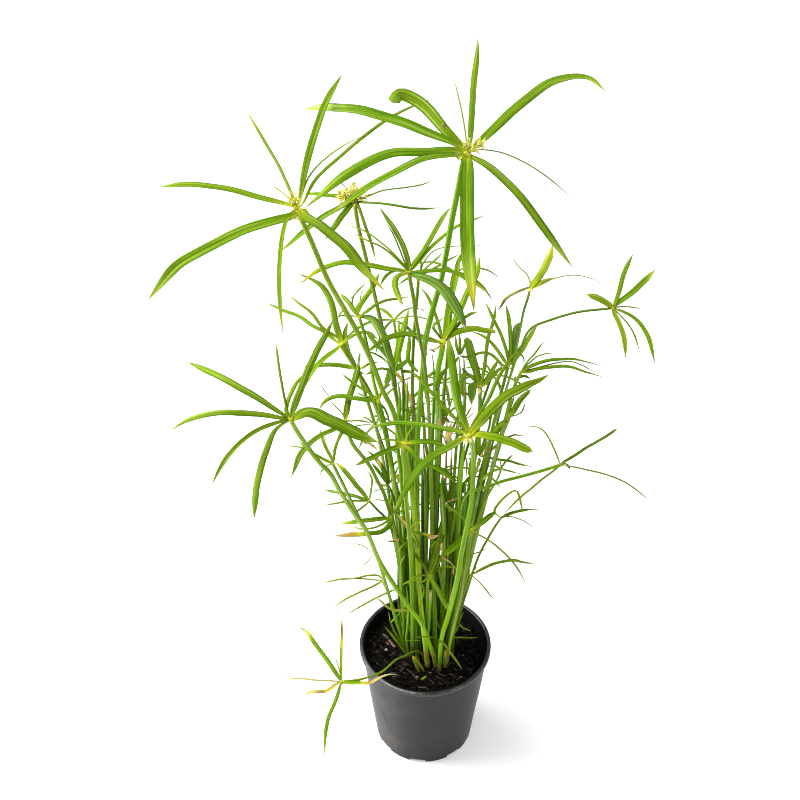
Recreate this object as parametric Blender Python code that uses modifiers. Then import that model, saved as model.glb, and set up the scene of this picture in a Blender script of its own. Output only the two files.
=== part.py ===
"""Umbrella papyrus (Cyperus alternifolius) in a round black nursery pot.

The pot stands on z = 0 with its axis on Z.  The soil fills it to about 20 mm
below the rim.  Out of the soil rises a clump of culms, each with an umbel of
long narrow bracts at its top.  Metres, +Z up; the front of the plant faces -Y.
"""
import bpy
import bmesh
import math
import random
import mathutils
import mathutils.kdtree
import numpy as np

# ---- driving dimensions, metres -------------------------------------------
POT_H = 0.166            # height of the pot
RIM_R = 0.0850           # outer radius of the rim: a 17 cm pot
RIM_IN_R = 0.0793        # inner radius of the rim's bead
RIM_BAND = 0.0052        # height of the rim's outer band
WALL_TOP_R = 0.0814      # outer radius of the wall just under the band
BASE_R = 0.0644          # outer radius at the foot
WALL = 0.0018            # wall thickness
FLOOR = 0.0026           # floor thickness
NOTCHES = 8              # drain notches round the foot
NOTCH_W = 0.0215
NOTCH_H = 0.0046
NOTCH_TURN = math.radians(-98.6)   # first notch, just left of the front
GAP = 0.0003             # clear gap between touching pieces
SOLID_MIN_W = 0.00300    # bracts narrower than this are left to the finish
CULM_TOL = 0.0013
# ---------------------------------------------------------------------------
# Plant layout, shared by the solids and the finish.
# A culm or a bract is laid out by the sight lines it was measured along: each
# (u, v) is a place in an 800 x 800 view taken from EYE, looking along +Y and
# PITCH below the horizon, FOCAL view units long, and a depth along +Y sets how
# far down that line the point lies.
# ---------------------------------------------------------------------------
EYE = (-0.0327, -1.0794, 1.4068)
PITCH = math.radians(38.03)
FOCAL = 1250.0
SOIL_Z = 0.146           # height of the soil's surface
CLUMP = (0.003, -0.004)  # middle of the clump of culms, in X and Y
CLUMP_R = (0.031, 0.029)


def sight(u, v):
    a, b = (u - 400.0) / FOCAL, (400.0 - v) / FOCAL
    return np.array((a, math.cos(PITCH) + b * math.sin(PITCH),
                     -math.sin(PITCH) + b * math.cos(PITCH)))


def at_depth(u, v, y):
    d = sight(u, v)
    return np.array(EYE) + d * ((y - EYE[1]) / d[1])


def at_height(u, v, z):
    d = sight(u, v)
    return np.array(EYE) + d * ((z - EYE[2]) / d[2])


def scale_at(p):
    """Metres for one view unit at a point."""
    f = np.array((0.0, math.cos(PITCH), -math.sin(PITCH)))
    return float(np.dot(np.asarray(p) - np.array(EYE), f)) / FOCAL


def project(p):
    q = np.asarray(p) - np.array(EYE)
    d = q[1] * math.cos(PITCH) - q[2] * math.sin(PITCH)
    h = q[1] * math.sin(PITCH) + q[2] * math.cos(PITCH)
    return 400.0 + FOCAL * q[0] / d, 400.0 - FOCAL * h / d


# Each shoot: name, hub (u, v), depth of the hub, culm width at the hub and at
# the soil in view units, tone, the culm's way down from the hub, its foot
# (u, v on the soil, or None), and its bracts: (width, tone, tip, way out).
# Tones: g green, b bright, d dark, y grey-green, o olive, t tan.
# Tips: n plain, p pale, y yellow, o orange-brown, w withered.
SHOOTS = []


def shoot(name, hub, y, w, tone, way, foot, *bracts):
    SHOOTS.append(dict(name=name, hub=hub, y=y, w=w, tone=tone, way=way,
                       foot=foot, bracts=bracts))


shoot("01", (297, 208), -0.060, (4.6, 4.6), "y",
      [(303, 222), (313, 245), (328, 280), (345, 310), (358, 333), (371, 360), (383, 391),
       (392, 408), (399, 433), (408, 470), (414, 510), (417, 550), (420, 595), (424, 635)],
      (428, 667),
      (3, "g", "y", [(294, 200), (280, 168), (268, 147), (246, 110)]),
      (5, "g", "p", [(292, 206), (260, 197), (220, 187), (185, 184), (159, 187)]),
      (8.5, "g", "p", [(294, 215), (270, 222), (240, 232), (200, 252), (175, 268), (148, 300)]),
      (4.5, "g", "y", [(293, 211), (286, 222), (281, 245), (279, 280), (280, 305), (283, 334)]),
      (10, "g", "y", [(300, 212), (322, 226), (345, 245), (365, 270), (385, 291)]),
      (7, "b", "p", [(299, 203), (304, 175), (313, 140), (325, 105), (342, 74)]),
      (3.8, "b", "p", [(302, 205), (315, 180), (345, 152), (380, 124), (408, 108), (438, 97)]),
      (1.6, "b", "p", [(300, 200), (310, 175), (330, 155), (350, 142), (368, 134)]),
      (1.2, "y", "p", [(290, 199), (271, 184)]))

shoot("02", (354, 200), 0.100, (4, 3.6), "g",
      [(355, 205), (358, 225), (364, 250), (370, 275), (377, 305), (385, 340), (393, 380),
       (400, 420)], None,
      (4, "g", "p", [(345, 197), (330, 195), (310, 193), (303, 194)]),
      (5, "g", "p", [(346, 204), (320, 219), (300, 235), (282, 250), (275, 254)]),
      (6, "g", "n", [(350, 205), (340, 218), (333, 228), (325, 240)]),
      (2.2, "d", "p", [(358, 202), (380, 203), (400, 206), (418, 208.5), (441, 207.5)]),
      (1.5, "d", "p", [(366, 197), (380, 191), (400, 188), (420, 185), (433, 180)]),
      (3, "d", "p", [(358, 205), (365, 225), (372, 245), (376, 262)]),
      (1.4, "g", "p", [(350, 192), (341, 183), (330, 178)]))

shoot("03", (467, 154), -0.020, (5.2, 5), "g",
      [(464, 160), (458, 190), (452, 220), (446, 255), (441, 280), (431, 316), (425, 343),
       (423, 370), (420, 400), (417.5, 440), (417, 480), (417, 520), (416, 570), (415, 620)],
      (416, 651),
      (5, "g", "p", [(469, 148), (472, 110), (474, 80), (477, 55), (478, 37)]),
      (1.4, "y", "p", [(466, 138), (463, 118), (458, 95), (454, 79)]),
      (8, "b", "p", [(473, 149), (490, 132), (510, 113), (535, 92), (555, 80), (575, 75.5),
                     (590, 78), (605, 91)]),
      (1.4, "d", "p", [(475, 150), (500, 152), (520, 160), (545, 175), (575, 201)]),
      (7, "g", "o", [(472, 157), (490, 167), (515, 190), (540, 222), (560, 250), (573, 268)]),
      (13.5, "g", "y", [(467, 163), (467, 190), (467, 230), (469, 265), (473, 300), (474, 311)]),
      (11, "b", "n", [(462, 148), (445, 130), (425, 107), (410, 97), (400, 94), (393, 103)]),
      (8, "g", "p", [(460, 147), (440, 138), (410, 126), (370, 113), (335, 108), (304, 109)]),
      (10, "g", "p", [(460, 151), (430, 151), (395, 152), (370, 160), (345, 175), (320, 195),
                      (305, 208)]),
      (6, "g", "o", [(462, 155), (440, 156), (420, 160), (395, 172), (370, 186), (350, 200),
                     (333, 211)]))

shoot("04", (409, 273), -0.035, (4, 3.6), "d",
      [(410, 279), (412, 290), (414, 301), (415, 313), (417.5, 327), (420, 340), (424, 360),
       (428, 400), (430, 440)], (433, 655),
      (5, "g", "o", [(404, 271), (385, 268), (365, 264), (345, 262), (330, 265), (315, 272),
                     (305, 280), (297, 284)]),
      (5, "d", "n", [(409, 266), (403, 245), (395, 230), (385, 215), (379, 207)]),
      (1.6, "d", "n", [(406, 266), (398, 245), (392, 232), (386, 222)]),
      (1.6, "o", "y", [(405, 266), (390, 250), (378, 240), (370, 234), (358, 228), (339, 223)]),
      (2, "g", "o", [(405, 268), (390, 253), (378, 245), (368, 241), (352, 232)]),
      (5.5, "b", "y", [(404, 273), (397, 276), (395, 284), (398, 295), (403, 305)]),
      (4.5, "g", "n", [(412, 266), (425, 248), (438, 225), (448, 210), (452, 207)]),
      (3.2, "b", "n", [(413, 269), (430, 248), (447, 233), (459, 225), (475, 219), (486, 215)]),
      (4, "g", "y", [(415, 272), (435, 270), (448, 270), (458, 273), (464, 277), (477, 284),
                     (490, 295)]),
      (8.5, "d", "y", [(415, 275), (430, 279), (440, 285), (450, 297), (457, 309), (462, 319),
                       (467, 331)]))

shoot("05", (418, 279), 0.050, (3, 3), "o",
      [(418, 284), (417, 297), (415, 320), (413, 350), (412.5, 405)], None,
      (2.2, "g", "n", [(423, 271), (435, 260), (443, 252)]),
      (2.2, "g", "n", [(425, 273), (440, 265), (450, 259), (460, 254)]),
      (1.3, "o", "p", [(424, 262), (435, 250), (455, 246), (475, 246), (490, 243)]),
      (1.6, "d", "n", [(420, 272), (422, 258)]),
      (3, "d", "n", [(414, 276), (400, 270), (388, 274), (380, 286)]))

shoot("06", (359, 317), 0.055, (3, 3), "b",
      [(361, 323), (364, 332), (367, 345), (370, 359), (373, 378), (377.5, 397), (386, 430)],
      None,
      (5.5, "b", "n", [(357, 311), (363, 300), (371, 289), (379, 273)]),
      (3, "g", "y", [(362, 315), (375, 305), (383, 301), (392, 299), (410, 297)]),
      (7.5, "d", "n", [(364, 317), (371, 318), (379, 327), (384, 338), (388, 352), (392.5, 365),
                       (395, 375)]),
      (4, "g", "p", [(355, 312), (350, 304), (340, 293)]),
      (1.4, "g", "p", [(352, 302), (358, 290), (366, 283)]),
      (1.5, "g", "p", [(352, 316), (340, 316)]))

shoot("07", (341, 345), 0.060, (4, 3.4), "b",
      [(344, 350), (350, 359), (359, 374), (370, 393), (379, 415), (388, 445)], None,
      (3.5, "g", "n", [(337, 342), (325, 332), (312, 325), (300, 316.5), (283, 310), (265, 302)]),
      (3, "g", "n", [(338, 338), (331, 333), (322, 327), (312, 313), (300, 304), (288, 294)]),
      (4.5, "b", "n", [(337, 349), (327, 356), (313, 370), (302, 388), (292, 405)]),
      (6, "d", "n", [(340, 338), (336, 325), (332, 305), (324, 288), (312, 279), (296, 273)]),
      (3, "g", "n", [(346, 340), (358, 333), (368, 332), (378, 340)]))

shoot("08", (291, 420), -0.130, (4.2, 4.2), "y",
      [(294, 426), (305, 443), (320, 463), (330, 473), (340, 491), (350, 507), (358, 519),
       (366, 530), (380, 562), (397, 589), (410, 608), (420.5, 621.5), (429, 642), (434.5, 658)],
      (437, 668),
      (5, "g", "p", [(285, 416), (255, 396), (225, 379), (200, 367), (187, 362)]),
      (6, "g", "y", [(285, 419), (260, 414), (230, 412), (205, 414), (185, 421), (170, 431)]),
      (3.6, "g", "p", [(284, 421), (260, 429), (240, 443), (225, 460), (211, 486)]),
      (5.5, "g", "p", [(286, 422), (275, 430), (267, 448), (260, 470), (256, 490), (254, 519)]),
      (2.6, "g", "p", [(288, 413), (282, 385), (278, 360), (276, 342)]),
      (7, "d", "n", [(292, 414), (300, 390), (312, 360), (325, 335), (333, 320)]),
      (4, "b", "n", [(286, 411), (289, 398), (297, 382), (309, 369)]),
      (9.5, "y", "p", [(297, 417), (304, 412), (315, 412.5), (330, 420), (350, 429), (363, 436),
                       (378, 442)]))

shoot("09", (530, 289), 0.050, (3, 2.6), "g",
      [(528, 298), (524, 310), (520, 330), (517, 345), (512, 370), (503, 400)], None,
      (7, "b", "o", [(532, 285), (538, 278), (548, 260), (553, 244)]),
      (4, "o", "o", [(534, 287), (542, 282), (549, 279), (560, 277), (572, 275), (584, 276),
                     (595, 280), (606, 286.5)]),
      (2.6, "t", "w", [(525, 289), (518, 291), (510, 295), (504, 303), (498, 312)]),
      (1.3, "g", "p", [(530, 281), (526, 273), (518, 266), (512, 256.5)]))

shoot("10", (612.5, 308), -0.010, (2.8, 2.6), "g",
      [(607, 308.9), (590, 310.4), (576, 312.5), (561, 316.5), (549, 320.6), (540, 323.5),
       (531, 328), (526, 335), (522, 345), (516, 360), (506, 390), (494, 425), (484, 470),
       (473, 520)], (447, 656),
      (4.5, "g", "n", [(616, 301), (619.6, 290), (624, 273), (633, 254)]),
      (5.5, "g", "y", [(617, 304), (630, 294.6), (641.5, 284), (655, 270)]),
      (4.5, "d", "p", [(609, 304), (601, 299), (594, 296), (586, 294)]),
      (1.4, "o", "p", [(618, 307), (630, 307), (643, 309.4)]),
      (3.6, "g", "n", [(618, 310), (631, 315), (641.5, 325), (648.5, 337), (652, 350), (655, 364)]),
      (4.5, "y", "n", [(614, 313), (617, 319), (622.5, 331.5), (625, 345), (625.6, 358)]),
      (1.6, "g", "p", [(617, 312), (629, 325), (635, 336), (640, 353.5)]))

shoot("11", (521, 372), 0.020, (3, 3), "b",
      [(516, 382), (511, 396), (505, 420), (498, 445), (490, 475), (482, 505)], None,
      (4, "g", "p", [(526, 369), (535, 364), (549, 360), (561, 358.7), (572, 358.7), (584, 361),
                     (595, 364), (607, 370)]),
      (3.5, "g", "o", [(526, 373), (537, 369), (549, 367), (561, 366), (572, 367), (586, 372),
                       (598, 375.5), (606, 379)]),
      (1.4, "g", "p", [(560, 362), (572, 361.5), (584, 366), (599, 375)]),
      (1.5, "y", "p", [(527, 365), (538, 356), (549, 353), (560, 353.5)]),
      (1.8, "g", "p", [(527, 362), (533, 356), (538, 349), (545, 340)]))

shoot("12", (508, 366), 0.090, (3.2, 3), "d",
      [(505, 378), (499, 400), (492, 430), (484, 470)], None,
      (3.2, "g", "n", [(508, 358), (502, 337), (493, 318), (485, 301)]),
      (4, "d", "n", [(510, 358), (510.5, 340), (509, 320), (506, 304)]),
      (7, "y", "n", [(510, 362), (513, 348), (515, 336), (517, 326), (521, 322)]),
      (3.5, "g", "n", [(504, 360), (497, 349), (489, 340), (480, 334), (470, 331)]),
      (3, "g", "n", [(503, 366), (498, 360), (490, 353.5), (482, 352), (474, 355), (464, 361)]),
      (4.5, "g", "n", [(513, 362), (521, 352), (529.6, 337), (537.7, 324)]))

shoot("13", (469, 436), -0.140, (4.6, 4.4), "y",
      [(472, 443), (473, 455), (473, 473), (472.5, 490), (471, 504), (468, 520), (465, 535),
       (461, 555), (457, 580), (452, 600), (448, 616), (442.5, 634), (440.5, 648)], (441, 673),
      (8, "b", "p", [(464, 438), (452, 445), (433, 455), (421, 467), (411, 480), (402, 496),
                     (394, 510)]),
      (5, "g", "p", [(463, 432), (450, 429), (438, 427), (420, 423.5), (400, 422.3), (385, 424),
                     (367, 427.5)]),
      (8, "g", "p", [(467, 428), (463, 418), (459, 407), (455, 388), (453, 370), (451, 355),
                     (449, 338)]),
      (3.6, "g", "n", [(465, 429), (460, 424), (450, 412.5), (437, 398.5), (425, 385), (415, 374),
                       (404, 369)]),
      (5, "b", "n", [(471, 428), (477, 417), (488, 400), (497, 380), (508, 362), (521, 346),
                     (537, 324.5)]),
      (9.5, "b", "n", [(473, 430), (480, 422), (490, 410), (500, 400), (512, 391.5), (526, 385),
                       (540, 379), (549, 374.5)]),
      (6.5, "b", "y", [(474, 435), (480, 434), (490, 435.4), (500, 438), (510, 441), (520, 445.5),
                       (533, 451.5)]))

shoot("14", (443, 342), 0.010, (5, 4.6), "b",
      [(442, 352), (439, 365), (437, 385), (438, 400), (438, 430), (437, 470), (435, 520)],
      (436, 644),
      (2.2, "g", "p", [(440, 337), (437, 333), (433, 325), (443, 318)]),
      (4.5, "g", "p", [(446, 338), (453, 333), (462, 329.5), (475, 328), (488, 330), (496, 330.5)]),
      (6, "b", "n", [(445, 335), (448, 312), (452, 292), (457, 272), (459.5, 256)]),
      (6, "b", "n", [(447, 333), (455, 320), (463, 302), (469, 288), (476, 275), (480, 256)]),
      (5, "d", "n", [(438, 342), (430, 339), (420, 336), (408, 333.5), (395, 335), (383, 340),
                     (369, 349)]),
      (3.2, "g", "n", [(441, 334), (438, 322), (433, 308), (427, 295), (420, 287)]),
      (3.2, "g", "n", [(449, 336), (458, 325), (466, 316.5), (478, 312)]),
      (3, "t", "w", [(439, 347), (434, 350), (428, 349)]))

shoot("15", (560.3, 465), -0.030, (3, 3), "b",
      [(551, 468), (541, 471), (520.5, 476.7), (500, 482), (490, 486), (480, 489), (471, 491),
       (465, 496), (461, 508), (459, 530), (457, 560)], (447, 651),
      (3, "g", "p", [(564, 462), (572, 457), (587, 447), (603, 438), (617, 428.5)]),
      (1.7, "b", "p", [(559, 461), (555, 451), (550, 440), (545, 432), (540, 428), (533, 426),
                       (525, 428)]),
      (1.5, "o", "p", [(564, 466), (574, 467), (587, 470), (603, 473.6), (618, 479), (631, 486),
                       (644, 496), (653, 504)]),
      (2.1, "o", "p", [(557, 468), (541, 480), (531, 488.5), (520.5, 497), (508, 509.5),
                       (503, 516)]),
      (2, "g", "p", [(564, 463.5), (567, 464), (570, 469.5)]))

shoot("16", (509, 417), 0.020, (3.6, 3.6), "b",
      [(507, 423), (502.5, 433), (499, 447), (493, 467), (488, 483), (483, 500), (478, 520),
       (474, 540), (470, 560), (465, 583), (460, 602), (455.5, 621), (452.5, 636)], (450, 649),
      (6, "d", "n", [(512, 413), (517, 404), (523, 396), (531, 389)]),
      (1.5, "g", "n", [(514, 416), (521, 413), (525, 403)]),
      (2.4, "d", "n", [(509, 411), (512, 403), (514, 396)]),
      (4.5, "b", "n", [(506, 421), (500, 425), (493, 432), (490, 441)]))

shoot("17", (485, 458), 0.055, (3.4, 3.2), "g",
      [(483, 464), (480, 475), (477, 490), (473, 505), (469, 522), (465, 545)], None,
      (2.6, "d", "o", [(489, 458), (500, 459.5), (510, 461), (520, 464), (533, 467)]),
      (3, "d", "n", [(487, 453), (492, 449), (498, 444)]),
      (1.3, "y", "p", [(490, 462), (500, 468), (510, 471), (520, 474)]),
      (4, "t", "w", [(486, 451), (490, 440), (495, 431), (501, 421)]),
      (2, "t", "o", [(489, 452), (500, 442), (508.7, 437), (514, 434.6), (523.6, 435.6)]),
      (3.4, "d", "n", [(481, 455), (474, 452), (468, 455)]))

shoot("18", (501, 469), -0.010, (2, 2), "g",
      [(499, 476), (493, 487), (487, 497), (481, 512), (475, 528), (470, 548)], None,
      (2, "g", "p", [(503, 465), (508, 459), (513, 454.5)]),
      (1.4, "y", "p", [(501, 465), (499.5, 458)]),
      (2.6, "b", "y", [(495, 470), (488, 474), (482, 481)]))

shoot("19", (472, 530), -0.060, (3, 3), "d",
      [(470, 540), (467, 560), (462, 590), (456, 616), (450, 643)], (446, 667),
      (5, "d", "n", [(475, 528), (480, 524), (487, 518.5), (495, 511.5)]),
      (1.8, "o", "p", [(475, 533), (487, 539), (500, 549), (512, 561), (521, 574), (527, 587)]),
      (2.6, "d", "n", [(469, 526), (462, 517), (452, 509), (440, 502)]),
      (4.6, "y", "n", [(468, 534), (460, 543), (453, 550), (447, 555)]),
      (1.6, "d", "n", [(470, 525), (474, 515), (477, 503)]))

shoot("20", (501, 518), -0.005, (2.2, 2.4), "o",
      [(498, 522), (494, 528), (487, 540), (480.5, 552), (473.5, 570), (468, 588), (462.5, 605), (457, 622)],
      (453, 641),
      (3, "d", "p", [(505, 516), (510, 513.5), (520, 510.5), (530, 509), (540, 510), (560, 509)]),
      (1.2, "y", "p", [(509, 516), (522, 520), (528, 523), (534, 529)]),
      (2.4, "b", "n", [(494, 512), (499, 503), (508, 494), (516, 490), (520, 499), (523, 514)]))

shoot("21", (471, 575), -0.050, (2.2, 2.2), "g",
      [(469, 580), (464, 592), (459.5, 606), (455.5, 622)], (452, 655),
      (2.8, "o", "p", [(475, 573), (490, 565), (505, 561), (513, 560), (523, 562), (536, 564)]),
      (1.4, "y", "p", [(475, 578), (484, 587), (490, 595), (497, 602.5)]),
      (2, "g", "n", [(473, 571), (477, 566)]),
      (1.4, "y", "p", [(465, 570), (470, 556), (482, 551), (488, 546)]))

shoot("22", (405, 444), -0.105, (4.4, 4), "y",
      [(403, 450), (404, 458), (405, 471), (405, 483), (406, 500), (409, 530), (411, 560),
       (412, 600)], (412, 657),
      (5, "g", "n", [(400, 446), (392, 449), (380, 454), (370, 459), (354, 466)]),
      (5, "y", "n", [(409, 443), (420, 441.7), (430, 441.7), (438, 443), (447, 447)]),
      (2.2, "g", "n", [(401, 442), (392, 440), (378, 439)]),
      (4, "g", "n", [(408, 448), (413, 453), (421, 462), (438, 469), (448, 477), (455, 482)]),
      (2.2, "g", "n", [(406, 438), (410, 431), (419, 419)]))

shoot("23", (369, 501), -0.050, (2.2, 2.4), "d",
      [(371, 503), (375, 507.5), (380, 512.5), (385, 517), (390, 526), (395, 545), (399, 570)],
      (405, 646),
      (4.5, "d", "o", [(366, 497), (357.5, 487), (348, 475), (340, 466), (334, 462)]),
      (3.2, "d", "n", [(364, 499), (355, 496), (342, 493), (323, 489.5)]),
      (2.2, "d", "n", [(364, 501), (355, 500.4), (342, 502), (323, 505.6)]),
      (2, "g", "n", [(370, 497), (371, 490), (372, 478), (367, 470)]),
      (2, "d", "n", [(367, 503.5), (361, 508), (354, 514)]))

shoot("24", (391, 518), -0.020, (3, 3), "g",
      [(395, 530), (400, 550), (402, 575), (403, 600)], None,
      (4.5, "d", "y", [(387, 518.5), (380, 519), (370, 520), (355, 522), (340, 523.5)]),
      (5, "d", "w", [(390, 524), (382, 531), (370, 533), (355, 534), (343, 535), (333, 536)]),
      (2, "g", "o", [(386, 522), (376, 527), (361, 529), (352, 526)]),
      (2.4, "b", "n", [(393, 512), (398, 506), (404, 498), (408, 487)]))

shoot("25", (345, 421), -0.020, (3.6, 3.4), "g",
      [(348, 430), (352, 443), (363, 457), (370, 466), (377, 480), (383, 491), (388, 506),
       (392, 520), (396, 540), (400, 565)], (405.5, 652),
      (6, "d", "n", [(346, 415), (348, 402), (352, 388), (356, 376), (359, 361)]),
      (1.6, "g", "p", [(349, 421), (360, 420.5), (372, 423)]),
      (5, "d", "n", [(341, 425), (335, 429), (320, 436), (308, 445), (300, 455), (295, 468),
                     (291, 478)]),
      (3, "g", "n", [(344, 429), (338, 440), (332, 454)]),
      (1.5, "g", "p", [(343, 414), (337, 408), (330, 401)]))

shoot("26", (333, 464), -0.075, (3, 3.2), "b",
      [(336, 470), (343, 484), (352, 503), (359, 517), (366, 532), (374, 548), (380, 565),
       (386, 585), (391, 602), (396, 620), (401, 635)], (408, 657),
      (3.2, "b", "n", [(332, 459), (327, 450), (323, 440), (319.5, 428)]),
      (2.6, "g", "n", [(334, 458), (335, 450), (338, 440), (341, 430)]),
      (2.8, "b", "p", [(328, 461), (318, 456), (308, 450), (298, 440)]),
      (1.6, "o", "p", [(327, 462), (315, 455), (303, 448), (285, 446)]),
      (1.4, "o", "p", [(328, 465), (322, 470), (320, 476)]))

shoot("27", (357.5, 370), 0.090, (3, 3), "g",
      [(360, 377), (364, 390), (371, 412), (379, 440)], None,
      (4.5, "d", "n", [(353, 368), (342, 365), (330, 364), (318, 365), (303, 366)]),
      (5, "d", "n", [(354, 364), (350, 357), (346, 345), (345, 333), (348, 322)]),
      (2.2, "g", "n", [(358.5, 363), (360, 352)]),
      (2.4, "g", "n", [(362, 368), (370, 363), (379, 362)]))

shoot("28", (378, 401), -0.010, (3.2, 3), "b",
      [(380, 411), (382.5, 422), (385, 433), (387.5, 443), (389, 457), (392.5, 471), (397, 500),
       (401, 540), (404, 580)], (410.5, 650),
      (4.5, "g", "n", [(374, 401), (365, 399.5), (354, 397.5), (345, 396), (336, 396), (329, 398),
                       (323, 403), (319, 410)]),
      (2.6, "g", "n", [(375, 397), (367, 392), (357.5, 386), (352, 382), (342.5, 374)]),
      (2, "g", "n", [(372, 397.5), (365, 396), (356, 392)]),
      (3, "d", "n", [(380, 395), (384, 388), (392, 383)]))

shoot("29", (394, 370), 0.075, (3, 3), "d",
      [(395, 380), (397, 400), (400, 430), (404, 470)], None,
      (2.6, "d", "n", [(390, 371), (385, 368), (378, 369), (371, 372.5), (365, 375)]),
      (4, "d", "n", [(391, 374), (387, 382.5), (383, 391)]),
      (4.5, "d", "n", [(391, 362), (387, 355), (377.5, 345), (371, 337), (364, 329)]),
      (1.6, "y", "n", [(389, 364), (379, 356), (371, 352)]),
      (4, "g", "n", [(398, 366), (402.5, 363), (408, 360)]),
      (3.5, "t", "w", [(398, 375), (404, 383), (408, 395), (412, 406)]),
      (6, "b", "p", [(396, 362), (400, 345), (404, 328), (409, 308)]),
      (3, "b", "p", [(394, 361), (397, 345), (399, 330), (398, 318)]))

shoot("30", (480.5, 387), 0.060, (3.4, 3.2), "g",
      [(480, 396), (480, 408), (477, 440), (472, 480)], None,
      (7, "d", "n", [(479, 381), (477, 373), (473, 360), (470, 348), (467, 337)]),
      (3.5, "g", "n", [(483, 376), (486, 355), (488, 338), (492, 326), (495, 313), (496, 304)]),
      (4, "g", "n", [(485, 381), (491, 372), (498, 360)]),
      (4, "d", "n", [(486, 383), (494, 374), (502, 366)]),
      (6, "d", "n", [(476, 384), (472, 385), (471, 393), (471.5, 405)]),
      (5, "d", "n", [(474, 378), (466, 373), (462.5, 382), (462.5, 397)]))

shoot("31", (429, 576), -0.050, (2.8, 2.6), "g",
      [(427.8, 585), (427.2, 600), (427, 618), (428.5, 638)], (432, 655),
      (5, "b", "p", [(431.5, 579), (439.5, 592), (446, 606), (449, 610)]),
      (3.2, "g", "n", [(426, 570), (416.5, 556), (403, 541), (386, 523.5)]),
      (4.6, "b", "n", [(433, 571), (441, 558), (455, 544.5), (470, 531), (485, 522), (496, 513)]),
      (7.5, "b", "n", [(431.5, 567), (436, 552), (443, 525), (447, 504)]),
      (2, "b", "y", [(424, 575), (417, 576), (411, 580), (402, 585)]),
      (2, "o", "y", [(434, 572), (440, 568), (447, 566.5), (456, 568)]),
      (1.6, "y", "n", [(425, 580), (421, 583), (416, 580), (411, 581)]))

shoot("32", (411, 531), -0.045, (3, 3), "d",
      [(412, 540), (413, 560), (415, 600)], (417, 664),
      (3.2, "d", "w", [(415, 532), (426, 534), (437, 537)]),
      (2.6, "t", "y", [(408, 526), (403, 520), (397, 514)]),
      (2.6, "b", "n", [(414, 526), (418, 522), (422, 519)]),
      (4.4, "d", "n", [(413, 535), (417, 542), (417, 550)]))

shoot("33", (383, 581), 0.000, (2.6, 3), "b",
      [(387, 590), (393, 606), (400, 626)], (406.5, 641),
      (1.8, "o", "p", [(380, 576), (370, 575), (356, 578), (335, 580), (321, 585)]),
      (2.2, "o", "p", [(379, 583), (369, 588), (359.5, 592), (344, 600), (331, 609)]),
      (1.5, "o", "p", [(379, 580.5), (368, 579), (350, 578.5), (336, 580.5)]))

shoot("34", (341.3, 682), -0.105, (3.2, 3), "y",
      [(348, 681.5, -0.100), (358, 680, -0.093), (369, 677, -0.085), (381.5, 672, -0.073),
       (390, 665, -0.060), (397, 659, -0.047), (406, 655.6, -0.036), (413, 651.5, -0.026),
       (420, 652, -0.020)],
      (425, 660),
      (2.8, "b", "w", [(341.2, 674), (341.3, 650), (342, 636.5), (341.7, 615.5)]),
      (4.4, "g", "y", [(338.5, 677), (327, 659.5), (314, 642), (307, 632), (298, 626)]),
      (1.5, "t", "p", [(334, 681), (314, 680), (298, 678), (282, 680)]),
      (3, "t", "w", [(336.5, 684), (327, 691), (317, 692), (310, 692), (304, 696)]),
      (3.6, "g", "p", [(339.5, 689), (335, 702), (328, 719), (325, 738), (324.5, 757)]),
      (4.2, "b", "w", [(347, 683), (358, 683), (369, 683), (381, 677), (390, 674), (397, 675)]),
      (1.2, "t", "p", [(340, 673), (335, 656)]))
# Shoots at the back of the clump, where no sight line reaches: hub (x, y, z),
# bract count, bract length, turn of the whorl, and bract width, in metres.
HIDDEN = [
    ("35", (0.030, 0.138, 0.640), 6, 0.085, 0.30, 0.0052),
    ("36", (-0.040, 0.150, 0.565), 6, 0.075, 1.10, 0.0046),
    ("37", (0.078, 0.128, 0.500), 6, 0.062, 0.65, 0.0044),
    ("38", (-0.062, 0.105, 0.440), 6, 0.055, 0.10, 0.0040),
    ("39", (0.022, 0.152, 0.470), 6, 0.068, 0.85, 0.0046),
    ("40", (0.062, 0.090, 0.380), 5, 0.048, 0.40, 0.0036),
    ("41", (-0.018, 0.112, 0.350), 5, 0.046, 1.45, 0.0036),
]


def catmull(points, per=10):
    """Centripetal Catmull-Rom curve through the points."""
    p = [np.asarray(q, float) for q in points]
    p = [2 * p[0] - p[1]] + p + [2 * p[-1] - p[-2]]
    out = []
    for i in range(len(p) - 3):
        a, b, c, d = p[i:i + 4]
        t0 = 0.0
        t1 = t0 + max(np.linalg.norm(b - a), 1e-9) ** 0.5
        t2 = t1 + max(np.linalg.norm(c - b), 1e-9) ** 0.5
        t3 = t2 + max(np.linalg.norm(d - c), 1e-9) ** 0.5
        for k in range(per):
            t = t1 + (t2 - t1) * k / per
            a1 = (t1 - t) / (t1 - t0) * a + (t - t0) / (t1 - t0) * b
            a2 = (t2 - t) / (t2 - t1) * b + (t - t1) / (t2 - t1) * c
            a3 = (t3 - t) / (t3 - t2) * c + (t - t2) / (t3 - t2) * d
            b1 = (t2 - t) / (t2 - t0) * a1 + (t - t0) / (t2 - t0) * a2
            b2 = (t3 - t) / (t3 - t1) * a2 + (t - t1) / (t3 - t1) * a3
            out.append((t2 - t) / (t2 - t1) * b1 + (t - t1) / (t2 - t1) * b2)
    out.append(p[-2])
    return np.array(out)


def arc_lengths(pts):
    return np.concatenate(([0.0], np.cumsum(np.linalg.norm(np.diff(pts, axis=0), axis=1))))


def resample(pts, n, power=1.0):
    """n points along a curve, evenly spaced for power 1."""
    s = arc_lengths(pts)
    t = np.linspace(0.0, 1.0, n) ** power * s[-1]
    return np.stack([np.interp(t, s, pts[:, k]) for k in range(3)], axis=1)


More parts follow.
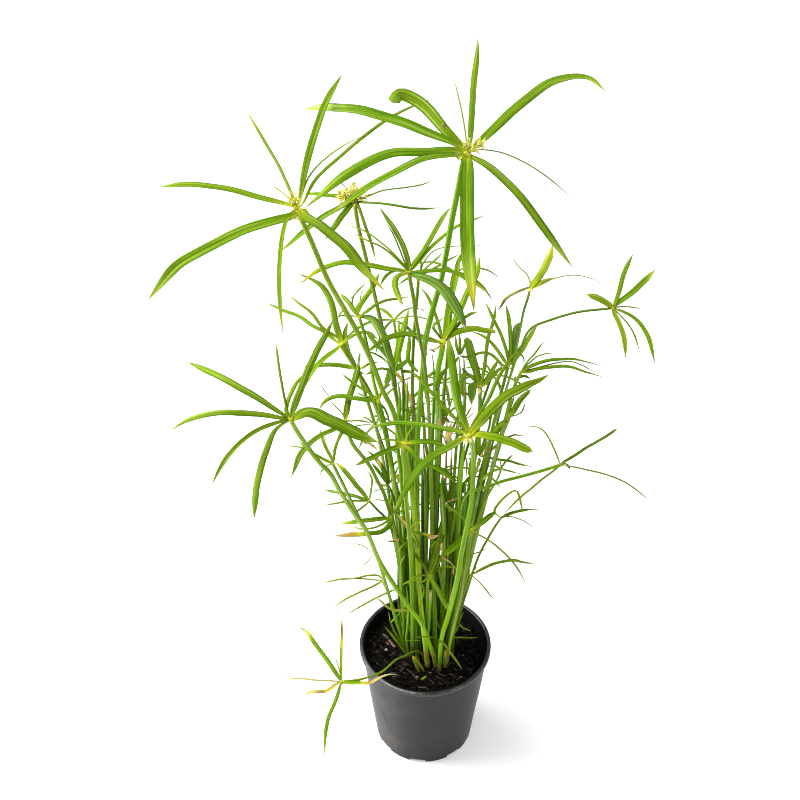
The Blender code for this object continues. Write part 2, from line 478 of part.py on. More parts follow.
def culm_line(sh):
    """The culm's middle line from the soil to the hub."""
    foot = np.array((sh["xy"][0], sh["xy"][1], SOIL_Z + 0.0003))
    if "xyz" in sh:
        hub = np.array(sh["xyz"])
        lift = foot + np.array((0.10, 0.10, 0.42)) * (hub - foot)
        bow = foot + np.array((0.46, 0.46, 0.76)) * (hub - foot)
        return catmull([foot, lift, bow, hub], 12)
    fu, fv = project(foot)
    way = [(q[0], q[1], q[2] if len(q) > 2 else None) for q in sh["way"]]
    line = [(sh["hub"][0], sh["hub"][1], sh["y"])] + way + [(fu, fv, foot[1])]
    uv = np.array([(q[0], q[1]) for q in line], float)
    s = np.concatenate(([0.0], np.cumsum(np.linalg.norm(np.diff(uv, axis=0), axis=1))))
    t = 1.0 - s / s[-1]
    pts = []
    for (u, v, y), k in zip(line, t):
        if y is None:
            y = foot[1] + (sh["y"] - foot[1]) * k ** 1.15
        pts.append(at_depth(u, v, y))
    pts[-1] = foot
    return catmull(pts[::-1], 8)


def spread_feet(shoots):
    """Keeps the culms' feet apart on the soil."""
    xy = np.array([sh["xy"] for sh in shoots])
    r = np.array([sh["r1"] for sh in shoots])
    room = (CLUMP_R[0] + 0.0015, CLUMP_R[1] + 0.0025)
    for _ in range(500):
        push = np.zeros_like(xy)
        for i in range(len(xy)):
            d = xy - xy[i]
            dist = np.linalg.norm(d, axis=1)
            need = r + r[i] + 0.0012
            for j in np.nonzero((dist < need) & (np.arange(len(xy)) != i))[0]:
                away = d[j] / max(dist[j], 1e-6)
                push[j] += away * (need[j] - dist[j]) * 0.5
        xy += push * 0.7
        # the tuft is tight: a foot pushed out of it goes back to its edge
        k = np.hypot((xy[:, 0] - CLUMP[0]) / room[0], (xy[:, 1] - CLUMP[1]) / room[1])
        back = CLUMP + (xy - CLUMP) / np.maximum(k, 1.0)[:, None]
        if np.abs(push).max() < 1e-6 and np.abs(back - xy).max() < 1e-6:
            break
        xy = back
    for sh, q in zip(shoots, xy):
        sh["xy"] = (float(q[0]), float(q[1]))


def spread_culms(shoots, lines, rounds=200):
    """Moves culms that touch apart along their sight lines, smoothly."""
    m = lines[0].shape[0]
    k = len(lines)
    base = np.array(lines)
    rays = base - np.array(EYE)
    rays /= np.linalg.norm(rays, axis=2, keepdims=True)
    t = np.linspace(0.0, 1.0, m)
    rad = np.array([sh["r1"] + (sh["r0"] - sh["r1"]) * t for sh in shoots])
    step = 3
    knots = np.arange(0, m, step)
    off = np.zeros((k, len(knots)))
    full = np.zeros((k, m))
    pairs = []
    for i in range(k):
        for j in range(i + 1, k):
            d = base[j][None, :, :] - base[i][:, None, :]
            dist = np.linalg.norm(d, axis=2)
            if dist.min() > 0.020:
                continue
            # which one passes in front where the two cross in the view
            deep = np.sum(d * rays[i][:, None, :], axis=2)
            flat = np.sqrt(np.maximum(dist ** 2 - deep ** 2, 0.0))
            flat[:4, :4] += 0.05
            a, b = np.unravel_index(np.argmin(flat), flat.shape)
            lead = deep[a, b]
            if abs(lead) < 0.0015:
                lead = shoots[j]["rank"] - shoots[i]["rank"]
            pairs.append((i, j, 1.0 if lead >= 0 else -1.0))
    for _ in range(rounds):
        pos = base + rays * full[:, :, None]
        push = np.zeros((k, m))
        hits = 0
        for i, j, sign in pairs:
            d = pos[j][None, :, :] - pos[i][:, None, :]
            deep = np.einsum("abc,ac->ab", d, rays[i]) * sign
            sq = np.einsum("abc,abc->ab", d, d) - deep ** 2
            need = (rad[i][:, None] + rad[j][None, :] + 0.0021) ** 2
            near = (sq < need) & (deep > -0.015)
            if not near.any():
                continue
            short = np.where(near, np.sqrt(np.maximum(need - sq, 0.0)) - deep, 0.0)
            short[:3, :3] = 0.0
            if short.max() < 1e-4:
                continue
            hits += 1
            push[i] -= sign * 0.5 * np.maximum(short, 0.0).max(axis=1)
            push[j] += sign * 0.5 * np.maximum(short, 0.0).max(axis=0)
        p3 = push.reshape(k, len(knots), step)
        pick = np.argmax(np.abs(p3), axis=2)
        off += np.clip(np.take_along_axis(p3, pick[:, :, None], axis=2)[:, :, 0], -0.003, 0.003)
        off[:, 0] = 0.0
        off[:, 1] *= 0.6
        for _s in range(2):
            off[:, 1:-1] = 0.25 * off[:, :-2] + 0.5 * off[:, 1:-1] + 0.25 * off[:, 2:]
            off[:, -1] = 0.5 * off[:, -1] + 0.5 * off[:, -2]
        for i in range(k):
            full[i] = np.interp(np.arange(m), knots, off[i])
        if hits == 0:
            break
    spread_culms.left = hits
    return [base[i] + rays[i] * full[i][:, None] for i in range(k)]


def bract_points(hub, normal, uvs, a, b, reach):
    """Where the sight lines of a bract meet its arched surface:
    height above the whorl's plane = a r - b r^2 / reach."""
    pts = [hub]
    last = None
    for u, v in uvs:
        d = sight(u, v)
        s0 = float(np.dot(normal, hub - np.array(EYE)) / np.dot(normal, d))
        span = np.linspace(-0.34, 0.34, 171)
        s = (s0 if last is None else last) + span
        p = np.array(EYE) + s[:, None] * d
        q = p - hub
        h = q @ normal
        r = np.linalg.norm(q - h[:, None] * normal, axis=1)
        g = h - (a * r - b * r * r / reach)
        cross = np.nonzero(np.sign(g[:-1]) != np.sign(g[1:]))[0]
        if not len(cross):
            return None
        best = cross[np.argmin(np.abs(span[cross]))]
        w = g[best] / (g[best] - g[best + 1])
        last = s[best] + w * (s[best + 1] - s[best])
        pts.append(np.array(EYE) + last * d)
    return pts


def blade_frames(line):
    """Direction, side and face normal along a blade, its side kept level."""
    t = np.gradient(line, axis=0)
    t /= np.maximum(np.linalg.norm(t, axis=1, keepdims=True), 1e-12)
    side = np.cross(t, (0.0, 0.0, 1.0))
    n = np.linalg.norm(side, axis=1)
    good = np.nonzero(n > 0.12)[0]
    if not len(good):
        side[:] = (1.0, 0.0, 0.0)
    else:
        for i in range(len(side)):
            if n[i] <= 0.12:
                side[i] = side[good[np.argmin(np.abs(good - i))]]
    for i in range(1, len(side)):
        if np.dot(side[i], side[i - 1]) < 0:
            side[i] = -side[i]
    side -= np.sum(side * t, axis=1, keepdims=True) * t
    side /= np.maximum(np.linalg.norm(side, axis=1, keepdims=True), 1e-12)
    return t, side, np.cross(side, t)


def blade_width(x):
    """Share of a bract's full width at x, from its foot (0) to its tip (1)."""
    x = np.asarray(x, float)
    rise = 0.42 + 0.58 * np.clip(x / 0.22, 0.0, 1.0) ** 0.8
    fall = np.clip((1.0 - x) / 0.62, 0.0, 1.0) ** 0.72
    return rise * fall


def plan():
    """Places every culm and bract. Same result each time."""
    shoots = []
    for i, sh in enumerate(SHOOTS):
        sh = dict(sh)
        hub = at_depth(sh["hub"][0], sh["hub"][1], sh["y"])
        sh["hub3"] = hub
        sh["r0"] = 0.5 * sh["w"][0] * scale_at(hub)
        sh["r1"] = 0.5 * sh["w"][1] * 0.00125
        if sh["foot"]:
            f = at_height(sh["foot"][0], sh["foot"][1], SOIL_Z)
            sh["xy"] = (float(f[0]), float(f[1]))
        shoots.append(sh)
    for name, xyz, count, length, turn, width in HIDDEN:
        shoots.append(dict(name=name, xyz=xyz, hub3=np.array(xyz), r0=0.0015, r1=0.0019,
                           tone="d", y=xyz[1], bracts=(), count=count, length=length,
                           turn=turn, width=width, foot=None, w=(3, 3)))
    for sh in shoots:
        if "xy" not in sh:
            out = np.array(sh["hub3"][:2]) - np.array(CLUMP)
            q = out * 0.26
            k = math.hypot(q[0] / CLUMP_R[0], q[1] / CLUMP_R[1])
            if k > 1.0:
                q /= k
            sh["xy"] = (CLUMP[0] + float(q[0]), CLUMP[1] + float(q[1]))
        sh["rank"] = sh["y"]
    spread_feet(shoots)
    lines = [resample(culm_line(sh), 90) for sh in shoots]
    lines = spread_culms(shoots, lines)
    placed = []          # (point, radius, shoot) of everything that stands in the way
    for i, (sh, line) in enumerate(zip(shoots, lines)):
        sh["line"] = line
        sh["hub3"] = line[-1].copy()
        dense = resample(line, max(8, int(arc_lengths(line)[-1] / 0.004)))
        for k, p in enumerate(dense):
            x = k / (len(dense) - 1)
            placed.append((p, sh["r1"] + (sh["r0"] - sh["r1"]) * x, i))
    for i, sh in enumerate(shoots):
        tip_way = sh["line"][-1] - sh["line"][-7]
        tip_way /= np.linalg.norm(tip_way)
        normal = 0.45 * tip_way + 0.75 * np.array((0.0, 0.0, 1.0)) + np.array((0.0, -0.10, 0.0))
        normal /= np.linalg.norm(normal)
        sh["normal"] = normal
        hub = sh["hub3"]
        leaves = []
        if sh["bracts"]:
            mpp = scale_at(hub)
            lens = []
            for w, tone, tip, uvs in sh["bracts"]:
                q = np.array([project(hub)] + [tuple(c) for c in uvs])
                lens.append(float(np.sum(np.linalg.norm(np.diff(q, axis=0), axis=1))) * mpp)
            reach = max(lens)
            for (w, tone, tip, uvs), flat in zip(sh["bracts"], lens):
                options = []
                for a in np.arange(-1.1, 1.61, 0.09):
                    for b in (0.45, 0.2, 0.75):
                        pts = bract_points(hub, normal, uvs, a, b, max(flat, 0.4 * reach))
                        if pts is None:
                            continue
                        length = arc_lengths(np.array(pts))[-1]
                        cost = (a - 0.35) ** 2 + 0.6 * (b - 0.45) ** 2
                        cost += 6.0 * max(0.0, length / (1.12 * reach) - 1.0) ** 2
                        cost += 0.35 * (length / flat - 1.0) ** 2
                        low = min(p[2] for p in pts)
                        if low < 0.020:
                            cost += 5.0
                        options.append((cost, pts, length))
                options.sort(key=lambda o: o[0])
                leaves.append(dict(w=w, tone=tone, tip=tip, options=options))
        else:
            rnd = random.Random(int(sh["name"]) * 7919)
            for k in range(sh["count"]):
                ang = sh["turn"] + 2 * math.pi * (k + rnd.uniform(-0.22, 0.22)) / sh["count"]
                length = sh["length"] * rnd.uniform(0.72, 1.08)
                options = []
                for a in (0.45, 0.30, 0.60, 0.15, 0.75, 0.0, 0.9, -0.15):
                    for da in (0.0, 0.12, -0.12, 0.24, -0.24):
                        ex = np.array((math.cos(ang + da), math.sin(ang + da), 0.0))
                        ex -= normal * np.dot(ex, normal)
                        ex /= np.linalg.norm(ex)
                        pts = []
                        for x in np.linspace(0.0, 0.9, 7):
                            r = x * length
                            pts.append(hub + ex * r + normal * (a * r - 0.75 * r * r / length))
                        options.append((abs(a - 0.45) + abs(da), pts, length))
                options.sort(key=lambda o: o[0])
                leaves.append(dict(w=None, width=sh["width"] * rnd.uniform(0.75, 1.1),
                                   tone=rnd.choice("dgd"), tip="n", options=options))
        sh["leaves"] = leaves
    # Widest bracts choose their place first.
    order = []
    for i, sh in enumerate(shoots):
        for k, leaf in enumerate(sh["leaves"]):
            if leaf["w"] is not None:
                mid = leaf["options"][0][1][len(leaf["options"][0][1]) // 2]
                leaf["width"] = leaf["w"] * scale_at(mid) / 0.93
            order.append((-leaf["width"], i, k))
    order.sort()
    tree = mathutils.kdtree.KDTree(len(placed) + 60000)
    stock = list(placed)
    grown = 0
    for n, (p, r, i) in enumerate(stock):
        tree.insert(p, n)
    tree.balance()
    extra = []           # bracts placed since the tree was balanced
    since = 0
    for _, i, k in order:
        sh = shoots[i]
        leaf = sh["leaves"][k]
        hub = sh["hub3"]
        chosen = None
        best_gap = None
        for rank, (cost, pts, length) in enumerate(leaf["options"][:70]):
            line = catmull(pts, 6)
            n = max(6, int(length / 0.0045))
            line = resample(line, n)
            _t, side, face = blade_frames(line)
            x = np.linspace(0.0, 1.0, n)
            half = 0.5 * leaf["width"] * blade_width(x)
            gap = 1.0
            samples = []
            for c in (-0.85, 0.0, 0.85):
                pp = line + side * (half * c)[:, None]
                rr = half * 0.42 + 0.0007
                for q in range(n):
                    samples.append((pp[q], rr[q]))
            far = [s for s in samples if np.linalg.norm(s[0] - hub) > 0.0075]
            for p, r in far:
                for co, idx, dist in tree.find_range(p, r + 0.0066):
                    _p, r2, owner = stock[idx]
                    if owner == i and (_p is not None) and stock[idx][1] < 0 :
                        continue
                    if owner == i and idx >= len(placed):
                        continue
                    gap = min(gap, dist - r - r2)
                if gap < 0.0004:
                    break
            if gap >= 0.0004:
                for p, r in far:
                    for q, r2, owner in extra:
                        if owner == i:
                            continue
                        d = math.dist(p, q)
                        if d - r - r2 < gap:
                            gap = d - r - r2
                    if gap < 0.0004:
                        break
            if best_gap is None or gap > best_gap[0]:
                best_gap = (gap, line, samples)
            if gap >= 0.0004:
                chosen = (line, samples)
                break
        leaf["clear"] = chosen is not None
        if chosen is None:
            chosen = best_gap[1:]
        leaf["line"], samples = chosen
        leaf["length"] = float(arc_lengths(leaf["line"])[-1])
        del leaf["options"]
        if leaf["clear"]:
            extra += [(tuple(map(float, p)), r, i) for p, r in samples]
            since += 1
        if since >= 6:
            stock += [(np.array(p), r, o) for p, r, o in extra]
            extra = []
            since = 0
            tree = mathutils.kdtree.KDTree(len(stock))
            for n2, (p, r, o) in enumerate(stock):
                tree.insert(p, n2)
            tree.balance()
    return shoots
# ---------------------------------------------------------------------------
# Solids
# ---------------------------------------------------------------------------
# Large shoots are two nodes, split where the umbel forks from the culm; the
# small ones are one.
SPLIT = ("01", "02", "03", "04", "06", "07", "08", "09", "10", "11", "13", "14", "15", "28",
         "22", "25", "34")

for old in list(bpy.data.objects):
    bpy.data.objects.remove(old, do_unlink=True)

PART = bpy.data.collections.new("potted_papyrus")
CUTTERS = bpy.data.collections.new("cutters")
bpy.context.scene.collection.children.link(PART)
bpy.context.scene.collection.children.link(CUTTERS)

TONES = {
    "g": (0.115, 0.250, 0.020), "b": (0.230, 0.400, 0.025), "d": (0.045, 0.130, 0.018),
    "y": (0.120, 0.215, 0.060), "o": (0.190, 0.220, 0.030), "t": (0.420, 0.300, 0.110),
}


def material(name, colour, rough, metal=0.0):
    m = bpy.data.materials.new(name)
    m.use_nodes = True
    b = m.node_tree.nodes["Principled BSDF"]
    b.inputs["Base Color"].default_value = (*colour, 1.0)
    b.inputs["Roughness"].default_value = rough
    b.inputs["Metallic"].default_value = metal
    m.diffuse_color = (*colour, 1.0)
    return m


def add(name, mesh, colour, rough):
    ob = bpy.data.objects.new(name, mesh)
    mesh.materials.clear()
    mesh.materials.append(material(name, colour, rough))
    PART.objects.link(ob)
    return ob


def turned(name, profile, steps):
    """A profile in the XZ plane, run down its outer side, turned about Z."""
    mesh = bpy.data.meshes.new(name)
    bm = bmesh.new()
    vs = [bm.verts.new((x, 0.0, z)) for x, z in profile]
    for a, b in zip(vs, vs[1:]):
        bm.edges.new((a, b))
    bm.to_mesh(mesh)
    bm.free()
    ob = bpy.data.objects.new(name, mesh)
    PART.objects.link(ob)
    s = ob.modifiers.new("turn", "SCREW")
    s.axis = "Z"
    s.angle = 2 * math.pi
    s.steps = steps
    s.render_steps = steps
    s.use_merge_vertices = True
    s.merge_threshold = 0.0001
    s.use_smooth_shade = True
    return ob


def baked(ob):
    """The evaluated mesh of an object, welded."""
    dg = bpy.context.evaluated_depsgraph_get()
    dg.update()
    mesh = bpy.data.meshes.new_from_object(ob.evaluated_get(dg))
    bm = bmesh.new()
    bm.from_mesh(mesh)
    bmesh.ops.remove_doubles(bm, verts=bm.verts, dist=2e-6)
    bm.to_mesh(mesh)
    bm.free()
    return mesh


def simplify(line, tol):
    """Fewest points of the line that stay within tol of it."""
    keep = [0, len(line) - 1]
    stack = [(0, len(line) - 1)]
    while stack:
        i, j = stack.pop()
        if j - i < 2:
            continue
        d = line[j] - line[i]
        d = d / max(np.linalg.norm(d), 1e-9)
        q = line[i + 1:j] - line[i]
        far = np.linalg.norm(q - (q @ d)[:, None] * d, axis=1)
        k = int(np.argmax(far))
        if far[k] > tol:
            keep.append(i + 1 + k)
            stack += [(i, i + 1 + k), (i + 1 + k, j)]
    return sorted(keep)


def culm_mesh(sh, stop):
    """A tapered round culm as a bevelled curve, from the soil to the hub."""
    line = sh["line"]
    s = arc_lengths(line)
    dense = resample(line, 90)
    sd = arc_lengths(dense)
    inside = dense[(sd > 0.012) & (sd < s[-1] - max(stop, 0.0) - 0.004)]
    foot = line[0]
    end = np.array([np.interp(s[-1] - stop, s, line[:, k]) for k in range(3)])
    pts = np.vstack([[foot], [foot + np.array((0.0, 0.0, 0.0035))], inside, [end]])
    keep = simplify(pts[1:], CULM_TOL)
    pts = np.vstack([pts[:1], pts[1:][keep]])
    run = arc_lengths(pts)
    cu = bpy.data.curves.new("culm", "CURVE")
    cu.dimensions = "3D"
    cu.bevel_depth = 1.0
    cu.bevel_resolution = 1 if sh["name"] in SPLIT else 0
    cu.use_fill_caps = True
    cu.twist_mode = "MINIMUM"
    sp = cu.splines.new("POLY")
    sp.points.add(len(pts) - 1)
    for p, q, k in zip(sp.points, pts, run / run[-1]):
        p.co = (*q, 1.0)
        p.radius = sh["r1"] + (sh["r0"] - sh["r1"]) * k
    ob = bpy.data.objects.new("culm", cu)
    PART.objects.link(ob)
    mesh = baked(ob)
    bpy.data.objects.remove(ob, do_unlink=True)
    bpy.data.curves.remove(cu)
    return mesh


def bract_mesh(leaf, hub, crown):
    """A keeled blade: a loft of three-sided sections that change as they go."""
    line = leaf["line"]
    s = arc_lengths(line)
    x = s / s[-1]
    _t, side, face = blade_frames(line)
    half = 0.5 * leaf["width"] * blade_width(x)
    bm = bmesh.new()
    rings = []
    stops = (0.0, 0.40, 1.0) if s[-1] < 0.075 else (
        (0.0, 0.28, 0.64, 1.0) if s[-1] < 0.145 else (0.0, 0.20, 0.48, 0.75, 1.0))
    keep = [int(round(q * (len(line) - 1))) for q in stops]
    for k in keep:
        w = max(float(half[k]), 0.00022)
        c = line[k]
        if k == 0:
            c = hub + (line[1] - line[0]) / np.linalg.norm(line[1] - line[0]) * 0.30 * crown
            w = min(w, 0.45 * crown)
        deep = 0.00035 + 0.16 * w
        rings.append([bm.verts.new(c + side[k] * w + face[k] * 0.10 * w),
                      bm.verts.new(c - side[k] * w + face[k] * 0.10 * w),
                      bm.verts.new(c - face[k] * deep)])
    for a, b in zip(rings, rings[1:]):
        for i in range(3):
            j = (i + 1) % 3
            bm.faces.new((a[i], a[j], b[j], b[i]))
    bm.faces.new(tuple(reversed(rings[0])))
    bm.faces.new(tuple(rings[-1]))
    bmesh.ops.triangulate(bm, faces=bm.faces)
    bmesh.ops.recalc_face_normals(bm, faces=bm.faces)
    mesh = bpy.data.meshes.new("bract")
    bm.to_mesh(mesh)
    bm.free()
    return mesh


def crown_mesh(hub, r, turn=0.0):
    mesh = bpy.data.meshes.new("crown")
    bm = bmesh.new()
    bmesh.ops.create_uvsphere(bm, u_segments=5, v_segments=2, radius=r,
                              matrix=mathutils.Matrix.Translation(mathutils.Vector(hub))
                              @ mathutils.Matrix.Rotation(turn, 4, "Z"))
    bm.to_mesh(mesh)
    bm.free()
    return mesh


def is_whole(mesh):
    """One closed body, facing out."""
    bm = bmesh.new()
    bm.from_mesh(mesh)
    ok = all(len(e.link_faces) == 2 for e in bm.edges) and bm.calc_volume(signed=True) > 0
    seen = set()
    stack = [bm.verts[:][0]]
    while stack:
        v = stack.pop()
        if v.index in seen:
            continue
        seen.add(v.index)
        stack += [e.other_vert(v) for e in v.link_edges]
    ok = ok and len(seen) == len(bm.verts)
    bm.free()
    return ok


def united(name, meshes):
    first = bpy.data.objects.new(name, meshes[0].copy())
    PART.objects.link(first)
    group = bpy.data.collections.new(name + "_pieces")
    CUTTERS.children.link(group)
    others = []
    for m in meshes[1:]:
        ob = bpy.data.objects.new(name + "_piece", m)
        group.objects.link(ob)
        others.append(ob)
    mod = first.modifiers.new("grown", "BOOLEAN")
    mod.operation = "UNION"
    mod.operand_type = "COLLECTION"
    mod.collection = group
    mod.solver = "EXACT"
    mesh = baked(first)
    for ob in [first] + others:
        bpy.data.objects.remove(ob, do_unlink=True)
    bpy.data.collections.remove(group)
    bm = bmesh.new()
    bm.from_mesh(mesh)
    bmesh.ops.triangulate(bm, faces=bm.faces)
    bm.to_mesh(mesh)
    bm.free()
    return mesh


def grown_together(name, hub, crown, meshes, colour):
    """One closed solid out of pieces that grow out of one crown.  A blade that
    folds through another one is left to the finish."""
    for turn in range(3):
        ball = crown_mesh(hub, crown * (1.0 + 0.01 * turn), 0.37 * turn)
        mesh = united(name, [ball] + meshes)
        if is_whole(mesh):
            break
    else:
        kept = meshes[:1]
        for blade in meshes[1:]:
            if is_whole(united(name, [ball] + kept + [blade])):
                kept.append(blade)
        mesh = united(name, [ball] + kept)
    mesh.name = name
    return add(name, mesh, colour, 0.45)


# ---- the pot: a turned shell with eight drain notches cut in its foot -------
pot = turned("pot", [
    (0.0, FLOOR),
    (BASE_R - WALL, FLOOR),
    (WALL_TOP_R - WALL, POT_H - RIM_BAND - 0.001),
    (RIM_IN_R, POT_H - 0.0040),
    (RIM_IN_R + 0.0012, POT_H),
    (RIM_R - 0.0014, POT_H),
    (RIM_R, POT_H - 0.0016),
    (RIM_R - 0.0002, POT_H - RIM_BAND),
    (WALL_TOP_R, POT_H - RIM_BAND - 0.0008),
    (BASE_R + 0.0002, 0.0032),
    (BASE_R - 0.0018, 0.0),
    (0.0, 0.0),
], 32)
pot_mesh = baked(pot)
bpy.data.objects.remove(pot, do_unlink=True)
pot = add("pot", pot_mesh, (0.060, 0.061, 0.064), 0.5)

cut_mesh = bpy.data.meshes.new("notch_cutter")
bm = bmesh.new()
for k in range(NOTCHES):
    m = (mathutils.Matrix.Rotation(NOTCH_TURN + 2 * math.pi * k / NOTCHES, 4, "Z")
         @ mathutils.Matrix.Translation((BASE_R - 0.0010, 0.0, NOTCH_H / 2 - 0.001))
         @ mathutils.Matrix.Diagonal((0.0090, NOTCH_W, NOTCH_H + 0.002, 1.0)))
    bmesh.ops.create_cube(bm, size=1.0, matrix=m)
bm.to_mesh(cut_mesh)
bm.free()
cutter = bpy.data.objects.new("notch_cutter", cut_mesh)
cutter.hide_render = True
cutter.display_type = "WIRE"
CUTTERS.objects.link(cutter)
mod = pot.modifiers.new("notches", "BOOLEAN")
mod.operation = "DIFFERENCE"
mod.object = cutter
mod.solver = "EXACT"

# ---- the soil: fills the pot to about 20 mm below the rim -------------------
FLAT = math.cos(math.pi / 32)       # the inside of the wall is a 32-sided turning


def inner_r(z):
    a = (BASE_R - WALL, FLOOR)
    b = (WALL_TOP_R - WALL, POT_H - RIM_BAND - 0.001)
    return a[0] + (b[0] - a[0]) * (z - a[1]) / (b[1] - a[1])


soil = turned("soil", [
    (0.0, SOIL_Z),
    (0.055, SOIL_Z),
    (inner_r(SOIL_Z - 0.0015) * FLAT - GAP, SOIL_Z - 0.0015),
    (inner_r(0.0075) * FLAT - GAP, 0.0075),
    (BASE_R - WALL - 0.0045, FLOOR + GAP + 0.0006),
    (0.0, FLOOR + GAP + 0.0006),
], 24)
soil_mesh = baked(soil)
bpy.data.objects.remove(soil, do_unlink=True)
soil = add("soil", soil_mesh, (0.018, 0.014, 0.011), 0.95)

# ---- the plant -------------------------------------------------------------
for sh in plan():
    hub = sh["hub3"]
    crown = max(0.0023, 1.25 * sh["r0"])
    blades = [bract_mesh(leaf, hub, crown) for leaf in sh["leaves"]
              if leaf["clear"] and leaf["width"] >= SOLID_MIN_W]
    if sh["name"] in SPLIT:
        add("culm_" + sh["name"], culm_mesh(sh, crown + GAP + 0.0002), TONES[sh["tone"]], 0.4)
        grown_together("umbel_" + sh["name"], hub, crown, blades, TONES[sh["tone"]])
    else:
        grown_together("shoot_" + sh["name"], hub, crown, [culm_mesh(sh, 0.0005)] + blades,
                       TONES[sh["tone"]])
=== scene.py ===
"""Looks of the potted umbrella papyrus: ribbed culms, folded bracts, flowers,
dry sheaths, peat and the nursery pot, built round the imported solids."""
import math
import random
import bpy
import bmesh
import mathutils
import mathutils.kdtree
import numpy as np
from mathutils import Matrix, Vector, noise


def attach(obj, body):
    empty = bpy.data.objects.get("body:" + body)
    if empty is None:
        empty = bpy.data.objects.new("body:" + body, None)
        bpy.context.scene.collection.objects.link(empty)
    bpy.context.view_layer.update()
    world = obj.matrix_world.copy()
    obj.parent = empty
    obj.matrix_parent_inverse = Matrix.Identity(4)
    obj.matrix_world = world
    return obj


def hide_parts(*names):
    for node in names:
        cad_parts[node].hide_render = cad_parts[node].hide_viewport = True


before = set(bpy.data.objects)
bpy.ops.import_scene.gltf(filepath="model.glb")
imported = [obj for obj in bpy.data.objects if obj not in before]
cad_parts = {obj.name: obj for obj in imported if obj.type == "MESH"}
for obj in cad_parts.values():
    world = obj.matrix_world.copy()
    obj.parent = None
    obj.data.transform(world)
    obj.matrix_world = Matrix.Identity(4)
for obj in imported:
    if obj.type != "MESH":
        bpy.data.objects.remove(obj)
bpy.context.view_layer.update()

# ---------------------------------------------------------------------------
# Plant layout, shared by the solids and the finish.
# A culm or a bract is laid out by the sight lines it was measured along: each
# (u, v) is a place in an 800 x 800 view taken from EYE, looking along +Y and
# PITCH below the horizon, FOCAL view units long, and a depth along +Y sets how
# far down that line the point lies.
# ---------------------------------------------------------------------------
EYE = (-0.0327, -1.0794, 1.4068)
PITCH = math.radians(38.03)
FOCAL = 1250.0
SOIL_Z = 0.146           # height of the soil's surface
CLUMP = (0.003, -0.004)  # middle of the clump of culms, in X and Y
CLUMP_R = (0.031, 0.029)


def sight(u, v):
    a, b = (u - 400.0) / FOCAL, (400.0 - v) / FOCAL
    return np.array((a, math.cos(PITCH) + b * math.sin(PITCH),
                     -math.sin(PITCH) + b * math.cos(PITCH)))


def at_depth(u, v, y):
    d = sight(u, v)
    return np.array(EYE) + d * ((y - EYE[1]) / d[1])


def at_height(u, v, z):
    d = sight(u, v)
    return np.array(EYE) + d * ((z - EYE[2]) / d[2])


def scale_at(p):
    """Metres for one view unit at a point."""
    f = np.array((0.0, math.cos(PITCH), -math.sin(PITCH)))
    return float(np.dot(np.asarray(p) - np.array(EYE), f)) / FOCAL


def project(p):
    q = np.asarray(p) - np.array(EYE)
    d = q[1] * math.cos(PITCH) - q[2] * math.sin(PITCH)
    h = q[1] * math.sin(PITCH) + q[2] * math.cos(PITCH)
    return 400.0 + FOCAL * q[0] / d, 400.0 - FOCAL * h / d


# Each shoot: name, hub (u, v), depth of the hub, culm width at the hub and at
# the soil in view units, tone, the culm's way down from the hub, its foot
# (u, v on the soil, or None), and its bracts: (width, tone, tip, way out).
# Tones: g green, b bright, d dark, y grey-green, o olive, t tan.
# Tips: n plain, p pale, y yellow, o orange-brown, w withered.
SHOOTS = []


def shoot(name, hub, y, w, tone, way, foot, *bracts):
    SHOOTS.append(dict(name=name, hub=hub, y=y, w=w, tone=tone, way=way,
                       foot=foot, bracts=bracts))


shoot("01", (297, 208), -0.060, (4.6, 4.6), "y",
      [(303, 222), (313, 245), (328, 280), (345, 310), (358, 333), (371, 360), (383, 391),
       (392, 408), (399, 433), (408, 470), (414, 510), (417, 550), (420, 595), (424, 635)],
      (428, 667),
      (3, "g", "y", [(294, 200), (280, 168), (268, 147), (246, 110)]),
      (5, "g", "p", [(292, 206), (260, 197), (220, 187), (185, 184), (159, 187)]),
      (8.5, "g", "p", [(294, 215), (270, 222), (240, 232), (200, 252), (175, 268), (148, 300)]),
      (4.5, "g", "y", [(293, 211), (286, 222), (281, 245), (279, 280), (280, 305), (283, 334)]),
      (10, "g", "y", [(300, 212), (322, 226), (345, 245), (365, 270), (385, 291)]),
      (7, "b", "p", [(299, 203), (304, 175), (313, 140), (325, 105), (342, 74)]),
      (3.8, "b", "p", [(302, 205), (315, 180), (345, 152), (380, 124), (408, 108), (438, 97)]),
      (1.6, "b", "p", [(300, 200), (310, 175), (330, 155), (350, 142), (368, 134)]),
      (1.2, "y", "p", [(290, 199), (271, 184)]))

shoot("02", (354, 200), 0.100, (4, 3.6), "g",
      [(355, 205), (358, 225), (364, 250), (370, 275), (377, 305), (385, 340), (393, 380),
       (400, 420)], None,
      (4, "g", "p", [(345, 197), (330, 195), (310, 193), (303, 194)]),
      (5, "g", "p", [(346, 204), (320, 219), (300, 235), (282, 250), (275, 254)]),
      (6, "g", "n", [(350, 205), (340, 218), (333, 228), (325, 240)]),
      (2.2, "d", "p", [(358, 202), (380, 203), (400, 206), (418, 208.5), (441, 207.5)]),
      (1.5, "d", "p", [(366, 197), (380, 191), (400, 188), (420, 185), (433, 180)]),
      (3, "d", "p", [(358, 205), (365, 225), (372, 245), (376, 262)]),
      (1.4, "g", "p", [(350, 192), (341, 183), (330, 178)]))

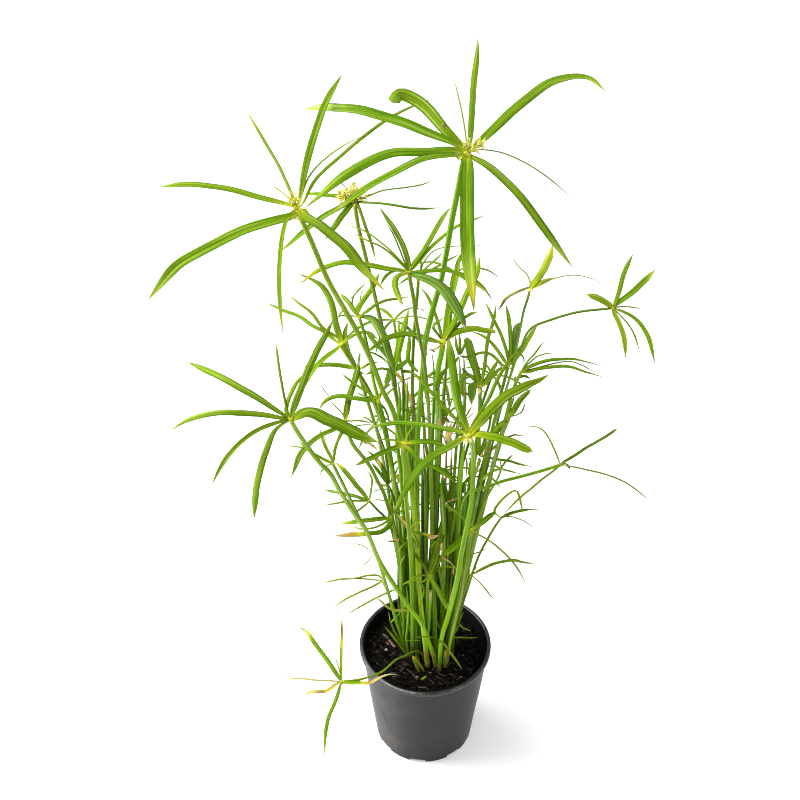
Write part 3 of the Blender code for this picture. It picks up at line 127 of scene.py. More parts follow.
shoot("03", (467, 154), -0.020, (5.2, 5), "g",
      [(464, 160), (458, 190), (452, 220), (446, 255), (441, 280), (431, 316), (425, 343),
       (423, 370), (420, 400), (417.5, 440), (417, 480), (417, 520), (416, 570), (415, 620)],
      (416, 651),
      (5, "g", "p", [(469, 148), (472, 110), (474, 80), (477, 55), (478, 37)]),
      (1.4, "y", "p", [(466, 138), (463, 118), (458, 95), (454, 79)]),
      (8, "b", "p", [(473, 149), (490, 132), (510, 113), (535, 92), (555, 80), (575, 75.5),
                     (590, 78), (605, 91)]),
      (1.4, "d", "p", [(475, 150), (500, 152), (520, 160), (545, 175), (575, 201)]),
      (7, "g", "o", [(472, 157), (490, 167), (515, 190), (540, 222), (560, 250), (573, 268)]),
      (13.5, "g", "y", [(467, 163), (467, 190), (467, 230), (469, 265), (473, 300), (474, 311)]),
      (11, "b", "n", [(462, 148), (445, 130), (425, 107), (410, 97), (400, 94), (393, 103)]),
      (8, "g", "p", [(460, 147), (440, 138), (410, 126), (370, 113), (335, 108), (304, 109)]),
      (10, "g", "p", [(460, 151), (430, 151), (395, 152), (370, 160), (345, 175), (320, 195),
                      (305, 208)]),
      (6, "g", "o", [(462, 155), (440, 156), (420, 160), (395, 172), (370, 186), (350, 200),
                     (333, 211)]))

shoot("04", (409, 273), -0.035, (4, 3.6), "d",
      [(410, 279), (412, 290), (414, 301), (415, 313), (417.5, 327), (420, 340), (424, 360),
       (428, 400), (430, 440)], (433, 655),
      (5, "g", "o", [(404, 271), (385, 268), (365, 264), (345, 262), (330, 265), (315, 272),
                     (305, 280), (297, 284)]),
      (5, "d", "n", [(409, 266), (403, 245), (395, 230), (385, 215), (379, 207)]),
      (1.6, "d", "n", [(406, 266), (398, 245), (392, 232), (386, 222)]),
      (1.6, "o", "y", [(405, 266), (390, 250), (378, 240), (370, 234), (358, 228), (339, 223)]),
      (2, "g", "o", [(405, 268), (390, 253), (378, 245), (368, 241), (352, 232)]),
      (5.5, "b", "y", [(404, 273), (397, 276), (395, 284), (398, 295), (403, 305)]),
      (4.5, "g", "n", [(412, 266), (425, 248), (438, 225), (448, 210), (452, 207)]),
      (3.2, "b", "n", [(413, 269), (430, 248), (447, 233), (459, 225), (475, 219), (486, 215)]),
      (4, "g", "y", [(415, 272), (435, 270), (448, 270), (458, 273), (464, 277), (477, 284),
                     (490, 295)]),
      (8.5, "d", "y", [(415, 275), (430, 279), (440, 285), (450, 297), (457, 309), (462, 319),
                       (467, 331)]))

shoot("05", (418, 279), 0.050, (3, 3), "o",
      [(418, 284), (417, 297), (415, 320), (413, 350), (412.5, 405)], None,
      (2.2, "g", "n", [(423, 271), (435, 260), (443, 252)]),
      (2.2, "g", "n", [(425, 273), (440, 265), (450, 259), (460, 254)]),
      (1.3, "o", "p", [(424, 262), (435, 250), (455, 246), (475, 246), (490, 243)]),
      (1.6, "d", "n", [(420, 272), (422, 258)]),
      (3, "d", "n", [(414, 276), (400, 270), (388, 274), (380, 286)]))

shoot("06", (359, 317), 0.055, (3, 3), "b",
      [(361, 323), (364, 332), (367, 345), (370, 359), (373, 378), (377.5, 397), (386, 430)],
      None,
      (5.5, "b", "n", [(357, 311), (363, 300), (371, 289), (379, 273)]),
      (3, "g", "y", [(362, 315), (375, 305), (383, 301), (392, 299), (410, 297)]),
      (7.5, "d", "n", [(364, 317), (371, 318), (379, 327), (384, 338), (388, 352), (392.5, 365),
                       (395, 375)]),
      (4, "g", "p", [(355, 312), (350, 304), (340, 293)]),
      (1.4, "g", "p", [(352, 302), (358, 290), (366, 283)]),
      (1.5, "g", "p", [(352, 316), (340, 316)]))

shoot("07", (341, 345), 0.060, (4, 3.4), "b",
      [(344, 350), (350, 359), (359, 374), (370, 393), (379, 415), (388, 445)], None,
      (3.5, "g", "n", [(337, 342), (325, 332), (312, 325), (300, 316.5), (283, 310), (265, 302)]),
      (3, "g", "n", [(338, 338), (331, 333), (322, 327), (312, 313), (300, 304), (288, 294)]),
      (4.5, "b", "n", [(337, 349), (327, 356), (313, 370), (302, 388), (292, 405)]),
      (6, "d", "n", [(340, 338), (336, 325), (332, 305), (324, 288), (312, 279), (296, 273)]),
      (3, "g", "n", [(346, 340), (358, 333), (368, 332), (378, 340)]))

shoot("08", (291, 420), -0.130, (4.2, 4.2), "y",
      [(294, 426), (305, 443), (320, 463), (330, 473), (340, 491), (350, 507), (358, 519),
       (366, 530), (380, 562), (397, 589), (410, 608), (420.5, 621.5), (429, 642), (434.5, 658)],
      (437, 668),
      (5, "g", "p", [(285, 416), (255, 396), (225, 379), (200, 367), (187, 362)]),
      (6, "g", "y", [(285, 419), (260, 414), (230, 412), (205, 414), (185, 421), (170, 431)]),
      (3.6, "g", "p", [(284, 421), (260, 429), (240, 443), (225, 460), (211, 486)]),
      (5.5, "g", "p", [(286, 422), (275, 430), (267, 448), (260, 470), (256, 490), (254, 519)]),
      (2.6, "g", "p", [(288, 413), (282, 385), (278, 360), (276, 342)]),
      (7, "d", "n", [(292, 414), (300, 390), (312, 360), (325, 335), (333, 320)]),
      (4, "b", "n", [(286, 411), (289, 398), (297, 382), (309, 369)]),
      (9.5, "y", "p", [(297, 417), (304, 412), (315, 412.5), (330, 420), (350, 429), (363, 436),
                       (378, 442)]))

shoot("09", (530, 289), 0.050, (3, 2.6), "g",
      [(528, 298), (524, 310), (520, 330), (517, 345), (512, 370), (503, 400)], None,
      (7, "b", "o", [(532, 285), (538, 278), (548, 260), (553, 244)]),
      (4, "o", "o", [(534, 287), (542, 282), (549, 279), (560, 277), (572, 275), (584, 276),
                     (595, 280), (606, 286.5)]),
      (2.6, "t", "w", [(525, 289), (518, 291), (510, 295), (504, 303), (498, 312)]),
      (1.3, "g", "p", [(530, 281), (526, 273), (518, 266), (512, 256.5)]))

shoot("10", (612.5, 308), -0.010, (2.8, 2.6), "g",
      [(607, 308.9), (590, 310.4), (576, 312.5), (561, 316.5), (549, 320.6), (540, 323.5),
       (531, 328), (526, 335), (522, 345), (516, 360), (506, 390), (494, 425), (484, 470),
       (473, 520)], (447, 656),
      (4.5, "g", "n", [(616, 301), (619.6, 290), (624, 273), (633, 254)]),
      (5.5, "g", "y", [(617, 304), (630, 294.6), (641.5, 284), (655, 270)]),
      (4.5, "d", "p", [(609, 304), (601, 299), (594, 296), (586, 294)]),
      (1.4, "o", "p", [(618, 307), (630, 307), (643, 309.4)]),
      (3.6, "g", "n", [(618, 310), (631, 315), (641.5, 325), (648.5, 337), (652, 350), (655, 364)]),
      (4.5, "y", "n", [(614, 313), (617, 319), (622.5, 331.5), (625, 345), (625.6, 358)]),
      (1.6, "g", "p", [(617, 312), (629, 325), (635, 336), (640, 353.5)]))

shoot("11", (521, 372), 0.020, (3, 3), "b",
      [(516, 382), (511, 396), (505, 420), (498, 445), (490, 475), (482, 505)], None,
      (4, "g", "p", [(526, 369), (535, 364), (549, 360), (561, 358.7), (572, 358.7), (584, 361),
                     (595, 364), (607, 370)]),
      (3.5, "g", "o", [(526, 373), (537, 369), (549, 367), (561, 366), (572, 367), (586, 372),
                       (598, 375.5), (606, 379)]),
      (1.4, "g", "p", [(560, 362), (572, 361.5), (584, 366), (599, 375)]),
      (1.5, "y", "p", [(527, 365), (538, 356), (549, 353), (560, 353.5)]),
      (1.8, "g", "p", [(527, 362), (533, 356), (538, 349), (545, 340)]))

shoot("12", (508, 366), 0.090, (3.2, 3), "d",
      [(505, 378), (499, 400), (492, 430), (484, 470)], None,
      (3.2, "g", "n", [(508, 358), (502, 337), (493, 318), (485, 301)]),
      (4, "d", "n", [(510, 358), (510.5, 340), (509, 320), (506, 304)]),
      (7, "y", "n", [(510, 362), (513, 348), (515, 336), (517, 326), (521, 322)]),
      (3.5, "g", "n", [(504, 360), (497, 349), (489, 340), (480, 334), (470, 331)]),
      (3, "g", "n", [(503, 366), (498, 360), (490, 353.5), (482, 352), (474, 355), (464, 361)]),
      (4.5, "g", "n", [(513, 362), (521, 352), (529.6, 337), (537.7, 324)]))

shoot("13", (469, 436), -0.140, (4.6, 4.4), "y",
      [(472, 443), (473, 455), (473, 473), (472.5, 490), (471, 504), (468, 520), (465, 535),
       (461, 555), (457, 580), (452, 600), (448, 616), (442.5, 634), (440.5, 648)], (441, 673),
      (8, "b", "p", [(464, 438), (452, 445), (433, 455), (421, 467), (411, 480), (402, 496),
                     (394, 510)]),
      (5, "g", "p", [(463, 432), (450, 429), (438, 427), (420, 423.5), (400, 422.3), (385, 424),
                     (367, 427.5)]),
      (8, "g", "p", [(467, 428), (463, 418), (459, 407), (455, 388), (453, 370), (451, 355),
                     (449, 338)]),
      (3.6, "g", "n", [(465, 429), (460, 424), (450, 412.5), (437, 398.5), (425, 385), (415, 374),
                       (404, 369)]),
      (5, "b", "n", [(471, 428), (477, 417), (488, 400), (497, 380), (508, 362), (521, 346),
                     (537, 324.5)]),
      (9.5, "b", "n", [(473, 430), (480, 422), (490, 410), (500, 400), (512, 391.5), (526, 385),
                       (540, 379), (549, 374.5)]),
      (6.5, "b", "y", [(474, 435), (480, 434), (490, 435.4), (500, 438), (510, 441), (520, 445.5),
                       (533, 451.5)]))

shoot("14", (443, 342), 0.010, (5, 4.6), "b",
      [(442, 352), (439, 365), (437, 385), (438, 400), (438, 430), (437, 470), (435, 520)],
      (436, 644),
      (2.2, "g", "p", [(440, 337), (437, 333), (433, 325), (443, 318)]),
      (4.5, "g", "p", [(446, 338), (453, 333), (462, 329.5), (475, 328), (488, 330), (496, 330.5)]),
      (6, "b", "n", [(445, 335), (448, 312), (452, 292), (457, 272), (459.5, 256)]),
      (6, "b", "n", [(447, 333), (455, 320), (463, 302), (469, 288), (476, 275), (480, 256)]),
      (5, "d", "n", [(438, 342), (430, 339), (420, 336), (408, 333.5), (395, 335), (383, 340),
                     (369, 349)]),
      (3.2, "g", "n", [(441, 334), (438, 322), (433, 308), (427, 295), (420, 287)]),
      (3.2, "g", "n", [(449, 336), (458, 325), (466, 316.5), (478, 312)]),
      (3, "t", "w", [(439, 347), (434, 350), (428, 349)]))

shoot("15", (560.3, 465), -0.030, (3, 3), "b",
      [(551, 468), (541, 471), (520.5, 476.7), (500, 482), (490, 486), (480, 489), (471, 491),
       (465, 496), (461, 508), (459, 530), (457, 560)], (447, 651),
      (3, "g", "p", [(564, 462), (572, 457), (587, 447), (603, 438), (617, 428.5)]),
      (1.7, "b", "p", [(559, 461), (555, 451), (550, 440), (545, 432), (540, 428), (533, 426),
                       (525, 428)]),
      (1.5, "o", "p", [(564, 466), (574, 467), (587, 470), (603, 473.6), (618, 479), (631, 486),
                       (644, 496), (653, 504)]),
      (2.1, "o", "p", [(557, 468), (541, 480), (531, 488.5), (520.5, 497), (508, 509.5),
                       (503, 516)]),
      (2, "g", "p", [(564, 463.5), (567, 464), (570, 469.5)]))

shoot("16", (509, 417), 0.020, (3.6, 3.6), "b",
      [(507, 423), (502.5, 433), (499, 447), (493, 467), (488, 483), (483, 500), (478, 520),
       (474, 540), (470, 560), (465, 583), (460, 602), (455.5, 621), (452.5, 636)], (450, 649),
      (6, "d", "n", [(512, 413), (517, 404), (523, 396), (531, 389)]),
      (1.5, "g", "n", [(514, 416), (521, 413), (525, 403)]),
      (2.4, "d", "n", [(509, 411), (512, 403), (514, 396)]),
      (4.5, "b", "n", [(506, 421), (500, 425), (493, 432), (490, 441)]))

shoot("17", (485, 458), 0.055, (3.4, 3.2), "g",
      [(483, 464), (480, 475), (477, 490), (473, 505), (469, 522), (465, 545)], None,
      (2.6, "d", "o", [(489, 458), (500, 459.5), (510, 461), (520, 464), (533, 467)]),
      (3, "d", "n", [(487, 453), (492, 449), (498, 444)]),
      (1.3, "y", "p", [(490, 462), (500, 468), (510, 471), (520, 474)]),
      (4, "t", "w", [(486, 451), (490, 440), (495, 431), (501, 421)]),
      (2, "t", "o", [(489, 452), (500, 442), (508.7, 437), (514, 434.6), (523.6, 435.6)]),
      (3.4, "d", "n", [(481, 455), (474, 452), (468, 455)]))

shoot("18", (501, 469), -0.010, (2, 2), "g",
      [(499, 476), (493, 487), (487, 497), (481, 512), (475, 528), (470, 548)], None,
      (2, "g", "p", [(503, 465), (508, 459), (513, 454.5)]),
      (1.4, "y", "p", [(501, 465), (499.5, 458)]),
      (2.6, "b", "y", [(495, 470), (488, 474), (482, 481)]))

shoot("19", (472, 530), -0.060, (3, 3), "d",
      [(470, 540), (467, 560), (462, 590), (456, 616), (450, 643)], (446, 667),
      (5, "d", "n", [(475, 528), (480, 524), (487, 518.5), (495, 511.5)]),
      (1.8, "o", "p", [(475, 533), (487, 539), (500, 549), (512, 561), (521, 574), (527, 587)]),
      (2.6, "d", "n", [(469, 526), (462, 517), (452, 509), (440, 502)]),
      (4.6, "y", "n", [(468, 534), (460, 543), (453, 550), (447, 555)]),
      (1.6, "d", "n", [(470, 525), (474, 515), (477, 503)]))

shoot("20", (501, 518), -0.005, (2.2, 2.4), "o",
      [(498, 522), (494, 528), (487, 540), (480.5, 552), (473.5, 570), (468, 588), (462.5, 605), (457, 622)],
      (453, 641),
      (3, "d", "p", [(505, 516), (510, 513.5), (520, 510.5), (530, 509), (540, 510), (560, 509)]),
      (1.2, "y", "p", [(509, 516), (522, 520), (528, 523), (534, 529)]),
      (2.4, "b", "n", [(494, 512), (499, 503), (508, 494), (516, 490), (520, 499), (523, 514)]))

shoot("21", (471, 575), -0.050, (2.2, 2.2), "g",
      [(469, 580), (464, 592), (459.5, 606), (455.5, 622)], (452, 655),
      (2.8, "o", "p", [(475, 573), (490, 565), (505, 561), (513, 560), (523, 562), (536, 564)]),
      (1.4, "y", "p", [(475, 578), (484, 587), (490, 595), (497, 602.5)]),
      (2, "g", "n", [(473, 571), (477, 566)]),
      (1.4, "y", "p", [(465, 570), (470, 556), (482, 551), (488, 546)]))

shoot("22", (405, 444), -0.105, (4.4, 4), "y",
      [(403, 450), (404, 458), (405, 471), (405, 483), (406, 500), (409, 530), (411, 560),
       (412, 600)], (412, 657),
      (5, "g", "n", [(400, 446), (392, 449), (380, 454), (370, 459), (354, 466)]),
      (5, "y", "n", [(409, 443), (420, 441.7), (430, 441.7), (438, 443), (447, 447)]),
      (2.2, "g", "n", [(401, 442), (392, 440), (378, 439)]),
      (4, "g", "n", [(408, 448), (413, 453), (421, 462), (438, 469), (448, 477), (455, 482)]),
      (2.2, "g", "n", [(406, 438), (410, 431), (419, 419)]))

shoot("23", (369, 501), -0.050, (2.2, 2.4), "d",
      [(371, 503), (375, 507.5), (380, 512.5), (385, 517), (390, 526), (395, 545), (399, 570)],
      (405, 646),
      (4.5, "d", "o", [(366, 497), (357.5, 487), (348, 475), (340, 466), (334, 462)]),
      (3.2, "d", "n", [(364, 499), (355, 496), (342, 493), (323, 489.5)]),
      (2.2, "d", "n", [(364, 501), (355, 500.4), (342, 502), (323, 505.6)]),
      (2, "g", "n", [(370, 497), (371, 490), (372, 478), (367, 470)]),
      (2, "d", "n", [(367, 503.5), (361, 508), (354, 514)]))

shoot("24", (391, 518), -0.020, (3, 3), "g",
      [(395, 530), (400, 550), (402, 575), (403, 600)], None,
      (4.5, "d", "y", [(387, 518.5), (380, 519), (370, 520), (355, 522), (340, 523.5)]),
      (5, "d", "w", [(390, 524), (382, 531), (370, 533), (355, 534), (343, 535), (333, 536)]),
      (2, "g", "o", [(386, 522), (376, 527), (361, 529), (352, 526)]),
      (2.4, "b", "n", [(393, 512), (398, 506), (404, 498), (408, 487)]))

shoot("25", (345, 421), -0.020, (3.6, 3.4), "g",
      [(348, 430), (352, 443), (363, 457), (370, 466), (377, 480), (383, 491), (388, 506),
       (392, 520), (396, 540), (400, 565)], (405.5, 652),
      (6, "d", "n", [(346, 415), (348, 402), (352, 388), (356, 376), (359, 361)]),
      (1.6, "g", "p", [(349, 421), (360, 420.5), (372, 423)]),
      (5, "d", "n", [(341, 425), (335, 429), (320, 436), (308, 445), (300, 455), (295, 468),
                     (291, 478)]),
      (3, "g", "n", [(344, 429), (338, 440), (332, 454)]),
      (1.5, "g", "p", [(343, 414), (337, 408), (330, 401)]))

shoot("26", (333, 464), -0.075, (3, 3.2), "b",
      [(336, 470), (343, 484), (352, 503), (359, 517), (366, 532), (374, 548), (380, 565),
       (386, 585), (391, 602), (396, 620), (401, 635)], (408, 657),
      (3.2, "b", "n", [(332, 459), (327, 450), (323, 440), (319.5, 428)]),
      (2.6, "g", "n", [(334, 458), (335, 450), (338, 440), (341, 430)]),
      (2.8, "b", "p", [(328, 461), (318, 456), (308, 450), (298, 440)]),
      (1.6, "o", "p", [(327, 462), (315, 455), (303, 448), (285, 446)]),
      (1.4, "o", "p", [(328, 465), (322, 470), (320, 476)]))

shoot("27", (357.5, 370), 0.090, (3, 3), "g",
      [(360, 377), (364, 390), (371, 412), (379, 440)], None,
      (4.5, "d", "n", [(353, 368), (342, 365), (330, 364), (318, 365), (303, 366)]),
      (5, "d", "n", [(354, 364), (350, 357), (346, 345), (345, 333), (348, 322)]),
      (2.2, "g", "n", [(358.5, 363), (360, 352)]),
      (2.4, "g", "n", [(362, 368), (370, 363), (379, 362)]))

shoot("28", (378, 401), -0.010, (3.2, 3), "b",
      [(380, 411), (382.5, 422), (385, 433), (387.5, 443), (389, 457), (392.5, 471), (397, 500),
       (401, 540), (404, 580)], (410.5, 650),
      (4.5, "g", "n", [(374, 401), (365, 399.5), (354, 397.5), (345, 396), (336, 396), (329, 398),
                       (323, 403), (319, 410)]),
      (2.6, "g", "n", [(375, 397), (367, 392), (357.5, 386), (352, 382), (342.5, 374)]),
      (2, "g", "n", [(372, 397.5), (365, 396), (356, 392)]),
      (3, "d", "n", [(380, 395), (384, 388), (392, 383)]))

shoot("29", (394, 370), 0.075, (3, 3), "d",
      [(395, 380), (397, 400), (400, 430), (404, 470)], None,
      (2.6, "d", "n", [(390, 371), (385, 368), (378, 369), (371, 372.5), (365, 375)]),
      (4, "d", "n", [(391, 374), (387, 382.5), (383, 391)]),
      (4.5, "d", "n", [(391, 362), (387, 355), (377.5, 345), (371, 337), (364, 329)]),
      (1.6, "y", "n", [(389, 364), (379, 356), (371, 352)]),
      (4, "g", "n", [(398, 366), (402.5, 363), (408, 360)]),
      (3.5, "t", "w", [(398, 375), (404, 383), (408, 395), (412, 406)]),
      (6, "b", "p", [(396, 362), (400, 345), (404, 328), (409, 308)]),
      (3, "b", "p", [(394, 361), (397, 345), (399, 330), (398, 318)]))

shoot("30", (480.5, 387), 0.060, (3.4, 3.2), "g",
      [(480, 396), (480, 408), (477, 440), (472, 480)], None,
      (7, "d", "n", [(479, 381), (477, 373), (473, 360), (470, 348), (467, 337)]),
      (3.5, "g", "n", [(483, 376), (486, 355), (488, 338), (492, 326), (495, 313), (496, 304)]),
      (4, "g", "n", [(485, 381), (491, 372), (498, 360)]),
      (4, "d", "n", [(486, 383), (494, 374), (502, 366)]),
      (6, "d", "n", [(476, 384), (472, 385), (471, 393), (471.5, 405)]),
      (5, "d", "n", [(474, 378), (466, 373), (462.5, 382), (462.5, 397)]))

shoot("31", (429, 576), -0.050, (2.8, 2.6), "g",
      [(427.8, 585), (427.2, 600), (427, 618), (428.5, 638)], (432, 655),
      (5, "b", "p", [(431.5, 579), (439.5, 592), (446, 606), (449, 610)]),
      (3.2, "g", "n", [(426, 570), (416.5, 556), (403, 541), (386, 523.5)]),
      (4.6, "b", "n", [(433, 571), (441, 558), (455, 544.5), (470, 531), (485, 522), (496, 513)]),
      (7.5, "b", "n", [(431.5, 567), (436, 552), (443, 525), (447, 504)]),
      (2, "b", "y", [(424, 575), (417, 576), (411, 580), (402, 585)]),
      (2, "o", "y", [(434, 572), (440, 568), (447, 566.5), (456, 568)]),
      (1.6, "y", "n", [(425, 580), (421, 583), (416, 580), (411, 581)]))

shoot("32", (411, 531), -0.045, (3, 3), "d",
      [(412, 540), (413, 560), (415, 600)], (417, 664),
      (3.2, "d", "w", [(415, 532), (426, 534), (437, 537)]),
      (2.6, "t", "y", [(408, 526), (403, 520), (397, 514)]),
      (2.6, "b", "n", [(414, 526), (418, 522), (422, 519)]),
      (4.4, "d", "n", [(413, 535), (417, 542), (417, 550)]))

shoot("33", (383, 581), 0.000, (2.6, 3), "b",
      [(387, 590), (393, 606), (400, 626)], (406.5, 641),
      (1.8, "o", "p", [(380, 576), (370, 575), (356, 578), (335, 580), (321, 585)]),
      (2.2, "o", "p", [(379, 583), (369, 588), (359.5, 592), (344, 600), (331, 609)]),
      (1.5, "o", "p", [(379, 580.5), (368, 579), (350, 578.5), (336, 580.5)]))

shoot("34", (341.3, 682), -0.105, (3.2, 3), "y",
      [(348, 681.5, -0.100), (358, 680, -0.093), (369, 677, -0.085), (381.5, 672, -0.073),
       (390, 665, -0.060), (397, 659, -0.047), (406, 655.6, -0.036), (413, 651.5, -0.026),
       (420, 652, -0.020)],
      (425, 660),
      (2.8, "b", "w", [(341.2, 674), (341.3, 650), (342, 636.5), (341.7, 615.5)]),
      (4.4, "g", "y", [(338.5, 677), (327, 659.5), (314, 642), (307, 632), (298, 626)]),
      (1.5, "t", "p", [(334, 681), (314, 680), (298, 678), (282, 680)]),
      (3, "t", "w", [(336.5, 684), (327, 691), (317, 692), (310, 692), (304, 696)]),
      (3.6, "g", "p", [(339.5, 689), (335, 702), (328, 719), (325, 738), (324.5, 757)]),
      (4.2, "b", "w", [(347, 683), (358, 683), (369, 683), (381, 677), (390, 674), (397, 675)]),
      (1.2, "t", "p", [(340, 673), (335, 656)]))
# Shoots at the back of the clump, where no sight line reaches: hub (x, y, z),
# bract count, bract length, turn of the whorl, and bract width, in metres.
HIDDEN = [
    ("35", (0.030, 0.138, 0.640), 6, 0.085, 0.30, 0.0052),
    ("36", (-0.040, 0.150, 0.565), 6, 0.075, 1.10, 0.0046),
    ("37", (0.078, 0.128, 0.500), 6, 0.062, 0.65, 0.0044),
    ("38", (-0.062, 0.105, 0.440), 6, 0.055, 0.10, 0.0040),
    ("39", (0.022, 0.152, 0.470), 6, 0.068, 0.85, 0.0046),
    ("40", (0.062, 0.090, 0.380), 5, 0.048, 0.40, 0.0036),
    ("41", (-0.018, 0.112, 0.350), 5, 0.046, 1.45, 0.0036),
]


def catmull(points, per=10):
    """Centripetal Catmull-Rom curve through the points."""
    p = [np.asarray(q, float) for q in points]
    p = [2 * p[0] - p[1]] + p + [2 * p[-1] - p[-2]]
    out = []
    for i in range(len(p) - 3):
        a, b, c, d = p[i:i + 4]
        t0 = 0.0
        t1 = t0 + max(np.linalg.norm(b - a), 1e-9) ** 0.5
        t2 = t1 + max(np.linalg.norm(c - b), 1e-9) ** 0.5
        t3 = t2 + max(np.linalg.norm(d - c), 1e-9) ** 0.5
        for k in range(per):
            t = t1 + (t2 - t1) * k / per
            a1 = (t1 - t) / (t1 - t0) * a + (t - t0) / (t1 - t0) * b
            a2 = (t2 - t) / (t2 - t1) * b + (t - t1) / (t2 - t1) * c
            a3 = (t3 - t) / (t3 - t2) * c + (t - t2) / (t3 - t2) * d
            b1 = (t2 - t) / (t2 - t0) * a1 + (t - t0) / (t2 - t0) * a2
            b2 = (t3 - t) / (t3 - t1) * a2 + (t - t1) / (t3 - t1) * a3
            out.append((t2 - t) / (t2 - t1) * b1 + (t - t1) / (t2 - t1) * b2)
    out.append(p[-2])
    return np.array(out)


def arc_lengths(pts):
    return np.concatenate(([0.0], np.cumsum(np.linalg.norm(np.diff(pts, axis=0), axis=1))))


def resample(pts, n, power=1.0):
    """n points along a curve, evenly spaced for power 1."""
    s = arc_lengths(pts)
    t = np.linspace(0.0, 1.0, n) ** power * s[-1]
    return np.stack([np.interp(t, s, pts[:, k]) for k in range(3)], axis=1)


def culm_line(sh):
    """The culm's middle line from the soil to the hub."""
    foot = np.array((sh["xy"][0], sh["xy"][1], SOIL_Z + 0.0003))
    if "xyz" in sh:
        hub = np.array(sh["xyz"])
        lift = foot + np.array((0.10, 0.10, 0.42)) * (hub - foot)
        bow = foot + np.array((0.46, 0.46, 0.76)) * (hub - foot)
        return catmull([foot, lift, bow, hub], 12)
    fu, fv = project(foot)
    way = [(q[0], q[1], q[2] if len(q) > 2 else None) for q in sh["way"]]
    line = [(sh["hub"][0], sh["hub"][1], sh["y"])] + way + [(fu, fv, foot[1])]
    uv = np.array([(q[0], q[1]) for q in line], float)
    s = np.concatenate(([0.0], np.cumsum(np.linalg.norm(np.diff(uv, axis=0), axis=1))))
    t = 1.0 - s / s[-1]
    pts = []
    for (u, v, y), k in zip(line, t):
        if y is None:
            y = foot[1] + (sh["y"] - foot[1]) * k ** 1.15
        pts.append(at_depth(u, v, y))
    pts[-1] = foot
    return catmull(pts[::-1], 8)


def spread_feet(shoots):
    """Keeps the culms' feet apart on the soil."""
    xy = np.array([sh["xy"] for sh in shoots])
    r = np.array([sh["r1"] for sh in shoots])
    room = (CLUMP_R[0] + 0.0015, CLUMP_R[1] + 0.0025)
    for _ in range(500):
        push = np.zeros_like(xy)
        for i in range(len(xy)):
            d = xy - xy[i]
            dist = np.linalg.norm(d, axis=1)
            need = r + r[i] + 0.0012
            for j in np.nonzero((dist < need) & (np.arange(len(xy)) != i))[0]:
                away = d[j] / max(dist[j], 1e-6)
                push[j] += away * (need[j] - dist[j]) * 0.5
        xy += push * 0.7
        # the tuft is tight: a foot pushed out of it goes back to its edge
        k = np.hypot((xy[:, 0] - CLUMP[0]) / room[0], (xy[:, 1] - CLUMP[1]) / room[1])
        back = CLUMP + (xy - CLUMP) / np.maximum(k, 1.0)[:, None]
        if np.abs(push).max() < 1e-6 and np.abs(back - xy).max() < 1e-6:
            break
        xy = back
    for sh, q in zip(shoots, xy):
        sh["xy"] = (float(q[0]), float(q[1]))


def spread_culms(shoots, lines, rounds=200):
    """Moves culms that touch apart along their sight lines, smoothly."""
    m = lines[0].shape[0]
    k = len(lines)
    base = np.array(lines)
    rays = base - np.array(EYE)
    rays /= np.linalg.norm(rays, axis=2, keepdims=True)
    t = np.linspace(0.0, 1.0, m)
    rad = np.array([sh["r1"] + (sh["r0"] - sh["r1"]) * t for sh in shoots])
    step = 3
    knots = np.arange(0, m, step)
    off = np.zeros((k, len(knots)))
    full = np.zeros((k, m))
    pairs = []
    for i in range(k):
        for j in range(i + 1, k):
            d = base[j][None, :, :] - base[i][:, None, :]
            dist = np.linalg.norm(d, axis=2)
            if dist.min() > 0.020:
                continue
            # which one passes in front where the two cross in the view
            deep = np.sum(d * rays[i][:, None, :], axis=2)
            flat = np.sqrt(np.maximum(dist ** 2 - deep ** 2, 0.0))
            flat[:4, :4] += 0.05
            a, b = np.unravel_index(np.argmin(flat), flat.shape)
            lead = deep[a, b]
            if abs(lead) < 0.0015:
                lead = shoots[j]["rank"] - shoots[i]["rank"]
            pairs.append((i, j, 1.0 if lead >= 0 else -1.0))
    for _ in range(rounds):
        pos = base + rays * full[:, :, None]
        push = np.zeros((k, m))
        hits = 0
        for i, j, sign in pairs:
            d = pos[j][None, :, :] - pos[i][:, None, :]
            deep = np.einsum("abc,ac->ab", d, rays[i]) * sign
            sq = np.einsum("abc,abc->ab", d, d) - deep ** 2
            need = (rad[i][:, None] + rad[j][None, :] + 0.0021) ** 2
            near = (sq < need) & (deep > -0.015)
            if not near.any():
                continue
            short = np.where(near, np.sqrt(np.maximum(need - sq, 0.0)) - deep, 0.0)
            short[:3, :3] = 0.0
            if short.max() < 1e-4:
                continue
            hits += 1
            push[i] -= sign * 0.5 * np.maximum(short, 0.0).max(axis=1)
            push[j] += sign * 0.5 * np.maximum(short, 0.0).max(axis=0)
        p3 = push.reshape(k, len(knots), step)
        pick = np.argmax(np.abs(p3), axis=2)
        off += np.clip(np.take_along_axis(p3, pick[:, :, None], axis=2)[:, :, 0], -0.003, 0.003)
        off[:, 0] = 0.0
        off[:, 1] *= 0.6
        for _s in range(2):
            off[:, 1:-1] = 0.25 * off[:, :-2] + 0.5 * off[:, 1:-1] + 0.25 * off[:, 2:]
            off[:, -1] = 0.5 * off[:, -1] + 0.5 * off[:, -2]
        for i in range(k):
            full[i] = np.interp(np.arange(m), knots, off[i])
        if hits == 0:
            break
    spread_culms.left = hits
    return [base[i] + rays[i] * full[i][:, None] for i in range(k)]


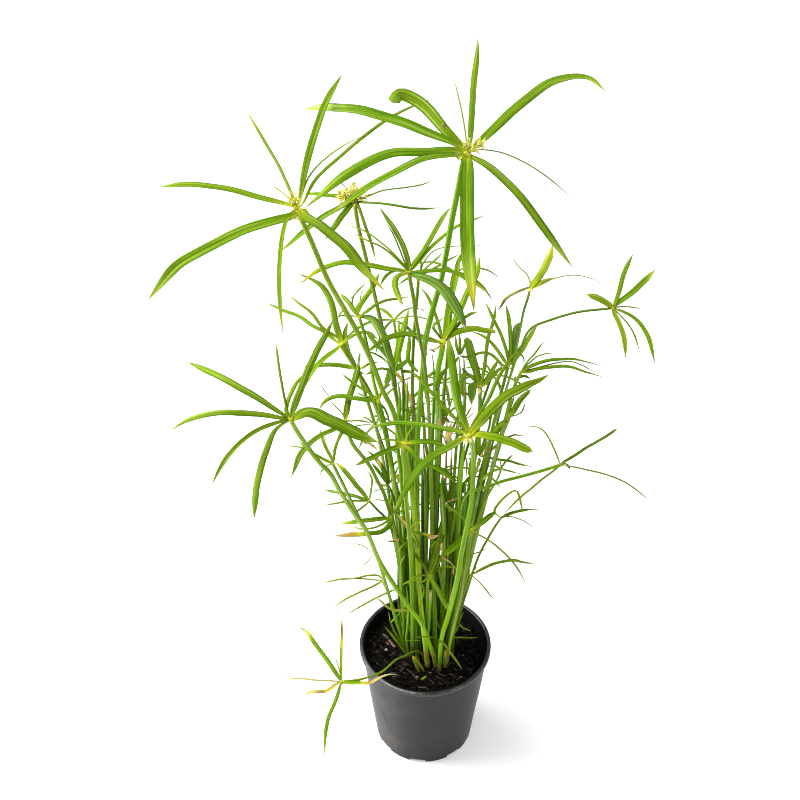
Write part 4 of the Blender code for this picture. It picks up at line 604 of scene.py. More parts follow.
def bract_points(hub, normal, uvs, a, b, reach):
    """Where the sight lines of a bract meet its arched surface:
    height above the whorl's plane = a r - b r^2 / reach."""
    pts = [hub]
    last = None
    for u, v in uvs:
        d = sight(u, v)
        s0 = float(np.dot(normal, hub - np.array(EYE)) / np.dot(normal, d))
        span = np.linspace(-0.34, 0.34, 171)
        s = (s0 if last is None else last) + span
        p = np.array(EYE) + s[:, None] * d
        q = p - hub
        h = q @ normal
        r = np.linalg.norm(q - h[:, None] * normal, axis=1)
        g = h - (a * r - b * r * r / reach)
        cross = np.nonzero(np.sign(g[:-1]) != np.sign(g[1:]))[0]
        if not len(cross):
            return None
        best = cross[np.argmin(np.abs(span[cross]))]
        w = g[best] / (g[best] - g[best + 1])
        last = s[best] + w * (s[best + 1] - s[best])
        pts.append(np.array(EYE) + last * d)
    return pts


def blade_frames(line):
    """Direction, side and face normal along a blade, its side kept level."""
    t = np.gradient(line, axis=0)
    t /= np.maximum(np.linalg.norm(t, axis=1, keepdims=True), 1e-12)
    side = np.cross(t, (0.0, 0.0, 1.0))
    n = np.linalg.norm(side, axis=1)
    good = np.nonzero(n > 0.12)[0]
    if not len(good):
        side[:] = (1.0, 0.0, 0.0)
    else:
        for i in range(len(side)):
            if n[i] <= 0.12:
                side[i] = side[good[np.argmin(np.abs(good - i))]]
    for i in range(1, len(side)):
        if np.dot(side[i], side[i - 1]) < 0:
            side[i] = -side[i]
    side -= np.sum(side * t, axis=1, keepdims=True) * t
    side /= np.maximum(np.linalg.norm(side, axis=1, keepdims=True), 1e-12)
    return t, side, np.cross(side, t)


def blade_width(x):
    """Share of a bract's full width at x, from its foot (0) to its tip (1)."""
    x = np.asarray(x, float)
    rise = 0.42 + 0.58 * np.clip(x / 0.22, 0.0, 1.0) ** 0.8
    fall = np.clip((1.0 - x) / 0.62, 0.0, 1.0) ** 0.72
    return rise * fall


def plan():
    """Places every culm and bract. Same result each time."""
    shoots = []
    for i, sh in enumerate(SHOOTS):
        sh = dict(sh)
        hub = at_depth(sh["hub"][0], sh["hub"][1], sh["y"])
        sh["hub3"] = hub
        sh["r0"] = 0.5 * sh["w"][0] * scale_at(hub)
        sh["r1"] = 0.5 * sh["w"][1] * 0.00125
        if sh["foot"]:
            f = at_height(sh["foot"][0], sh["foot"][1], SOIL_Z)
            sh["xy"] = (float(f[0]), float(f[1]))
        shoots.append(sh)
    for name, xyz, count, length, turn, width in HIDDEN:
        shoots.append(dict(name=name, xyz=xyz, hub3=np.array(xyz), r0=0.0015, r1=0.0019,
                           tone="d", y=xyz[1], bracts=(), count=count, length=length,
                           turn=turn, width=width, foot=None, w=(3, 3)))
    for sh in shoots:
        if "xy" not in sh:
            out = np.array(sh["hub3"][:2]) - np.array(CLUMP)
            q = out * 0.26
            k = math.hypot(q[0] / CLUMP_R[0], q[1] / CLUMP_R[1])
            if k > 1.0:
                q /= k
            sh["xy"] = (CLUMP[0] + float(q[0]), CLUMP[1] + float(q[1]))
        sh["rank"] = sh["y"]
    spread_feet(shoots)
    lines = [resample(culm_line(sh), 90) for sh in shoots]
    lines = spread_culms(shoots, lines)
    placed = []          # (point, radius, shoot) of everything that stands in the way
    for i, (sh, line) in enumerate(zip(shoots, lines)):
        sh["line"] = line
        sh["hub3"] = line[-1].copy()
        dense = resample(line, max(8, int(arc_lengths(line)[-1] / 0.004)))
        for k, p in enumerate(dense):
            x = k / (len(dense) - 1)
            placed.append((p, sh["r1"] + (sh["r0"] - sh["r1"]) * x, i))
    for i, sh in enumerate(shoots):
        tip_way = sh["line"][-1] - sh["line"][-7]
        tip_way /= np.linalg.norm(tip_way)
        normal = 0.45 * tip_way + 0.75 * np.array((0.0, 0.0, 1.0)) + np.array((0.0, -0.10, 0.0))
        normal /= np.linalg.norm(normal)
        sh["normal"] = normal
        hub = sh["hub3"]
        leaves = []
        if sh["bracts"]:
            mpp = scale_at(hub)
            lens = []
            for w, tone, tip, uvs in sh["bracts"]:
                q = np.array([project(hub)] + [tuple(c) for c in uvs])
                lens.append(float(np.sum(np.linalg.norm(np.diff(q, axis=0), axis=1))) * mpp)
            reach = max(lens)
            for (w, tone, tip, uvs), flat in zip(sh["bracts"], lens):
                options = []
                for a in np.arange(-1.1, 1.61, 0.09):
                    for b in (0.45, 0.2, 0.75):
                        pts = bract_points(hub, normal, uvs, a, b, max(flat, 0.4 * reach))
                        if pts is None:
                            continue
                        length = arc_lengths(np.array(pts))[-1]
                        cost = (a - 0.35) ** 2 + 0.6 * (b - 0.45) ** 2
                        cost += 6.0 * max(0.0, length / (1.12 * reach) - 1.0) ** 2
                        cost += 0.35 * (length / flat - 1.0) ** 2
                        low = min(p[2] for p in pts)
                        if low < 0.020:
                            cost += 5.0
                        options.append((cost, pts, length))
                options.sort(key=lambda o: o[0])
                leaves.append(dict(w=w, tone=tone, tip=tip, options=options))
        else:
            rnd = random.Random(int(sh["name"]) * 7919)
            for k in range(sh["count"]):
                ang = sh["turn"] + 2 * math.pi * (k + rnd.uniform(-0.22, 0.22)) / sh["count"]
                length = sh["length"] * rnd.uniform(0.72, 1.08)
                options = []
                for a in (0.45, 0.30, 0.60, 0.15, 0.75, 0.0, 0.9, -0.15):
                    for da in (0.0, 0.12, -0.12, 0.24, -0.24):
                        ex = np.array((math.cos(ang + da), math.sin(ang + da), 0.0))
                        ex -= normal * np.dot(ex, normal)
                        ex /= np.linalg.norm(ex)
                        pts = []
                        for x in np.linspace(0.0, 0.9, 7):
                            r = x * length
                            pts.append(hub + ex * r + normal * (a * r - 0.75 * r * r / length))
                        options.append((abs(a - 0.45) + abs(da), pts, length))
                options.sort(key=lambda o: o[0])
                leaves.append(dict(w=None, width=sh["width"] * rnd.uniform(0.75, 1.1),
                                   tone=rnd.choice("dgd"), tip="n", options=options))
        sh["leaves"] = leaves
    # Widest bracts choose their place first.
    order = []
    for i, sh in enumerate(shoots):
        for k, leaf in enumerate(sh["leaves"]):
            if leaf["w"] is not None:
                mid = leaf["options"][0][1][len(leaf["options"][0][1]) // 2]
                leaf["width"] = leaf["w"] * scale_at(mid) / 0.93
            order.append((-leaf["width"], i, k))
    order.sort()
    tree = mathutils.kdtree.KDTree(len(placed) + 60000)
    stock = list(placed)
    grown = 0
    for n, (p, r, i) in enumerate(stock):
        tree.insert(p, n)
    tree.balance()
    extra = []           # bracts placed since the tree was balanced
    since = 0
    for _, i, k in order:
        sh = shoots[i]
        leaf = sh["leaves"][k]
        hub = sh["hub3"]
        chosen = None
        best_gap = None
        for rank, (cost, pts, length) in enumerate(leaf["options"][:70]):
            line = catmull(pts, 6)
            n = max(6, int(length / 0.0045))
            line = resample(line, n)
            _t, side, face = blade_frames(line)
            x = np.linspace(0.0, 1.0, n)
            half = 0.5 * leaf["width"] * blade_width(x)
            gap = 1.0
            samples = []
            for c in (-0.85, 0.0, 0.85):
                pp = line + side * (half * c)[:, None]
                rr = half * 0.42 + 0.0007
                for q in range(n):
                    samples.append((pp[q], rr[q]))
            far = [s for s in samples if np.linalg.norm(s[0] - hub) > 0.0075]
            for p, r in far:
                for co, idx, dist in tree.find_range(p, r + 0.0066):
                    _p, r2, owner = stock[idx]
                    if owner == i and (_p is not None) and stock[idx][1] < 0 :
                        continue
                    if owner == i and idx >= len(placed):
                        continue
                    gap = min(gap, dist - r - r2)
                if gap < 0.0004:
                    break
            if gap >= 0.0004:
                for p, r in far:
                    for q, r2, owner in extra:
                        if owner == i:
                            continue
                        d = math.dist(p, q)
                        if d - r - r2 < gap:
                            gap = d - r - r2
                    if gap < 0.0004:
                        break
            if best_gap is None or gap > best_gap[0]:
                best_gap = (gap, line, samples)
            if gap >= 0.0004:
                chosen = (line, samples)
                break
        leaf["clear"] = chosen is not None
        if chosen is None:
            chosen = best_gap[1:]
        leaf["line"], samples = chosen
        leaf["length"] = float(arc_lengths(leaf["line"])[-1])
        del leaf["options"]
        if leaf["clear"]:
            extra += [(tuple(map(float, p)), r, i) for p, r in samples]
            since += 1
        if since >= 6:
            stock += [(np.array(p), r, o) for p, r, o in extra]
            extra = []
            since = 0
            tree = mathutils.kdtree.KDTree(len(stock))
            for n2, (p, r, o) in enumerate(stock):
                tree.insert(p, n2)
            tree.balance()
    return shoots


# ---------------------------------------------------------------------------
# Camera: looks along +Y, PITCH below the horizon, FOCAL view units long
# ---------------------------------------------------------------------------
scene = bpy.context.scene
cam_data = bpy.data.cameras.new("view")
cam_data.sensor_width = 36.0
cam_data.lens = 36.0 * FOCAL / 800.0
cam_data.clip_start = 0.05
cam_data.clip_end = 100.0
cam = bpy.data.objects.new("view", cam_data)
cam.location = EYE
cam.rotation_euler = (math.pi / 2 - PITCH, 0.0, 0.0)
scene.collection.objects.link(cam)
scene.camera = cam
scene.view_settings.view_transform = "Standard"
scene.view_settings.look = "None"
scene.cycles.filter_width = 1.1


# ---------------------------------------------------------------------------
# Materials
# ---------------------------------------------------------------------------
class Shade:
    """A Principled material with short helpers for its node tree."""

    def __init__(self, name, rough=0.5, spec=0.5, gloss=(1.0, 1.0, 1.0)):
        self.mat = bpy.data.materials.new(name)
        self.mat.use_nodes = True
        self.nt = self.mat.node_tree
        self.nt.nodes.clear()
        self.out = self.nt.nodes.new("ShaderNodeOutputMaterial")
        self.b = self.nt.nodes.new("ShaderNodeBsdfPrincipled")
        self.nt.links.new(self.b.outputs[0], self.out.inputs[0])
        self.b.inputs["Roughness"].default_value = rough
        self.b.inputs["Specular IOR Level"].default_value = spec
        self.b.inputs["Specular Tint"].default_value = (*gloss, 1.0)

    def link(self, a, b):
        self.nt.links.new(a, b)

    def put(self, sock, value):
        if hasattr(value, "is_output"):
            self.link(value, sock)
        else:
            sock.default_value = value

    def math(self, op, a, b=0.0, c=0.0, clamp=False):
        n = self.nt.nodes.new("ShaderNodeMath")
        n.operation = op
        n.use_clamp = clamp
        for s, v in zip(n.inputs, (a, b, c)):
            self.put(s, v)
        return n.outputs[0]

    def mix(self, f, a, b, kind="MIX"):
        n = self.nt.nodes.new("ShaderNodeMix")
        n.data_type = "RGBA"
        n.blend_type = kind
        n.clamp_factor = True
        self.put(n.inputs[0], f)
        self.put(n.inputs[6], a if hasattr(a, "is_output") else (*a, 1.0))
        self.put(n.inputs[7], b if hasattr(b, "is_output") else (*b, 1.0))
        return n.outputs[2]

    def attr(self, name):
        n = self.nt.nodes.new("ShaderNodeAttribute")
        n.attribute_type = "GEOMETRY"
        n.attribute_name = name
        return n

    def uv(self):
        n = self.nt.nodes.new("ShaderNodeUVMap")
        n.uv_map = "blade"
        s = self.nt.nodes.new("ShaderNodeSeparateXYZ")
        self.link(n.outputs[0], s.inputs[0])
        return s.outputs[0], s.outputs[1]

    def xyz(self, x, y, z=0.0):
        n = self.nt.nodes.new("ShaderNodeCombineXYZ")
        for s, v in zip(n.inputs, (x, y, z)):
            self.put(s, v)
        return n.outputs[0]

    def here(self):
        return self.nt.nodes.new("ShaderNodeTexCoord").outputs["Object"]

    def noise(self, vec, scale, detail=2.0, rough=0.5):
        n = self.nt.nodes.new("ShaderNodeTexNoise")
        self.link(vec, n.inputs["Vector"])
        n.inputs["Scale"].default_value = scale
        n.inputs["Detail"].default_value = detail
        n.inputs["Roughness"].default_value = rough
        return n.outputs["Fac"]

    def cells(self, vec, scale, feature="F1"):
        n = self.nt.nodes.new("ShaderNodeTexVoronoi")
        n.feature = feature
        self.link(vec, n.inputs["Vector"])
        n.inputs["Scale"].default_value = scale
        return n.outputs[0]

    def ramp(self, x, lo, hi, a=0.0, b=1.0):
        n = self.nt.nodes.new("ShaderNodeMapRange")
        n.interpolation_type = "SMOOTHSTEP"
        self.put(n.inputs[0], x)
        n.inputs[1].default_value = lo
        n.inputs[2].default_value = hi
        n.inputs[3].default_value = a
        n.inputs[4].default_value = b
        return n.outputs[0]

    def bump(self, height, distance, strength=1.0, normal=None):
        n = self.nt.nodes.new("ShaderNodeBump")
        n.inputs["Strength"].default_value = strength
        n.inputs["Distance"].default_value = distance
        self.link(height, n.inputs["Height"])
        if normal is not None:
            self.link(normal, n.inputs["Normal"])
        return n.outputs[0]


def leaf_material():
    """A bract: parallel veins, a pale midrib, a dull waxy gloss; painted highlight and painted shade in streaks along
    it, a painted waxy sheen in pale streaks, and the fold's painted light and shade: lighter ridges, darker edges.
    """
    s = Shade("bract_skin", 0.46, 0.055, (0.85, 1.0, 0.30))
    u, v = s.uv()
    tint = s.attr("tint").outputs["Color"]
    dry = s.attr("dry").outputs["Fac"]
    where = s.here()
    wob = s.noise(s.xyz(s.math("MULTIPLY", u, 3.0), s.math("MULTIPLY", v, 30.0)), 1.0, 2.0)
    veins = s.math("SINE", s.math("ADD", s.math("MULTIPLY", u, 2 * math.pi * 13.0),
                                  s.math("MULTIPLY", wob, 2.4)))
    streak = s.noise(s.xyz(s.math("MULTIPLY", u, 16.0), s.math("MULTIPLY", v, 22.0)), 1.0, 3.0, 0.6)
    broad = s.noise(where, 42.0, 2.0)
    fine = s.noise(where, 900.0, 2.0)
    off = s.math("ABSOLUTE", s.math("SUBTRACT", u, 0.5))
    mid = s.ramp(off, 0.018, 0.062, 1.0, 0.0)
    # ridge and rim are masks of the painted highlight on the ridges beside the midrib and of the painted shade on the
    # edges
    ridge = s.math("MULTIPLY", s.ramp(off, 0.05, 0.14), s.ramp(off, 0.24, 0.36, 1.0, 0.0))
    rim = s.ramp(off, 0.34, 0.5, 0.0, 1.0)
    # lit and shaded copies of the tint, and a pale one: painted highlight, painted shade and painted waxy sheen
    lit = s.mix(1.0, tint, (1.7, 1.5, 1.5), "MULTIPLY")
    light = s.mix(0.50, lit, (0.34, 0.49, 0.010))
    pale = s.mix(0.62, tint, (0.56, 0.70, 0.22))
    shaded = s.mix(1.0, tint, (0.34, 0.48, 0.30), "MULTIPLY")
    wide = s.noise(s.xyz(s.math("MULTIPLY", u, 4.2), s.math("MULTIPLY", v, 9.0)), 1.0, 2.0, 0.5)
    # painted highlight and painted shade in streaks, patches and long bands, with pale bands of painted waxy sheen
    col = s.mix(s.math("MULTIPLY", s.ramp(streak, 0.34, 0.70), 0.42), tint, light)
    col = s.mix(s.math("MULTIPLY", s.ramp(broad, 0.34, 0.68), 0.42), col, shaded)
    col = s.mix(s.ramp(wide, 0.48, 0.62, 0.0, 0.55), col, light)
    col = s.mix(s.ramp(wide, 0.28, 0.48, 0.68, 0.0), col, shaded)
    col = s.mix(s.ramp(wide, 0.56, 0.72, 0.0, 0.66), col, pale)
    # painted highlight on the ridges either side of the midrib
    col = s.mix(s.math("MULTIPLY", ridge, 0.25), col, light)
    # painted shade on the blade's edges
    col = s.mix(s.math("MULTIPLY", rim, 0.50), col, shaded)
    col = s.mix(s.ramp(veins, -0.2, 1.0, 0.0, 0.22), col, light)
    col = s.mix(s.math("MULTIPLY", mid, 0.42), col, (0.36, 0.50, 0.045))
    spots = s.ramp(s.cells(where, 330.0), 0.10, 0.22, 1.0, 0.0)
    col = s.mix(s.math("MULTIPLY", spots, s.math("MULTIPLY_ADD", dry, 0.7, 0.05)), col,
                (0.10, 0.055, 0.020))
    col = s.mix(dry, col, s.mix(0.35, tint, s.mix(s.ramp(streak, 0.35, 0.65), (0.20, 0.11, 0.045),
                                                  (0.62, 0.47, 0.25))))
    s.link(col, s.b.inputs["Base Color"])
    s.link(s.math("ADD", s.math("MULTIPLY_ADD", streak, 0.22, 0.32),
                  s.math("MULTIPLY", dry, 0.35)), s.b.inputs["Roughness"])
    h = s.math("ADD", s.math("MULTIPLY", veins, 0.5), s.math("MULTIPLY", fine, 0.25))
    h = s.math("ADD", h, s.math("MULTIPLY", mid, -1.2))
    s.link(s.bump(h, 0.00016, 0.85), s.b.inputs["Normal"])
    s.b.inputs["Subsurface Weight"].default_value = 0.14
    s.b.inputs["Subsurface Radius"].default_value = (0.35, 0.85, 0.06)
    s.b.inputs["Subsurface Scale"].default_value = 0.0020
    return s.mat


def culm_material():
    """A culm: fine ribs along it, painted highlight and painted shade in streaks and patches, pale streaks of painted
    waxy sheen, sheath colours at its foot.
    """
    s = Shade("culm_skin", 0.46, 0.055, (0.85, 1.0, 0.30))
    u, v = s.uv()
    tint = s.attr("tint").outputs["Color"]
    dry = s.attr("dry").outputs["Fac"]
    where = s.here()
    wob = s.noise(s.xyz(s.math("MULTIPLY", u, 4.0), s.math("MULTIPLY", v, 14.0)), 1.0, 2.0)
    ribs = s.math("SINE", s.math("ADD", s.math("MULTIPLY", u, 2 * math.pi * 21.0),
                                 s.math("MULTIPLY", wob, 2.0)))
    streak = s.noise(s.xyz(s.math("MULTIPLY", u, 22.0), s.math("MULTIPLY", v, 12.0)), 1.0, 3.0, 0.6)
    broad = s.noise(where, 30.0, 2.0)
    # lit and shaded copies of the tint, and a pale one: painted highlight, painted shade and painted waxy sheen
    lit = s.mix(1.0, tint, (1.7, 1.5, 1.6), "MULTIPLY")
    light = s.mix(0.50, lit, (0.36, 0.50, 0.020))
    pale = s.mix(0.70, tint, (0.60, 0.70, 0.28))
    shaded = s.mix(1.0, tint, (0.36, 0.50, 0.30), "MULTIPLY")
    wide = s.noise(s.xyz(s.math("MULTIPLY", u, 5.0), s.math("MULTIPLY", v, 6.0)), 1.0, 2.0, 0.5)
    # painted highlight and painted shade in streaks, patches and long bands, with pale bands of painted waxy sheen
    col = s.mix(s.math("MULTIPLY", s.ramp(streak, 0.34, 0.70), 0.50), tint, light)
    col = s.mix(s.math("MULTIPLY", s.ramp(broad, 0.32, 0.70), 0.34), col, shaded)
    col = s.mix(s.ramp(wide, 0.48, 0.62, 0.0, 0.55), col, light)
    col = s.mix(s.ramp(wide, 0.30, 0.48, 0.72, 0.0), col, shaded)
    col = s.mix(s.ramp(wide, 0.55, 0.68, 0.0, 0.80), col, pale)
    col = s.mix(s.ramp(ribs, -0.3, 1.0, 0.0, 0.24), col, light)
    col = s.mix(s.math("MULTIPLY", dry, 0.85), col,
                s.mix(0.45, tint, s.mix(s.ramp(streak, 0.35, 0.65), (0.14, 0.070, 0.035),
                                        (0.50, 0.36, 0.17))))
    s.link(col, s.b.inputs["Base Color"])
    s.link(s.math("ADD", s.math("MULTIPLY_ADD", streak, 0.18, 0.33),
                  s.math("MULTIPLY", dry, 0.30)), s.b.inputs["Roughness"])
    s.link(s.bump(s.math("ADD", ribs, s.math("MULTIPLY", s.noise(where, 1300.0), 0.4)),
                  0.00011, 0.8), s.b.inputs["Normal"])
    s.b.inputs["Subsurface Weight"].default_value = 0.12
    s.b.inputs["Subsurface Radius"].default_value = (0.4, 0.8, 0.12)
    s.b.inputs["Subsurface Scale"].default_value = 0.0020
    return s.mat


def pot_material():
    """Moulded black polypropylene: dull, finely pebbled, dusty and scuffed, with painted light on its left flank."""
    s = Shade("pot_skin", 0.46, 0.20, (0.90, 0.94, 1.0))
    where = s.here()
    split = s.nt.nodes.new("ShaderNodeSeparateXYZ")
    s.link(where, split.inputs[0])
    x, y, z = split.outputs
    ang = s.math("ARCTAN2", y, x)
    tall = s.xyz(s.math("MULTIPLY", ang, 9.0), s.math("MULTIPLY", z, 9.0))
    drag = s.noise(tall, 2.2, 4.0, 0.6)
    broad = s.noise(where, 26.0, 3.0)
    fine = s.noise(where, 1500.0, 2.0)
    grain = s.noise(where, 420.0, 3.0, 0.65)
    dirt = s.ramp(z, 0.0, 0.050, 0.55, 0.0)
    dust = s.math("MULTIPLY", s.ramp(s.noise(where, 70.0, 5.0, 0.7), 0.42, 0.78), 1.0)
    col = s.mix(s.ramp(drag, 0.30, 0.75), (0.0048, 0.0051, 0.0074), (0.0082, 0.0086, 0.0116))
    col = s.mix(s.math("MULTIPLY", s.ramp(broad, 0.35, 0.75), 0.30), col, (0.016, 0.0155, 0.016))
    # painted light: the left flank, on the lamps' side, is painted a paler grey in blotches, and browner low down
    left = s.ramp(x, -0.045, 0.002, 1.0, 0.0)
    lit_left_haze = s.math("MULTIPLY", left, s.ramp(s.noise(where, 34.0, 4.0, 0.65), 0.32, 0.66))
    col = s.mix(s.math("MULTIPLY", lit_left_haze, 0.45), col, (0.052, 0.049, 0.045))
    lit_left_low = s.math("MULTIPLY", lit_left_haze, s.ramp(z, 0.0, 0.075, 1.0, 0.0))
    col = s.mix(s.math("MULTIPLY", lit_left_low, 0.60), col, (0.070, 0.055, 0.040))
    col = s.mix(s.math("MULTIPLY", dirt, dust), col, (0.034, 0.029, 0.024))
    specks = s.ramp(s.cells(where, 240.0), 0.05, 0.13, 1.0, 0.0)
    col = s.mix(s.math("MULTIPLY", specks, s.math("MULTIPLY", dust, 0.35)), col,
                (0.12, 0.115, 0.105))
    inner = s.attr("inner").outputs["Fac"]
    col = s.mix(inner, col, (0.006, 0.006, 0.006))
    s.link(col, s.b.inputs["Base Color"])
    r = s.math("MULTIPLY_ADD", drag, 0.14, 0.36)
    r = s.math("ADD", r, s.math("MULTIPLY", s.math("MULTIPLY", dirt, dust), 0.3))
    rim = s.attr("rim").outputs["Fac"]
    r = s.math("SUBTRACT", r, s.math("MULTIPLY", rim, 0.12))
    s.link(r, s.b.inputs["Roughness"])
    h = s.math("ADD", s.math("MULTIPLY", grain, 0.8), s.math("MULTIPLY", fine, 0.35))
    s.link(s.bump(h, 0.00010, 0.75), s.b.inputs["Normal"])
    return s.mat


def rim_material():
    """The rolled rim: the same plastic, rubbed smooth and a little greasy, with a painted highlight along its outer
    edge.
    """
    s = Shade("rim_skin", 0.30, 0.50)
    where = s.here()
    split = s.nt.nodes.new("ShaderNodeSeparateXYZ")
    s.link(where, split.inputs[0])
    x, y, z = split.outputs
    ang = s.math("ARCTAN2", y, x)
    out = s.math("SQRT", s.math("ADD", s.math("MULTIPLY", x, x), s.math("MULTIPLY", y, y)))
    turned = s.noise(s.xyz(s.math("MULTIPLY", ang, 5.0), s.math("MULTIPLY", out, 2600.0),
                           s.math("MULTIPLY", z, 2600.0)), 1.0, 2.0)
    a = s.noise(where, 130.0, 4.0, 0.65)
    b = s.noise(where, 620.0, 3.0, 0.6)
    col = s.mix(s.ramp(a, 0.30, 0.70), (0.0075, 0.0078, 0.0088), (0.016, 0.016, 0.0175))
    col = s.mix(s.ramp(b, 0.62, 0.78, 0.0, 0.5), col, (0.045, 0.042, 0.039))
    # painted highlight: the outer edge is painted pale in places, most on the front left arc, where the lamp's
    # reflection falls
    edge = s.math("MULTIPLY", s.ramp(out, 0.0822, 0.0832), s.ramp(out, 0.0842, 0.0849, 1.0, 0.0))
    painted_glint = s.ramp(s.noise(s.xyz(s.math("MULTIPLY", ang, 2.2), 0.0, 0.0), 1.0, 3.0, 0.6), 0.44, 0.60)
    near = s.math("MULTIPLY", s.ramp(ang, -2.45, -2.15), s.ramp(ang, -1.80, -1.62, 1.0, 0.0))
    painted_glint = s.math("MAXIMUM", s.math("MULTIPLY", painted_glint, 0.45), near)
    painted_glint = s.math("MULTIPLY", painted_glint, s.ramp(b, 0.36, 0.56, 0.35, 1.0))
    col = s.mix(s.math("MULTIPLY", edge, s.math("MULTIPLY", painted_glint, 0.60)), col, (0.27, 0.27, 0.275))
    s.link(col, s.b.inputs["Base Color"])
    s.link(s.math("ADD", s.ramp(a, 0.30, 0.72, 0.20, 0.40), s.ramp(b, 0.55, 0.75, 0.0, 0.14)),
           s.b.inputs["Roughness"])
    s.link(s.bump(s.math("ADD", s.math("MULTIPLY", turned, 0.6), s.math("MULTIPLY", b, 0.8)),
                  0.00010, 0.6), s.b.inputs["Normal"])
    return s.mat


def peat_material():
    s = Shade("peat_skin", 0.92, 0.08)
    where = s.here()
    a = s.noise(where, 160.0, 5.0, 0.7)
    b = s.noise(where, 900.0, 3.0, 0.6)
    c = s.cells(where, 520.0)
    tint = s.attr("tint").outputs["Color"]
    col = s.mix(s.ramp(a, 0.38, 0.72), (0.0006, 0.0005, 0.0004), (0.0060, 0.0042, 0.0030))
    col = s.mix(s.ramp(b, 0.62, 0.80, 0.0, 0.35), col, (0.030, 0.021, 0.015))
    col = s.mix(0.55, col, tint)
    s.link(col, s.b.inputs["Base Color"])
    s.link(s.ramp(b, 0.35, 0.75, 0.55, 0.98), s.b.inputs["Roughness"])
    h = s.math("ADD", s.math("MULTIPLY", b, 0.8), s.math("MULTIPLY", c, 0.5))
    s.link(s.bump(h, 0.0010, 0.9), s.b.inputs["Normal"])
    return s.mat


def chip_material():
    """Bark, twigs and perlite: colour from the piece, grain along it."""
    s = Shade("chip_skin", 0.80, 0.3)
    where = s.here()
    tint = s.attr("tint").outputs["Color"]
    a = s.noise(where, 420.0, 4.0, 0.65)
    b = s.noise(where, 1400.0, 3.0)
    col = s.mix(s.ramp(a, 0.35, 0.68, 0.0, 0.75), tint, (0.030, 0.018, 0.012))
    s.link(col, s.b.inputs["Base Color"])
    s.link(s.bump(s.math("ADD", a, s.math("MULTIPLY", b, 0.5)), 0.0005, 0.9),
           s.b.inputs["Normal"])
    return s.mat


def floret_material():
    s = Shade("spikelet_skin", 0.62, 0.3)
    where = s.here()
    tint = s.attr("tint").outputs["Color"]
    a = s.noise(where, 1100.0, 3.0, 0.6)
    col = s.mix(s.ramp(a, 0.42, 0.70, 0.0, 0.40), tint, (0.50, 0.44, 0.05))
    s.link(col, s.b.inputs["Base Color"])
    s.link(s.bump(a, 0.0002, 0.8), s.b.inputs["Normal"])
    s.b.inputs["Subsurface Weight"].default_value = 0.12
    s.b.inputs["Subsurface Radius"].default_value = (0.8, 0.7, 0.2)
    s.b.inputs["Subsurface Scale"].default_value = 0.0015
    return s.mat


LEAF = leaf_material()
CULM = culm_material()
POT = pot_material()
RIM = rim_material()
PEAT = peat_material()
CHIP = chip_material()
FLORET = floret_material()


# ---------------------------------------------------------------------------
# Meshes gathered from swept sections
# ---------------------------------------------------------------------------
class Heap:
    """Collects closed pieces and makes one mesh of them."""

    def __init__(self):
        self.v, self.f, self.uv, self.tint, self.dry, self.mat = [], [], [], [], [], []
        self.n = 0

    def add(self, verts, faces, uv, tint, dry, mat=0):
        self.v.append(verts)
        self.uv.append(uv)
        self.tint.append(tint)
        self.dry.append(dry)
        self.f += [tuple(i + self.n for i in f) for f in faces]
        self.mat += [mat] * len(faces)
        self.n += len(verts)

    def make(self, name, *materials):
        mesh = bpy.data.meshes.new(name)
        v = np.concatenate(self.v)
        mesh.from_pydata(v.tolist(), [], self.f)
        uv = np.concatenate(self.uv)
        tint = np.concatenate(self.tint)
        dry = np.concatenate(self.dry)
        layer = mesh.uv_layers.new(name="blade")
        loops = np.empty(len(mesh.loops), dtype=np.int32)
        mesh.loops.foreach_get("vertex_index", loops)
        layer.data.foreach_set("uv", uv[loops].astype(np.float32).ravel())
        a = mesh.attributes.new("tint", "FLOAT_COLOR", "POINT")
        a.data.foreach_set("color", np.hstack([tint, np.ones((len(tint), 1))]).astype(np.float32).ravel())
        a = mesh.attributes.new("dry", "FLOAT", "POINT")
        a.data.foreach_set("value", dry.astype(np.float32))
        mesh.polygons.foreach_set("material_index", np.array(self.mat, dtype=np.int32))
        mesh.polygons.foreach_set("use_smooth", np.ones(len(mesh.polygons), dtype=bool))
        for m in materials:
            mesh.materials.append(m)
        mesh.update()
        ob = bpy.data.objects.new(name, mesh)
        scene.collection.objects.link(ob)
        return ob


def lerp(a, b, t):
    t = np.asarray(t)[..., None]
    return a * (1.0 - t) + b * t


def smooth(x, lo, hi):
    t = np.clip((x - lo) / (hi - lo), 0.0, 1.0)
    return t * t * (3 - 2 * t)


TONE = {
    "g": np.array((0.094, 0.196, 0.0040)),
    "b": np.array((0.158, 0.292, 0.0036)),
    "e": np.array((0.076, 0.190, 0.0042)),
    "d": np.array((0.050, 0.122, 0.0035)),
    "y": np.array((0.205, 0.300, 0.0130)),
    "o": np.array((0.145, 0.196, 0.0060)),
    "t": np.array((0.420, 0.280, 0.095)),
}
HUB_TONE = np.array((0.420, 0.480, 0.030))
PALE = np.array((0.420, 0.530, 0.070))
YELLOW = np.array((0.620, 0.520, 0.045))
ORANGE = np.array((0.560, 0.250, 0.040))
BROWN = np.array((0.200, 0.090, 0.032))
TAN = np.array((0.560, 0.400, 0.190))
CREAM = np.array((0.780, 0.680, 0.430))


